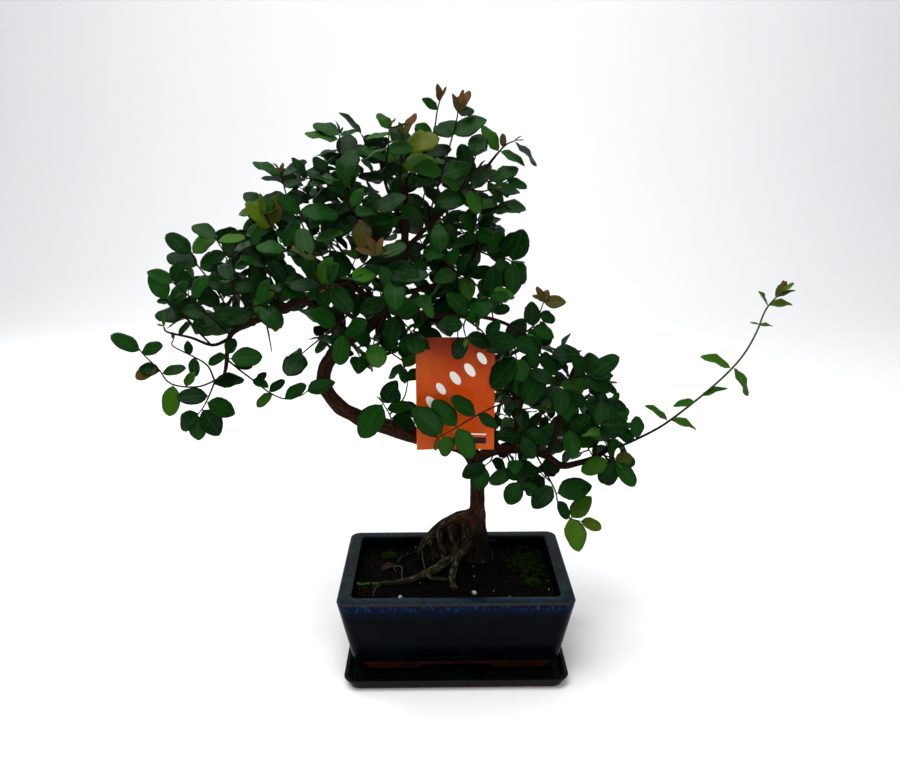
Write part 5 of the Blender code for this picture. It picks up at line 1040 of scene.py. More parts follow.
def leafTree():
    tree, start, end = geometryTree("leavesOnPoints", [
        ("Around", "NodeSocketInt", 9), ("Rows", "NodeSocketInt", 11),
        ("Thickness", "NodeSocketFloat", 0.01), ("Seed", "NodeSocketInt", 1),
        ("Finish", "NodeSocketMaterial", None)])
    kinds = addNode(tree, "GeometryNodeJoinGeometry")
    for looks in reversed(leafLooks["variants"]):
        tree.links.new(bladeNodes(tree, start, looks), kinds.inputs[0])
    choice = randomOf(tree, start["Seed"], "INT", 0, len(leafLooks["variants"]) - 1)
    turn = addNode(tree, "FunctionNodeEulerToRotation", {"Euler": namedValue(tree, "turn", "FLOAT_VECTOR")})
    placed = addNode(tree, "GeometryNodeInstanceOnPoints", {
        "Points": start["Geometry"], "Instance": kinds.outputs[0], "Pick Instance": True,
        "Instance Index": choice, "Rotation": turn.outputs[0],
        "Scale": namedValue(tree, "size", "FLOAT_VECTOR")}).outputs[0]
    return finishTree(tree, placed, start, end)


def leafMaterial():
    material, tree = newMaterial("leaf")
    tone, along, across, under, shade = (attributeOf(tree, name)
                                         for name in ("tone", "along", "across", "under", "shade"))
    mottle = noiseOf(tree, objectPlace(tree), 260, 4)
    top = rampOf(tree, tone, leafLooks["ramp"])
    fresh = times(tree, rangeOf(tree, tone, 0.14, 0.26, 1, 0), rangeOf(tree, along, 0.15, 0.75, 0.75, 0.1))
    top = mixOf(tree, fresh, top, leafLooks["fresh"])
    top = mixOf(tree, times(tree, shade, 0.45), top, leafLooks["shaded"])
    top = painted(tree, top, leafLooks["mottled"], mottle, 0.45, 0.75, 0.35)
    away = math2(tree, "ABSOLUTE", across)
    rib = rangeOf(tree, away, 0.02, 0.13, 1, 0)
    slant = math2(tree, "MULTIPLY_ADD", away, -0.42, along)
    ribs = math2(tree, "ABSOLUTE", math2(tree, "SINE", times(tree, slant, 34.0)))
    vein = rangeOf(tree, ribs, 0.0, 0.22, 1, 0)
    lines = math2(tree, "MAXIMUM", times(tree, rib, 0.36), times(tree, vein, 0.12))
    bright = mixOf(tree, 1.0, top, leafLooks["rib"], "ADD")
    top = mixOf(tree, lines, top, bright)
    colour = mixOf(tree, under, top, mixOf(tree, 0.5, top, leafLooks["below"]))
    finishLook(material, {
        "Base Color": colour})
    gloss = rangeOf(tree, mottle, 0.3, 0.7, 0.34, 0.50)
    gloss = math2(tree, "MULTIPLY_ADD", under, 0.22, gloss)
    height = math2(tree, "MULTIPLY_ADD", lines, -1.0, times(tree, mottle, 0.4))
    return finishLook(material, {
        "Roughness": gloss, "Specular IOR Level": 0.03, "Coat Weight": 0.05, "Coat Roughness": 0.3,
        "Normal": bumpOf(tree, height, 0.35, 0.0005)})


# young or odd leaves by spray, stem and place in the stem's list: 0 bronze, 0.4 dark green, 1 yellow green
leafTones = {
    ("spray_young_left", 0, 0): 1.0, ("spray_young_left", 0, 1): 0.80, ("spray_young_left", 0, 2): 0.08,
    ("spray_young_thin", 0, 0): 0.06, ("spray_young_tall", 0, 0): 0.04, ("spray_young_tall", 0, 1): 0.08,
    ("spray_upper_left_rosette", 0, 0): 0.92, ("spray_upper_left_rosette", 0, 1): 0.16,
    ("spray_front_mid", 1, 0): 0.05, ("spray_front_mid", 1, 1): 0.10,
    ("spray_label_limb", 1, 0): 0.05, ("spray_label_limb", 1, 1): 0.12, ("spray_label_limb", 1, 2): 0.18,
    ("spray_low_right", 0, 3): 0.80, ("spray_low_right", 0, 4): 0.84, ("spray_low_right", 0, 5): 0.95,
    ("long_shoot", 1, 2): 0.64, ("long_shoot", 1, 3): 0.70, ("long_shoot", 1, 4): 0.68,
    ("long_shoot", 1, 5): 0.66, ("long_shoot", 1, 6): 0.72, ("long_shoot", 1, 7): 0.74,
    ("long_shoot", 1, 8): 0.80,
    ("long_shoot", 1, 10): 0.86, ("long_shoot", 1, 11): 0.90, ("long_shoot", 1, 12): 0.10,
    ("long_shoot", 1, 13): 0.30, **{("sprouts", 0, index): 0.60 for index in range(6)},
}

leafTone = {"usual": (0.33, 0.56), "lighter": (0.56, 0.74), "lighterShare": 0.16, "young": (0.12, 0.30),
            "youngShare": 0.012, "slender": 0.60, "seed": 21,
            "open": {"spray_young_tall": 0.7, "spray_young_thin": 0.7, "spray_young_left": 0.5,
                     "tips": 0.5}, "slim": ("tips", "ends"), "slimBelow": 0.11, "armOpen": 0.35,
            "light": (0, -0.94, 0.34)}


def toneOf(leaf, dice):
    if dice.random() < leafTone["youngShare"]:
        kind = "young"
    elif dice.random() < leafTone["lighterShare"]:
        kind = "lighter"
    else:
        kind = "usual"
    tone = dice.uniform(*leafTone[kind])
    return leaf.get("tone", leafTones.get((leaf["spray"], leaf["stem"], leaf["index"]), tone))


def leafPoints(name, leaves, dice):
    # one point for each leaf, with its turn, size and tone
    mesh = bpy.data.meshes.new(name)
    places, turns, sizes, tones, shades = [], [], [], [], []
    for leaf in leaves:
        base, forward, side, up = leaf["leaf"]
        arm = leaf["spray"] == "long_shoot" and base.x > growth["armX"]
        opening = leafTone["open"].get(leaf["spray"], leafTone["armOpen"] if arm else 0)
        if opening:
            # the thin tips show more of their face than the frame's blades do
            light = Vector(leafTone["light"])
            aim = (light - forward * light.dot(forward)).normalized()
            lean = Quaternion(forward, math.atan2(forward.dot(up.cross(aim)), up.dot(aim)) * opening)
            side, up = lean @ side, lean @ up
        shift = alongPath(leaf["fine"], leaf["share"])[0] - alongPath(leaf["path"], leaf["share"])[0]
        places.append((base + shift - forward * leafLooks["stalk"]) * cm)
        turns += Matrix((side, forward, up)).transposed().to_euler()
        length = (leaf["size"] + leafLooks["stalk"]) * cm
        tone = toneOf(leaf, dice)
        slim = tone < leafTone["slimBelow"] or arm or leaf["spray"] in leafTone["slim"]
        wide = leafTone["slender"] if slim else 1.0
        sizes += [length * wide * dice.uniform(0.93, 1.04), length, length]
        tones.append(tone)
        shades.append(dice.random())
    mesh.from_pydata(places, [], [])
    for label, kind, values in (("turn", "FLOAT_VECTOR", turns), ("size", "FLOAT_VECTOR", sizes),
                                ("tone", "FLOAT", tones), ("shade", "FLOAT", shades)):
        storeOn(mesh, label, kind, values)
    return linked(name, mesh)


def buildLeaves(leaves, material):
    tree = leafTree()
    groups = {}
    for leaf in leaves:
        groups.setdefault(leaf["spray"], []).append(leaf)
    for number, (name, group) in enumerate(groups.items()):
        dice = random.Random(leafTone["seed"] + number)
        piece = leafPoints(name.replace("spray_", "leaves_") if "spray_" in name else "leaves_" + name,
                           group, dice)
        piece = useTree(piece, tree, {
            "Around": leafLooks["around"] + 1, "Rows": leafLooks["rows"],
            "Thickness": leafLooks["thickness"],
            "Seed": leafLooks["seed"] + number, "Finish": material})
        seat(piece, [name] if name in sprays else [])
    print("leaves done", len(leaves))


# small leaves inside the crown

inner = {
    "wide": 0.64, "sheets": [(0.0, 0.12, -0.03), (0.085, 0.04, 0.03)], "thick": 1.3,
    "sides": 6, "stalk": 0.08, "ownStalk": 0.25, "columns": (-26, 18), "rows": (14, 47), "bladeShare": 0.45,
    "leastShown": 0.15, "luck": 0.35, "tried": 0.12, "leftOf": -12, "middleOf": 3.6,
    "seed": 12, "cell": 1.0, "depths": (0.0, 7.8), "layers": 1.7, "twigs": 300, "leaf": (1.9, 2.9),
    "sky": (0.25, 0.9),
    "radii": (0.075, 0.04), "reach": (1.3, 5.5), "tries": 12, "spread": 50, "block": 4.2,
    "outlines": [
        [(-13.6, 40.8), (-10.8, 43.0), (-7.8, 44.2), (-3.9, 44.4), (-0.5, 43.8), (1.8, 42.2), (3.4, 39.4),
         (4.0, 34.7),
         (3.6, 31.9), (2.2, 30.4), (0.5, 29.6), (-2.1, 29.4), (-4.5, 28.0), (-6.3, 27.2), (-8.4, 27.3),
         (-11.5, 27.6),
         (-12.4, 30.0), (-15.5, 31.0), (-18.1, 30.6), (-20.5, 29.2), (-23.2, 29.8), (-24.0, 32.4),
         (-20.9, 34.0),
         (-19.8, 36.2), (-17.2, 38.0), (-15.4, 39.6)],
        [(3.9, 26.6), (5.4, 27.4), (7.4, 27.0), (9.0, 26.4), (10.4, 25.4), (12.2, 24.6), (13.2, 23.5),
         (14.2, 21.5),
         (15.6, 19.1), (16.0, 17.4), (13.6, 16.4), (11.4, 17.6), (9.6, 17.0), (7.6, 15.4), (5.8, 15.0),
         (3.9, 16.2),
         (2.2, 16.8), (3.9, 19.4)],
    ],
    "keepOut": [((-3.9, -12.0, 19.0), (3.9, 0.3, 29.5)), ((-9.6, 0.0, 22.0), (-6.0, 3.6, 27.0))],
}


def within(outline, x, z):
    inside = False
    for (firstX, firstZ), (nextX, nextZ) in zip(outline, outline[1:] + outline[:1]):
        if (firstZ > z) != (nextZ > z) and x < (nextX - firstX) * (z - firstZ) / (nextZ - firstZ) + firstX:
            inside = not inside
    return inside


def bladeTree(leaf, size, stalk):
    # the lowest and the highest sheet that a blade may bend to, from the end of its stalk
    base, forward, side, up = leaf
    half = size * inner["wide"] / 2
    points = []
    faces = []
    for fold, sag, lift in inner["sheets"]:
        first = len(points)
        rows = ((stalk, 0, 0), (0.36, half, fold), (0.36, -half, fold), (0.72, half * 0.92, fold - sag / 2),
                (0.72, -half * 0.92, fold - sag / 2), (1.03, 0, -sag))
        points += [base + forward * (along * size) + side * across + up * (height * size + lift)
                   for along, across, height in rows]
        faces += [(first, first + 1, first + 2), (first + 1, first + 3, first + 4, first + 2),
                  (first + 3, first + 5, first + 4)]
    return base + forward * size / 2, size * 0.6, BVHTree.FromPolygons(points, faces)


def shootTree(path):
    # each stretch as a prism, a little thicker than the bark
    points = []
    faces = []
    sides = inner["sides"]
    for start, end in zip(path, path[1:]):
        run = (end.xyz - start.xyz).normalized()
        across = run.orthogonal().normalized()
        up = run.cross(across)
        first = len(points)
        for place in (start, end):
            for turn in range(sides):
                angle = math.tau * turn / sides
                out = across * math.cos(angle) + up * math.sin(angle)
                points.append(place.xyz + out * place.w * inner["thick"])
        for turn in range(sides):
            last = (turn + 1) % sides
            faces.append((first + turn, first + last, first + sides + last, first + sides + turn))
    middle = (path[0].xyz + path[-1].xyz) / 2
    size = max((point.xyz - middle).length + point.w for point in path)
    return middle, size, BVHTree.FromPolygons(points, faces)


def nearCells(place):
    column, row, layer = (math.floor(value / inner["block"]) for value in place)
    return [(column + x, row + y, layer + z) for x in (-1, 0, 1) for y in (-1, 0, 1) for z in (-1, 0, 1)]


def keepShape(shapes, shape):
    shapes.setdefault(nearCells(shape[0])[13], []).append(shape)


def clearOf(shape, shapes):
    middle, size, tree = shape
    return not any((middle - place).length < size + reach and tree.overlap(other)
                   for cell in nearCells(middle) for place, reach, other in shapes.get(cell, ()))


def barred(point):
    return any(all(low[axis] < point[axis] < high[axis] for axis in range(3))
               for low, high in inner["keepOut"])


def coverCells():
    cells = {}
    size = inner["cell"]
    for outline in inner["outlines"]:
        for column in range(*inner["columns"]):
            for row in range(*inner["rows"]):
                if within(outline, column * size, row * size):
                    cells[(column, row)] = 0.0
    return cells


def addCover(cells, leaf, size):
    # the share of each cell that the blade hides from the front
    base, forward, _, up = leaf
    reach = max(1, round(size / 2 / inner["cell"]))
    area = size * size * inner["bladeShare"] * max(inner["leastShown"], abs(up.y))
    middle = base + forward * size / 2
    column, row = round(middle.x / inner["cell"]), round(middle.z / inner["cell"])
    around = [(column + x, row + z) for x in range(-reach, reach + 1) for z in range(-reach, reach + 1)]
    for cell in around:
        if cell in cells:
            cells[cell] += area / len(around) / inner["cell"] ** 2


def growInner(leaves, woodLines, sprayLines):
    # twigs from the nearest stems into the thinnest parts of the crown, each with paired leaves
    dice = random.Random(inner["seed"])
    cells = coverCells()
    shapes = {}
    starts = []
    for leaf in leaves:
        addCover(cells, leaf["leaf"], leaf["size"])
        keepShape(shapes, bladeTree(leaf["leaf"], leaf["size"], inner["stalk"]))
    for path in [*woodLines.values(), *(path for paths in sprayLines.values() for path in paths)]:
        for start, end in zip(path, path[1:]):
            keepShape(shapes, shootTree([start, end]))
        starts += [alongPath(path, share / 8)[0] for share in range(1, 9)]
    made = []
    twigs = []
    for _ in range(inner["twigs"]):
        cell = min(cells, key=lambda key: cells[key] + dice.random() * inner["luck"])
        if cells[cell] > inner["layers"]:
            break
        cells[cell] += inner["tried"]
        for _ in range(inner["tries"]):
            goal = Vector((cell[0] * inner["cell"] + dice.uniform(-0.6, 0.6), dice.uniform(*inner["depths"]),
                           cell[1] * inner["cell"] + dice.uniform(-0.4, 0.6)))
            near = min(starts, key=lambda start: abs((start - goal).length - inner["reach"][0])
                       + max(0.0, start.z - goal.z + 0.4))
            run = goal - near
            if barred(goal) or not inner["reach"][0] * 0.6 < run.length < inner["reach"][1]:
                continue
            bend = Vector((dice.uniform(-0.3, 0.3), dice.uniform(-0.3, 0.3), dice.uniform(-0.1, 0.35)))
            line = taperedPath([near, near + run * 0.5 + bend * run.length * 0.3, goal], inner["radii"])
            free = [Vector(line[0]).lerp(line[1], 0.3), *line[1:]]
            if clearOf(shootTree(free), shapes):
                break
        else:
            continue
        shoot = {"leaves": [(1.0, math.degrees(math.atan2(run.z, run.x)) + dice.uniform(-20, 20),
                             dice.uniform(*inner["leaf"]))],
                 "pairs": 2, "leaf": dice.uniform(*inner["leaf"])}
        own = {}
        kept = []
        sky = dice.uniform(*inner["sky"])
        for share, base, direction, length in wantedLeaves(shoot, line, dice):
            for trial in trials:
                roll = trial[0] + dice.uniform(-inner["spread"], inner["spread"])
                leaf = turnedLeaf(base, direction, trial, roll, sky)
                size = length * trial[3]
                tip = base + leaf[1] * size
                shape = bladeTree(leaf, size, inner["stalk"])
                blade = bladeTree(leaf, size, inner["ownStalk"])
                if barred(tip) or barred(shape[0]) or not clearOf(shape, shapes) or not clearOf(blade, own):
                    continue
                keepShape(own, blade)
                kept.append(shape)
                addCover(cells, leaf, size)
                made.append(leafOf("inner", 0, len(made), share, leaf, size, line))
                break
        if kept:
            for shape in [*kept, shootTree(free)]:
                keepShape(shapes, shape)
            starts += [line[1].xyz, line[2].xyz]
            twigs.append(line)
    print("inner leaves", len(made), "on", len(twigs), "twigs")
    return made, twigs, shapes


def buildInner(leaves, twigs, tubes, bark, leafFinish):
    piece = tubesAlong("innerTwigs", twigs, tubes, bark, growth["steps"], wood["twigSides"],
                       wood["twigPlace"])
    seat(piece, [])
    for leaf in leaves:
        x = leaf["leaf"][0].x
        leaf["spray"] = ("inner_left" if x < inner["leftOf"] else "inner_middle" if x < inner["middleOf"]
                         else "inner_right")
    buildLeaves(leaves, leafFinish)


tips = {
    "seed": 8, "share": 0.85, "tries": 10, "twist": 1.5, "spread": (16, 50), "size": (0.6, 1.25),
    "bronze": 0.3,
    "sky": 0.3, "youngTone": (0.04, 0.20), "greenTone": (0.55, 0.80), "depth": 0.25,
    "placed": [
        ("spray_young_thin", 0, 62, 1.1, 0.03), ("spray_young_tall", 0, 88, 1.0, 0.10),
        ("spray_young_tall", 0, 74, 1.5, 0.06), ("spray_young_left", 0, 108, 1.0, 0.12),
        ("long_shoot", 1, 46, 1.3, 0.90), ("long_shoot", 1, 78, 1.1, 0.16),
        ("spray_upper_left_rosette", 0, 95, 1.7, 0.92), ("spray_upper_left_rosette", 0, 25, 1.6, 0.86),
        ("spray_front_mid", 1, 160, 1.8, 0.05), ("spray_front_mid", 1, 22, 1.7, 0.10),
        ("spray_label_limb", 1, 150, 1.2, 0.10),
    ],
}


def buildTips(sprayLines, shapes, leafFinish):
    # the newest leaves, too small for the frame, at the ends of the shoots
    def tipOf(kind, line, direction, size, tone):
        leaf = turnedLeaf(line[-1].xyz, direction, trials[0], 0, tips["sky"])
        return leafOf(kind, 0, 0, 1.0, leaf, size, line, tone=tone)

    leaves = []
    for index, (name, stem, heading, size, tone) in enumerate(tips["placed"]):
        direction = headingVector(math.radians(heading), tips["depth"] * (-1) ** index)
        leaves.append(tipOf("tips", sprayLines[name][stem], direction, size, tone))
    dice = random.Random(tips["seed"])
    for name, stems in sprayLines.items():
        for line in stems:
            if dice.random() > tips["share"]:
                continue
            forward = (line[-1].xyz - line[-2].xyz).normalized()
            young = dice.uniform(*tips["youngTone" if dice.random() < tips["bronze"] else "greenTone"])
            for _ in range(tips["tries"]):
                across = forward.cross(Vector((0, 1, 0))).normalized()
                across.rotate(Quaternion(forward, dice.uniform(-tips["twist"], tips["twist"])))
                spread = math.radians(dice.uniform(*tips["spread"]))
                pair = []
                for way in (-1, 1):
                    direction = spreadFrom(forward, across, spread, way)
                    pair.append(tipOf("ends", line, direction, dice.uniform(*tips["size"]), young))
                ends = [bladeTree(leaf["leaf"], leaf["size"], inner["ownStalk"]) for leaf in pair]
                if all(clearOf(end, shapes) for end in ends):
                    for end in ends:
                        keepShape(shapes, end)
                    leaves += pair
                    break
    buildLeaves(leaves, leafFinish)
    print("tips done", len(leaves))


# the pot and its saucer

pot = {
    "length": 0.2026, "depth": 0.140, "top": 0.0777, "foot": 0.0043, "lip": 0.0020, "glazeBottom": 0.0160,
    "glazeInset": 0.0115, "footInset": 0.0195, "rim": 0.012, "floor": 0.0150, "underside": 0.0090,
    "footWidth": 0.009, "archHeight": 0.0047, "archFront": 0.062, "archSide": 0.034,
    "holeRadius": 0.006, "holeX": 0.045, "cornerSteps": 10, "roundSteps": 6,
    "clay": (0.075, 0.015, 0.008), "clayDark": (0.024, 0.007, 0.005),
    "body": (0.0004, 0.0009, 0.0015), "bodyBlue": (0.0006, 0.0022, 0.0038), "run": (0.0007, 0.0048, 0.019),
    "runPale": (0.0030, 0.0150, 0.048), "edge": (0.026, 0.020, 0.014), "rimTop": (0.0015, 0.0042, 0.0060),
    "rimPale": (0.0070, 0.0160, 0.0200), "inside": (0.0005, 0.0012, 0.0028),
    "rimBlue": (0.0028, 0.0140, 0.0270),
}

saucer = {"length": 0.193, "depth": 0.138, "height": 0.010, "floor": 0.004, "wall": 0.004, "shift": -0.009,
          "dark": (0.0008, 0.0010, 0.0010), "green": (0.0018, 0.0028, 0.0024), "edge": (0.040, 0.042, 0.038)}


def ringOf(bm, length, depth, radius, height, centreY=0.0, steps=10):
    ring = []
    for sideX, sideY, start in ((1, 1, 0), (-1, 1, 90), (-1, -1, 180), (1, -1, 270)):
        for step in range(steps + 1):
            angle = math.radians(start + 90 * step / steps)
            x = sideX * (length / 2 - radius) + radius * math.cos(angle)
            y = sideY * (depth / 2 - radius) + radius * math.sin(angle)
            ring.append(bm.verts.new((x, y + centreY, height)))
    return ring


def lofted(name, rings, steps, zones=None):
    # a closed solid through the rings, with each ring's zone kept on its points
    bm = bmesh.new()
    zone = bm.verts.layers.float.new("zone")
    loops = [ringOf(bm, *ring, steps=steps) for ring in rings]
    for loop, value in zip(loops, zones or [0.0] * len(loops)):
        for corner in loop:
            corner[zone] = value
    for lower, upper in zip(loops, loops[1:]):
        for index, corner in enumerate(lower):
            following = (index + 1) % len(lower)
            bm.faces.new((corner, lower[following], upper[following], upper[index]))
    bm.faces.new(loops[0])
    bm.faces.new(loops[-1])
    bmesh.ops.recalc_face_normals(bm, faces=bm.faces)
    return meshFrom(name, bm)


def cutAway(piece, cutters):
    for cutter in cutters:
        cut = piece.modifiers.new("cut", "BOOLEAN")
        cut.operation = "DIFFERENCE"
        cut.object = cutter
        plainMesh(piece)
        bpy.data.objects.remove(cutter)
    return piece


def blockOf(name, low, high):
    bm = bmesh.new()
    bmesh.ops.create_cube(bm, size=1.0)
    for corner in bm.verts:
        corner.co = [low[axis] + (corner.co[axis] + 0.5) * (high[axis] - low[axis]) for axis in range(3)]
    return meshFrom(name, bm)


def rodOf(name, radius, depth, centre, sides, alongY=False):
    bm = bmesh.new()
    bmesh.ops.create_cone(bm, cap_ends=True, segments=sides, radius1=radius, radius2=radius, depth=depth)
    if alongY:
        bmesh.ops.rotate(bm, verts=bm.verts, cent=(0, 0, 0), matrix=Matrix.Rotation(math.pi / 2, 3, "X"))
    bmesh.ops.translate(bm, verts=bm.verts, vec=centre)
    return meshFrom(name, bm)


def potSize(height, size, inset=0.0):
    share = (pot["top"] - height) / (pot["top"] - pot["glazeBottom"])
    return size - 2 * (inset + pot["glazeInset"] * share)


def buildPot(glaze):
    length, depth, lip = pot["length"], pot["depth"], pot["lip"]
    footLength = length - 2 * pot["footInset"]
    footDepth = depth - 2 * pot["footInset"]
    inner = pot["footWidth"] * 2
    low = pot["top"] - lip
    rings = [
        (footLength - inner, footDepth - inner, 0.005, pot["underside"]),
        (footLength - inner, footDepth - inner, 0.005, pot["foot"]),
        (footLength - 0.001, footDepth - 0.001, 0.0085, pot["foot"]),
        (footLength, footDepth, 0.009, pot["foot"] + 0.0005),
        (footLength + 0.003, footDepth + 0.003, 0.009, pot["underside"]),
        (potSize(pot["glazeBottom"], length) - 0.0016, potSize(pot["glazeBottom"], depth) - 0.0016, 0.010,
         pot["glazeBottom"] - 0.0006),
    ]
    for height in (0.0163, 0.0175, 0.020, 0.030, 0.040, 0.050, 0.060, 0.068, low):
        rings.append((potSize(height, length), potSize(height, depth), 0.010, height))
    zones = [0.0] * len(rings)
    outer = potSize(low, length), potSize(low, depth)
    hollow = potSize(low, length, pot["rim"]), potSize(low, depth, pot["rim"])
    steps = pot["roundSteps"]
    for step in range(1, steps + 1):
        angle = math.pi / 2 * step / steps
        inset = lip * (1 - math.cos(angle))
        rings.append((outer[0] - 2 * inset, outer[1] - 2 * inset, 0.010 - inset,
                      low + lip * math.sin(angle)))
        zones.append(step / steps)
    for step in range(steps, -1, -1):
        angle = math.pi / 2 * step / steps
        inset = lip * (1 - math.cos(angle))
        rings.append((hollow[0] + 2 * inset, hollow[1] + 2 * inset, 0.005 + inset,
                      low + lip * math.sin(angle)))
        zones.append(2.0 - step / steps)
    rings.append((potSize(pot["floor"], length, pot["rim"]), potSize(pot["floor"], depth, pot["rim"]), 0.004,
                  pot["floor"]))
    zones.append(2.0)
    piece = lofted("glazedPot", rings, pot["cornerSteps"], zones)
    archTop = pot["foot"] + pot["archHeight"]
    front, side = pot["archFront"] / 2, pot["archSide"] / 2
    cutters = [blockOf("archFront", (-front, -depth, -0.01), (front, depth, archTop)),
               blockOf("archSide", (-length, -side, -0.01), (length, side, archTop))]
    for x in (-pot["holeX"], pot["holeX"]):
        cutters.append(rodOf("hole", pot["holeRadius"], 0.03, (x, 0, 0.015), 32))
    cutAway(piece, cutters)
    wear(piece, glaze)
    seat(piece, ["pot"], 32)
    print("pot", len(piece.data.polygons), "faces")


def glazeMaterial():
    material, tree = newMaterial("potGlaze")
    coords = objectPlace(tree)
    height = axisOf(tree, coords, "Z")
    zone = attributeOf(tree, "zone")
    drips = noiseOf(tree, objectPlace(tree, (1, 1, 0.22)), 210, 4, 0.6)
    cloud = noiseOf(tree, coords, 55, 5, 0.6)
    grain = noiseOf(tree, coords, 700, 3)
    body = mixOf(tree, rangeOf(tree, cloud, 0.42, 0.66), pot["body"], pot["bodyBlue"])
    body = painted(tree, body, (0.0060, 0.0070, 0.0085), grain, 0.60, 0.74, 0.45)
    ragged = math2(tree, "MULTIPLY_ADD", drips, 0.006, height)
    outside = mixOf(tree, rangeOf(tree, ragged, 0.0650, 0.0755), body, pot["run"])
    patch = noiseOf(tree, objectPlace(tree, (1, 1, 0.5)), 330, 5, 0.65)
    high = math2(tree, "MULTIPLY_ADD", patch, 0.009, height)
    belt = times(tree, rangeOf(tree, high, 0.0740, 0.0775), rangeOf(tree, cloud, 0.36, 0.56, 0.35, 1))
    outside = mixOf(tree, times(tree, belt, rangeOf(tree, patch, 0.42, 0.56)), outside, pot["runPale"])
    spot = times(tree, belt, rangeOf(tree, patch, 0.50, 0.42))
    outside = mixOf(tree, spot, outside, (0.0016, 0.0022, 0.0060))
    gleam = times(tree, belt, rangeOf(tree, patch, 0.57, 0.68, 0, 0.7))
    outside = mixOf(tree, gleam, outside, (0.026, 0.090, 0.170))
    edgeHeight = math2(tree, "MULTIPLY_ADD", drips, 0.0016, height)
    edge = times(tree, rangeOf(tree, edgeHeight, 0.0760, 0.0768),
                 rangeOf(tree, zone, 0.75, 1.0, 1, 0))
    outside = mixOf(tree, times(tree, edge, 0.8), outside, pot["edge"])
    rimTone = mixOf(tree, rangeOf(tree, cloud, 0.40, 0.64), pot["rimTop"], pot["rimPale"])
    rimTone = painted(tree, rimTone, (0.0012, 0.0020, 0.0030), grain, 0.50, 0.64, 0.7)
    fleck = noiseOf(tree, coords, 1200, 2)
    rimTone = painted(tree, rimTone, (0.020, 0.042, 0.050), fleck, 0.60, 0.70, 0.6)
    depth = axisOf(tree, coords, "Y")
    front = rangeOf(tree, depth, -0.0560, -0.0600)
    rimTone = mixOf(tree, times(tree, front, rangeOf(tree, patch, 0.42, 0.58)), rimTone, pot["rimBlue"])
    inside = mixOf(tree, rangeOf(tree, cloud, 0.40, 0.60), pot["inside"], pot["body"])
    colour = mixOf(tree, rangeOf(tree, zone, 0.6, 1.0), outside, rimTone)
    colour = painted(tree, colour, inside, zone, 1.3, 1.8)
    clay = mixOf(tree, rangeOf(tree, cloud, 0.38, 0.62), pot["clay"], pot["clayDark"])
    clay = painted(tree, clay, (0.095, 0.030, 0.017), grain, 0.55, 0.75, 0.6)
    line = math2(tree, "MULTIPLY_ADD", drips, 0.0026, height)
    bare = rangeOf(tree, line, 0.0171, 0.0176, 1, 0)
    colour = mixOf(tree, bare, colour, clay)
    gloss = rangeOf(tree, cloud, 0.3, 0.7, 0.13, 0.30)
    wavy = bumpOf(tree, cloud, 0.25, 0.0012)
    return finishLook(material, {
        "Base Color": colour, "Roughness": math2(tree, "MULTIPLY_ADD", bare, 0.6, gloss),
        "Specular IOR Level": 0.025, "Coat Weight": 0.01, "Coat Roughness": 0.12,
        "Normal": bumpOf(tree, grain, 0.12, 0.0004, wavy)})


def buildSaucer():
    length, depth, shift = saucer["length"], saucer["depth"], saucer["shift"]
    high = saucer["height"]
    inside = length - 2 * saucer["wall"], depth - 2 * saucer["wall"]
    rings = [
        (length - 0.0114, depth - 0.0114, 0.010, 0.0, shift),
        (length - 0.010, depth - 0.010, 0.010, 0.0005, shift),
        (length - 0.004, depth - 0.004, 0.0115, high * 0.6, shift),
        (length - 0.001, depth - 0.001, 0.012, high - 0.0012, shift),
        (length - 0.0013, depth - 0.0013, 0.012, high - 0.0004, shift),
        (length - 0.0025, depth - 0.0025, 0.012, high, shift),
        (inside[0] + 0.001, inside[1] + 0.001, 0.0095, high, shift),
        (inside[0] - 0.0004, inside[1] - 0.0004, 0.009, high - 0.0006, shift),
        (inside[0] - 0.003, inside[1] - 0.003, 0.008, saucer["floor"] + 0.0014, shift),
        (inside[0] - 0.0055, inside[1] - 0.0055, 0.007, saucer["floor"] + 0.0003, shift),
        (inside[0] - 0.010, inside[1] - 0.010, 0.006, saucer["floor"], shift),
    ]
    piece = lofted("saucerTray", rings, 10)
    material, tree = newMaterial("saucerGlaze")
    coords = objectPlace(tree)
    height = axisOf(tree, coords, "Z")
    cloud = noiseOf(tree, coords, 60, 5, 0.6)
    grain = noiseOf(tree, coords, 650, 3)
    colour = mixOf(tree, rangeOf(tree, cloud, 0.40, 0.66), saucer["dark"], saucer["green"])
    colour = painted(tree, colour, (0.0060, 0.0065, 0.0060), grain, 0.62, 0.76, 0.4)
    lip = times(tree, rangeOf(tree, height, 0.0084, 0.0090), rangeOf(tree, height, 0.0099, 0.0094))
    colour = mixOf(tree, times(tree, lip, 0.16), colour, saucer["edge"])
    line = math2(tree, "MULTIPLY_ADD", cloud, 0.0024, height)
    across = axisOf(tree, coords, "X")
    strip = times(tree, rangeOf(tree, across, 0.0, 0.02), rangeOf(tree, across, 0.075, 0.06))
    line = math2(tree, "MULTIPLY_ADD", strip, -0.0020, line)
    bare = rangeOf(tree, line, 0.0020, 0.0024, 1, 0)
    clay = mixOf(tree, rangeOf(tree, grain, 0.4, 0.7), pot["clay"], pot["clayDark"])
    colour = mixOf(tree, bare, colour, clay)
    gloss = rangeOf(tree, cloud, 0.3, 0.7, 0.15, 0.34)
    wavy = bumpOf(tree, cloud, 0.3, 0.0010)
    finishLook(material, {
        "Base Color": colour, "Roughness": math2(tree, "MULTIPLY_ADD", bare, 0.55, gloss),
        "Specular IOR Level": 0.03, "Normal": bumpOf(tree, grain, 0.1, 0.0003, wavy)})
    wear(piece, material)
    seat(piece, ["saucer"], 32)
    print("saucer done")


# the soil and what lies on it

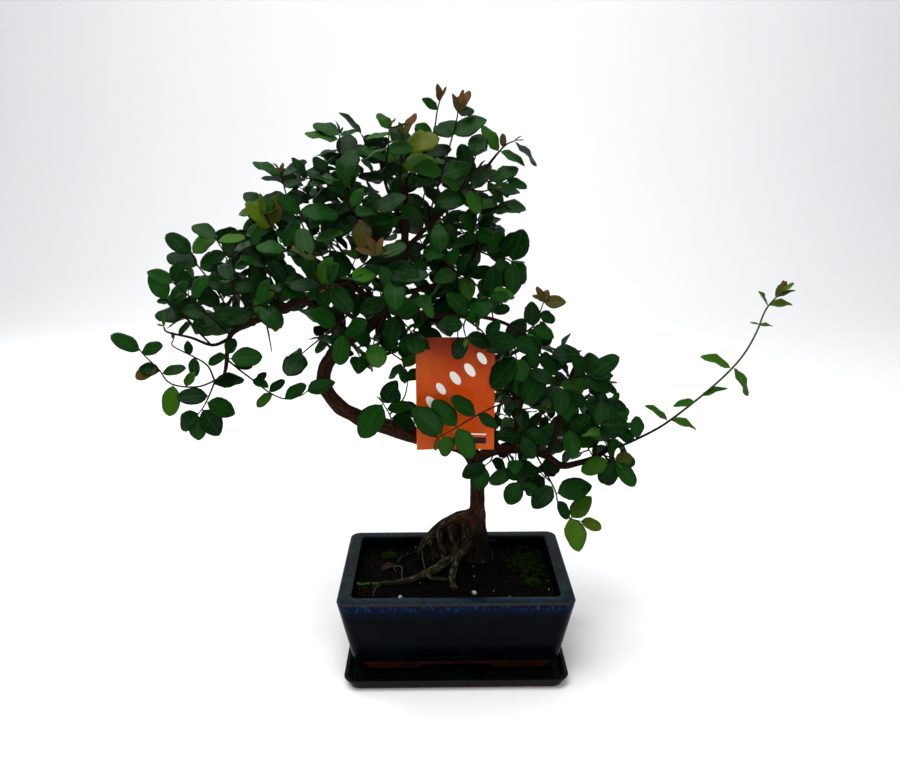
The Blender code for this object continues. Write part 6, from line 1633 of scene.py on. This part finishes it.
soil = {
    "edge": 0.0665, "peak": 0.0690, "moundX": 0.015, "moundY": 0.025, "moundLength": 0.075,
    "moundDepth": 0.05,
    "gap": 0.0004, "bottom": 0.0168, "columns": 130, "rows": 88, "crumbs": 95000, "specks": 700,
    "dark": (0.0007, 0.0005, 0.0004), "brown": (0.0022, 0.0014, 0.0010), "speck": (0.34, 0.33, 0.29),
    "crumbSize": (0.0004, 0.0017), "speckSize": (0.0004, 0.0009), "seed": 12,
}


def soilHeight(x, y):
    away = math.hypot((x - soil["moundX"]) / soil["moundLength"], (y - soil["moundY"]) / soil["moundDepth"])
    mound = (soil["peak"] - soil["edge"]) * math.exp(-away * away)
    return soil["edge"] + mound + 0.0005 * math.sin(x * 190 + 1.3) * math.cos(y * 230 + 0.4)


def intoRoundedRect(x, y, halfX, halfY, radius):
    # pulls a point of the square's corner onto the rounded corner
    overX = abs(x) - (halfX - radius)
    overY = abs(y) - (halfY - radius)
    if overX > 0 and overY > 0:
        away = math.hypot(overX, overY)
        reach = max(overX, overY)
        overX *= reach / away
        overY *= reach / away
        x = math.copysign(halfX - radius + overX, x)
        y = math.copysign(halfY - radius + overY, y)
    return x, y


def groundTree():
    # crumbs and pale specks strewn on the upward faces
    tree, start, end = geometryTree("strewnGround", [
        ("Crumbs", "NodeSocketFloat", 90000.0), ("Specks", "NodeSocketFloat", 2500.0),
        ("Crumb Low", "NodeSocketFloat", 0.0004), ("Crumb High", "NodeSocketFloat", 0.0016),
        ("Speck Low", "NodeSocketFloat", 0.0004), ("Speck High", "NodeSocketFloat", 0.0012),
        ("Seed", "NodeSocketInt", 1), ("Finish", "NodeSocketMaterial", None)])
    upward = facingUp(tree, 0.5)
    layers = [keepAs(tree, keepAs(tree, start["Geometry"], "pale", 0.0), "shade", 0.5)]
    for number, kind in enumerate(("Crumb", "Speck")):
        seed = math2(tree, "ADD", start["Seed"], number * 10.0)
        spots = scatter(tree, start["Geometry"], upward, start[kind + "s"], seed)
        lump = addNode(tree, "GeometryNodeMeshIcoSphere",
                       {"Radius": 1.0, "Subdivisions": 1 + number}).outputs[0]
        place = placeOf(tree)
        rough = addNode(tree, "ShaderNodeTexNoise",
                        {"Vector": place, "Scale": 1.4, "Detail": 1.0}).outputs[0]
        grow = math2(tree, "MULTIPLY_ADD", rough, 1.3, 0.35)
        lump = addNode(tree, "GeometryNodeSetPosition", {
            "Geometry": lump, "Position": scaled(tree, place, grow)}).outputs[0]
        wide = randomOf(tree, seed, "FLOAT", start[kind + " Low"], start[kind + " High"])
        squash = addNode(tree, "ShaderNodeCombineXYZ", {
            "X": times(tree, wide, 1.25), "Y": wide, "Z": times(tree, wide, 0.75)}).outputs[0]
        turn = randomOf(tree, seed, "FLOAT_VECTOR", high=(math.tau,) * 3)
        turned = addNode(tree, "FunctionNodeEulerToRotation", {0: turn}).outputs[0]
        laid = addNode(tree, "GeometryNodeInstanceOnPoints", {
            "Points": spots[0], "Instance": lump, "Rotation": turned, "Scale": squash}).outputs[0]
        laid = keepAs(tree, laid, "shade", randomOf(tree, seed), domain="INSTANCE")
        layers.append(keepAs(tree, laid, "pale", float(number), domain="INSTANCE"))
    joined = addNode(tree, "GeometryNodeJoinGeometry")
    for layer in reversed(layers):
        tree.links.new(layer, joined.inputs[0])
    return finishTree(tree, joined.outputs[0], start, end)


def soilMaterial():
    material, tree = newMaterial("soil")
    coords = objectPlace(tree)
    clods = noiseOf(tree, coords, 330, 5, 0.65)
    damp = noiseOf(tree, coords, 40, 3)
    shade = attributeOf(tree, "shade")
    colour = mixOf(tree, rangeOf(tree, clods, 0.36, 0.66), soil["dark"], soil["brown"])
    colour = painted(tree, colour, (0.0052, 0.0034, 0.0022), shade, 0.55, 1.0, 0.55)
    colour = painted(tree, colour, (0.0005, 0.0004, 0.0003), damp, 0.45, 0.62, 0.6)
    colour = mixOf(tree, attributeOf(tree, "pale"), colour, soil["speck"])
    return finishLook(material, {
        "Base Color": colour, "Roughness": rangeOf(tree, damp, 0.3, 0.7, 0.95, 0.72),
        "Specular IOR Level": 0.03, "Normal": bumpOf(tree, clods, 0.8, 0.0012)})


def buildSoil(material):
    halfX = potSize(soil["edge"], pot["length"], pot["rim"]) / 2 - soil["gap"]
    halfY = potSize(soil["edge"], pot["depth"], pot["rim"]) / 2 - soil["gap"]
    bm = bmesh.new()
    bmesh.ops.create_grid(bm, x_segments=soil["columns"], y_segments=soil["rows"], size=0.5)
    for corner in bm.verts:
        x, y = intoRoundedRect(corner.co.x * 2 * halfX, corner.co.y * 2 * halfY, halfX, halfY, 0.0046)
        clod = noise.noise((x * 95, y * 95, 0.3)) * 0.0011 + noise.noise((x * 300, y * 300, 4.1)) * 0.0005
        edge = min(1.0, (halfX - abs(x)) / 0.006, (halfY - abs(y)) / 0.006)
        corner.co = (x, y, soilHeight(x, y) + clod * max(0.0, edge))
    rim = [edge for edge in bm.edges if edge.is_boundary]
    shrink = (potSize(soil["bottom"], pot["length"], pot["rim"]) / 2 - soil["gap"]) / halfX
    for item in bmesh.ops.extrude_edge_only(bm, edges=rim)["geom"]:
        if isinstance(item, bmesh.types.BMVert):
            item.co = (item.co.x * shrink, item.co.y * shrink, soil["bottom"])
    bmesh.ops.holes_fill(bm, edges=[edge for edge in bm.edges if edge.is_boundary])
    bmesh.ops.recalc_face_normals(bm, faces=bm.faces)
    piece = meshFrom("soilBed", bm)
    piece = useTree(piece, groundTree(), {
        "Crumbs": soil["crumbs"], "Specks": soil["specks"], "Crumb Low": soil["crumbSize"][0],
        "Crumb High": soil["crumbSize"][1], "Speck Low": soil["speckSize"][0],
        "Speck High": soil["speckSize"][1], "Seed": soil["seed"], "Finish": material})
    seat(piece, ["soil"], 60)
    print("soil", len(piece.data.polygons), "faces")


moss = {"blades": 900000, "height": 0.0024, "width": 0.00026, "seed": 5,
        "specks": 130, "across": (0.046, 0.086, 0.067), "deep": (-0.030, 0.052, 0.010),
        "dark": (0.0015, 0.0030, 0.0006), "bright": (0.020, 0.050, 0.0015), "brown": (0.004, 0.004, 0.0015)}


def domeOf(name, low, high, seed, rough=0.18, levels=3):
    # an uneven rounded lump that fills a box
    bm = bmesh.new()
    bmesh.ops.create_icosphere(bm, subdivisions=levels, radius=1.0)
    middle = (low + high) / 2
    half = (high - low) / 2
    for corner in bm.verts:
        uneven = 1 - rough * 0.5 + rough * noise.noise(corner.co * 1.7 + Vector((seed, 0, 0)))
        corner.co = Vector([middle[axis] + corner.co[axis] * half[axis] * uneven for axis in range(3)])
    return meshFrom(name, bm)


def mossTree():
    # short pointed blades that stand on a cushion's upper faces
    tree, start, end = geometryTree("mossBlades", [
        ("Density", "NodeSocketFloat", 500000.0), ("Height", "NodeSocketFloat", 0.0015),
        ("Width", "NodeSocketFloat", 0.0002), ("Seed", "NodeSocketInt", 1),
        ("Finish", "NodeSocketMaterial", None)])
    base = keepAs(tree, start["Geometry"], "tip", 0.0)
    spots = scatter(tree, base, facingUp(tree, 0.15), start["Density"], start["Seed"])
    blade = addNode(tree, "GeometryNodeMeshCone", {
        "Vertices": 3, "Radius Top": 0.0, "Radius Bottom": start["Width"],
        "Depth": start["Height"]}).outputs[0]
    height = axisOf(tree, placeOf(tree), "Z")
    blade = keepAs(tree, blade, "tip", math2(tree, "DIVIDE", height, start["Height"]))
    jitter = randomOf(tree, start["Seed"], "FLOAT_VECTOR", (-0.7, -0.7, -3.0), (0.7, 0.7, 3.0))
    turn = addNode(tree, "FunctionNodeRotateRotation", {0: spots["Rotation"], 1: jitter}).outputs[0]
    size = randomOf(tree, start["Seed"], "FLOAT", 0.5, 1.2)
    laid = addNode(tree, "GeometryNodeInstanceOnPoints", {
        "Points": spots[0], "Instance": blade, "Rotation": turn, "Scale": size}).outputs[0]
    joined = addNode(tree, "GeometryNodeJoinGeometry")
    tree.links.new(laid, joined.inputs[0])
    tree.links.new(base, joined.inputs[0])
    return finishTree(tree, joined.outputs[0], start, end)


def mossMaterial():
    material, tree = newMaterial("moss")
    coords = objectPlace(tree)
    patch = noiseOf(tree, coords, 260, 4)
    colour = mixOf(tree, rangeOf(tree, attributeOf(tree, "tip"), 0.0, 0.9), moss["dark"], moss["bright"])
    colour = painted(tree, colour, moss["brown"], patch, 0.5, 0.72, 0.75)
    return finishLook(material, {
        "Base Color": colour, "Roughness": 0.9, "Specular IOR Level": 0.04,
        "Normal": bumpOf(tree, patch, 0.5, 0.0006)})


def buildMoss():
    material = mossMaterial()
    tree = mossTree()
    for number, name in enumerate(("moss_right", "moss_right_back", "moss_left_back")):
        low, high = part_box(name)
        piece = domeOf(name.replace("moss_", "mossTuft_"), low, high - Vector((0, 0, 0.0008)), number * 3.1,
                       0.5)
        piece = useTree(piece, tree, {
            "Density": moss["blades"] * 3.0, "Height": moss["height"], "Width": moss["width"],
            "Seed": moss["seed"] + number, "Finish": material})
        seat(piece, [name])
    dice = random.Random(moss["seed"])
    bm = bmesh.new()
    for _ in range(moss["specks"]):
        x, y = dice.triangular(*moss["across"]), dice.triangular(*moss["deep"])
        wide = dice.uniform(0.0008, 0.0026)
        place = Matrix.Translation((x, y, soilHeight(x, y) + 0.0004))
        squash = Matrix.Diagonal((wide, wide, 0.0010, 1))
        bmesh.ops.create_icosphere(bm, subdivisions=2, radius=1.0, matrix=place @ squash)
    piece = useTree(meshFrom("mossSpecks", bm), tree, {
        "Density": moss["blades"] * 2.0, "Height": moss["height"] * 0.7, "Width": moss["width"],
        "Seed": moss["seed"] + 9, "Finish": material})
    seat(piece, [])
    print("moss done")


def buildPumice():
    material, tree = newMaterial("pumice")
    coords = objectPlace(tree)
    pores = noiseOf(tree, coords, 1500, 3, 0.7)
    tint = noiseOf(tree, coords, 300, 3)
    colour = mixOf(tree, rangeOf(tree, tint, 0.35, 0.65), (0.56, 0.52, 0.44), (0.40, 0.345, 0.27))
    colour = painted(tree, colour, (0.16, 0.12, 0.09), pores, 0.56, 0.70, 0.7)
    finishLook(material, {
        "Base Color": colour, "Roughness": 0.93, "Normal": bumpOf(tree, pores, 0.8, 0.0006)})
    for number, name in enumerate(("pumice_front", "pumice_left")):
        low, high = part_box(name)
        piece = domeOf(name.replace("pumice_", "pumiceGrain_"), low, high, 7.7 * number + 1, 0.5, 4)
        wear(piece, material)
        seat(piece, [name])
    print("pumice done")


dryLeaf = {"length": 0.0165, "width": 0.0098, "columns": 18, "rows": 10, "thickness": 0.00025,
           "heading": 200}


def buildDryLeaf():
    low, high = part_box("dry_leaf")
    middle = (low + high) / 2
    ground = soilHeight(middle.x, middle.y)
    heading = math.radians(dryLeaf["heading"])
    forward = Vector((math.cos(heading), math.sin(heading), 0))
    side = Vector((-forward.y, forward.x, 0))
    columns, rows = dryLeaf["columns"], dryLeaf["rows"]
    bm = bmesh.new()
    grid = []
    for row in range(columns + 1):
        t = row / columns
        outline = max(0.02, math.sin(math.pi * min(1.0, t * 1.02) ** 0.85)) * 0.5
        line = []
        for column in range(rows + 1):
            across = (column / rows * 2 - 1) * outline
            curl = abs(across) ** 1.6 * 0.0062 + 0.0012 * math.sin(t * 5.2 + 0.4)
            crinkle = 0.0006 * noise.noise((t * 7, across * 9, 2.0))
            place = middle + forward * ((t - 0.5) * dryLeaf["length"]) + side * (across * dryLeaf["width"])
            line.append(bm.verts.new((place.x, place.y, ground + 0.0008 + curl + crinkle)))
        grid.append(line)
    for lower, upper in zip(grid, grid[1:]):
        for index in range(rows):
            bm.faces.new((lower[index], upper[index], upper[index + 1], lower[index + 1]))
    bmesh.ops.recalc_face_normals(bm, faces=bm.faces)
    piece = meshFrom("dryLeaf", bm)
    piece = thickened(piece, dryLeaf["thickness"])
    material, tree = newMaterial("dryLeaf")
    coords = objectPlace(tree)
    cloud = noiseOf(tree, coords, 260, 4)
    fibre = noiseOf(tree, objectPlace(tree, (1, 5, 5)), 420, 3)
    colour = mixOf(tree, rangeOf(tree, cloud, 0.36, 0.66), (0.026, 0.008, 0.005), (0.012, 0.0045, 0.003))
    colour = painted(tree, colour, (0.046, 0.018, 0.010), fibre, 0.56, 0.7, 0.5)
    finishLook(material, {
        "Base Color": colour, "Roughness": 0.75, "Specular IOR Level": 0.08,
        "Normal": bumpOf(tree, fibre, 0.4, 0.0004)})
    wear(piece, material)
    seat(piece, ["dry_leaf"])
    print("dry leaf done")


sprouts = {
    "seed": 3, "green": (0.026, 0.042, 0.010), "pale": (0.060, 0.068, 0.026),
    "leafy": 3, "headings": (15, 165), "size": (0.26, 0.42), "sky": 0.5,
    "strands": [
        [(-8.5, -2.7, 6.62, 0.035), (-8.45, -2.9, 7.2, 0.03), (-8.35, -3.0, 7.5, 0.02)],
        [(-8.0, -2.85, 6.62, 0.035), (-7.95, -2.9, 7.3, 0.03), (-7.8, -3.0, 7.55, 0.02)],
        [(-7.3, -2.5, 6.62, 0.035), (-7.25, -2.6, 7.15, 0.03), (-7.1, -2.65, 7.35, 0.02)],
        [(-6.0, 1.6, 6.68, 0.05), (-5.4, 1.35, 6.92, 0.05), (-4.9, 1.1, 6.95, 0.045),
         (-4.85, 0.0, 6.9, 0.04),
         (-4.8, -1.2, 6.7, 0.03)],
        [(-5.5, 1.4, 6.88, 0.035), (-5.6, 0.8, 7.0, 0.03), (-5.3, 0.3, 6.75, 0.02)],
        [(-3.0, 2.5, 7.9, 0.045), (-2.95, 2.0, 7.3, 0.04), (-2.75, 0.9, 6.9, 0.035)],
    ],
}


def buildSprouts(tubes, leafFinish):
    material, tree = newMaterial("sprout")
    mottle = noiseOf(tree, objectPlace(tree), 900, 3)
    colour = mixOf(tree, rangeOf(tree, mottle, 0.4, 0.6), sprouts["green"], sprouts["pale"])
    finishLook(material, {
        "Base Color": colour, "Roughness": 0.6, "Specular IOR Level": 0.2,
        "Normal": bumpOf(tree, mottle, 0.3, 0.0002)})
    strands = [[Vector(point) for point in strand] for strand in sprouts["strands"]]
    seat(tubesAlong("sproutStems", strands, tubes, material, 6, 8), [])
    dice = random.Random(sprouts["seed"])
    leaves = []
    for strand in strands[:sprouts["leafy"]]:
        for heading in sprouts["headings"]:
            direction = headingVector(math.radians(heading + dice.uniform(-20, 20)), dice.uniform(-0.5, 0.5))
            leaf = turnedLeaf(strand[-1].xyz, direction, trials[0], dice.uniform(-20, 20), sprouts["sky"])
            leaves.append(leafOf("sprouts", 0, len(leaves), 1.0, leaf, dice.uniform(*sprouts["size"]),
                                 strand))
    buildLeaves(leaves, leafFinish)
    print("sprouts done", len(leaves))


# the tag, its wire and the drainage screens

tag = {
    "bars": [(0.012, 0.014, 0.2045, 0.0028, "black"), (0.018, 0.008, 0.2100, 0.0006, "white")],
    "width": 0.0655, "height": 0.0975, "thickness": 0.0006, "y": -0.0200, "bottom": 0.1962, "bow": -0.0020,
    "holeDrop": 0.006, "holeRadius": 0.0025, "holeX": 0.002, "columns": 134, "rows": 26, "teeth": 0.0007,
    "orange": (0.50, 0.052, 0.0008), "deep": (0.135, 0.009, 0.0006), "white": (0.85, 0.82, 0.76),
    "black": (0.010, 0.006, 0.005), "back": (0.60, 0.54, 0.46), "seedTurn": 35,
    "seeds": [(0.022, 0.276, 0.0030), (0.012, 0.266, 0.0034), (0.000, 0.259, 0.0034),
              (-0.012, 0.250, 0.0030),
              (-0.020, 0.238, 0.0034), (-0.024, 0.225, 0.0026)],
}


def tagMaterial():
    # plain orange with a generic pattern: a falling row of pale seeds, a dark bar and a thin line
    material, tree = newMaterial("tag")
    coords = addNode(tree, "ShaderNodeTexCoord").outputs["Object"]
    x, z = axisOf(tree, coords, "X"), axisOf(tree, coords, "Z")
    facingBack = axisOf(tree, addNode(tree, "ShaderNodeNewGeometry").outputs["Normal"], "Y")
    cloud = noiseOf(tree, coords, 30, 3)
    high = rangeOf(tree, z, tag["bottom"], tag["bottom"] + tag["height"])
    colour = mixOf(tree, rangeOf(tree, high, 0.62, 1.0), tag["orange"], tag["deep"])
    colour = painted(tree, colour, (0.90, 0.25, 0.03), cloud, 0.4, 0.7, 0.18)
    spot = addNode(tree, "ShaderNodeCombineXYZ", {"X": x, "Z": z}).outputs[0]
    for centreX, centreZ, wide in tag["seeds"]:
        offset = addNode(tree, "ShaderNodeVectorMath", {0: spot, 1: (centreX, 0.0, centreZ)},
                         operation="SUBTRACT")
        turned = addNode(tree, "ShaderNodeVectorRotate", {
            "Vector": offset.outputs[0], "Angle": math.radians(tag["seedTurn"])},
            rotation_type="Y_AXIS").outputs[0]
        narrow = addNode(tree, "ShaderNodeVectorMath", {0: turned, 1: (1.0, 1.0, 0.52)},
                         operation="MULTIPLY")
        away = addNode(tree, "ShaderNodeVectorMath", {0: narrow.outputs[0]},
                       operation="LENGTH").outputs["Value"]
        colour = mixOf(tree, math2(tree, "LESS_THAN", away, wide), colour, tag["white"])
    for middleX, halfX, middleZ, halfZ, shade in tag["bars"]:
        bar = times(tree, math2(tree, "COMPARE", z, middleZ, halfZ),
                    math2(tree, "COMPARE", x, middleX, halfX))
        colour = mixOf(tree, bar, colour, tag[shade])
    colour = mixOf(tree, math2(tree, "GREATER_THAN", facingBack, 0.3), colour, tag["back"])
    return finishLook(material, {
        "Base Color": colour, "Roughness": rangeOf(tree, cloud, 0.3, 0.7, 0.20, 0.30),
        "Specular IOR Level": 0.10, "Coat Weight": 0.04, "Normal": bumpOf(tree, cloud, 0.10, 0.0008)})


def buildTag():
    bm = bmesh.new()
    bmesh.ops.create_grid(bm, x_segments=tag["columns"], y_segments=tag["rows"], size=0.5)
    for corner in bm.verts:
        across = corner.co.x * 2
        up = corner.co.y + 0.5
        z = tag["bottom"] + up * tag["height"]
        column = round((corner.co.x + 0.5) * tag["columns"])
        if up < 0.001 and column % 2:
            z += tag["teeth"]
        corner.co = (across * tag["width"] / 2, tag["y"] + tag["bow"] * across * across, z)
    piece = meshFrom("nurseryTag", bm)
    piece = thickened(piece, tag["thickness"])
    hole = tag["bottom"] + tag["height"] - tag["holeDrop"]
    cutAway(piece, [rodOf("punch", tag["holeRadius"], 0.01, (tag["holeX"], tag["y"], hole), 40, True)])
    wear(piece, tagMaterial())
    seat(piece, ["label_card"], 35)


tie = {"radius": 0.00048, "gap": 0.0004, "steps": 10, "sides": 10}


def buildTie(limb, tubes):
    # the same loop as the frame's wire: through the tag's hole and over the limb
    point = None
    for start, end in zip(limb, limb[1:]):
        if min(start.x, end.x) <= tag["holeX"] * 100 <= max(start.x, end.x):
            point = start.lerp(end, (tag["holeX"] * 100 - start.x) / (end.x - start.x))
    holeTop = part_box("label_tie")[0].z + tie["radius"]
    over = point.w * cm + 0.0005 + tie["gap"]
    y, z = point.y * cm, point.z * cm
    front = tag["y"]
    outline = [(front, holeTop), (front - 0.0035, holeTop + 0.003), (y - over - 0.001, holeTop + 0.016),
               (y - over, z), (y, z + over), (y + over, z), (y + over - 0.001, holeTop + 0.016),
               (front + 0.0035, holeTop + 0.003)]
    loop = [Vector((tag["holeX"] / cm, py / cm, pz / cm, tie["radius"] / cm)) for py, pz in outline]
    ring = loop[-1:] + loop + loop[:2]
    fine = []
    for index in range(1, len(ring) - 2):
        fine += [curvePoint(*ring[index - 1:index + 3], step / tie["steps"]) for step in range(tie["steps"])]
    count = len(fine)
    mesh = bpy.data.meshes.new("tagWire")
    mesh.from_pydata([place.xyz * cm for place in fine],
                     [(index, (index + 1) % count) for index in range(count)], [])
    storeOn(mesh, "girth", "FLOAT", [tie["radius"]] * count)
    material, tree = newMaterial("tagWire")
    coords = objectPlace(tree)
    scuff = noiseOf(tree, coords, 900, 3)
    tone = mixOf(tree, rangeOf(tree, scuff, 0.45, 0.7), (0.012, 0.030, 0.012), (0.030, 0.060, 0.026))
    finishLook(material, {
        "Base Color": tone, "Roughness": rangeOf(tree, scuff, 0.3, 0.7, 0.38, 0.55)})
    piece = useTree(linked("tagWire", mesh), tubes, {"Sides": tie["sides"], "Finish": material})
    seat(piece, ["label_tie"])
    print("tag and wire done")


def finishScreens():
    material, tree = newMaterial("drainScreen")
    coords = objectPlace(tree, (700, 700, 1))
    weave = addNode(tree, "ShaderNodeTexWave", {"Vector": coords, "Scale": 1.0},
                    bands_direction="X").outputs["Fac"]
    cross = addNode(tree, "ShaderNodeTexWave", {"Vector": coords, "Scale": 1.0},
                    bands_direction="Y").outputs["Fac"]
    grid = math2(tree, "MAXIMUM", weave, cross)
    finishLook(material, {
        "Base Color": mixOf(tree, grid, (0.006, 0.006, 0.006), (0.035, 0.035, 0.038)), "Roughness": 0.5,
        "Normal": bumpOf(tree, grid, 0.8, 0.0006)})
    for name in ("drainage_mesh_left", "drainage_mesh_right"):
        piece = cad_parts[name]
        wear(piece, material)


backdrop = {"width": 7.0, "front": -2.4, "back": 1.5, "bend": 0.9, "top": 3.4, "drop": -0.0002}


def buildFloor():
    # a pale floor that bends up into the backdrop
    bm = bmesh.new()
    profile = [(backdrop["front"], 0.0), (backdrop["back"], 0.0)]
    for step in range(1, 25):
        angle = math.radians(90 * step / 24)
        profile.append((backdrop["back"] + backdrop["bend"] * math.sin(angle),
                        backdrop["bend"] * (1 - math.cos(angle))))
    profile.append((backdrop["back"] + backdrop["bend"], backdrop["top"]))
    rows = [[bm.verts.new((side * backdrop["width"] / 2, y, z + backdrop["drop"])) for y, z in profile]
            for side in (-1, 1)]
    for index in range(len(profile) - 1):
        bm.faces.new((rows[0][index], rows[1][index], rows[1][index + 1], rows[0][index + 1])).smooth = True
    floor = meshFrom("floor", bm)
    material, tree = newMaterial("floor")
    coords = objectPlace(tree)
    tone = mixOf(tree, noiseOf(tree, coords, 3, 2), (0.86, 0.865, 0.87), (0.90, 0.90, 0.90))
    finishLook(material, {
        "Base Color": tone, "Roughness": 0.75, "Specular IOR Level": 0.2})
    wear(floor, material)
    print("floor done")


addCamera()
addLamps()
buildFloor()
woodLines = woodPaths()
sprayLines = sprayPaths(list(woodLines.values()))
tubes = tubeTree()
bark = barkMaterial()
buildWood(woodLines, tubes, bark)
buildTwigs(sprayLines, tubes, bark)
allLeaves = growLeaves(sprayLines)
leafFinish = leafMaterial()
buildLeaves(allLeaves, leafFinish)
innerLeaves, innerTwigs, takenShapes = growInner(allLeaves, woodLines, sprayLines)
buildInner(innerLeaves, innerTwigs, tubes, bark, leafFinish)
buildTips(sprayLines, takenShapes, leafFinish)
buildPot(glazeMaterial())
buildSaucer()
buildSoil(soilMaterial())
buildMoss()
buildPumice()
buildDryLeaf()
buildSprouts(tubes, leafFinish)
buildTag()
buildTie(sprayLines["spray_label_limb"][0], tubes)
finishScreens()
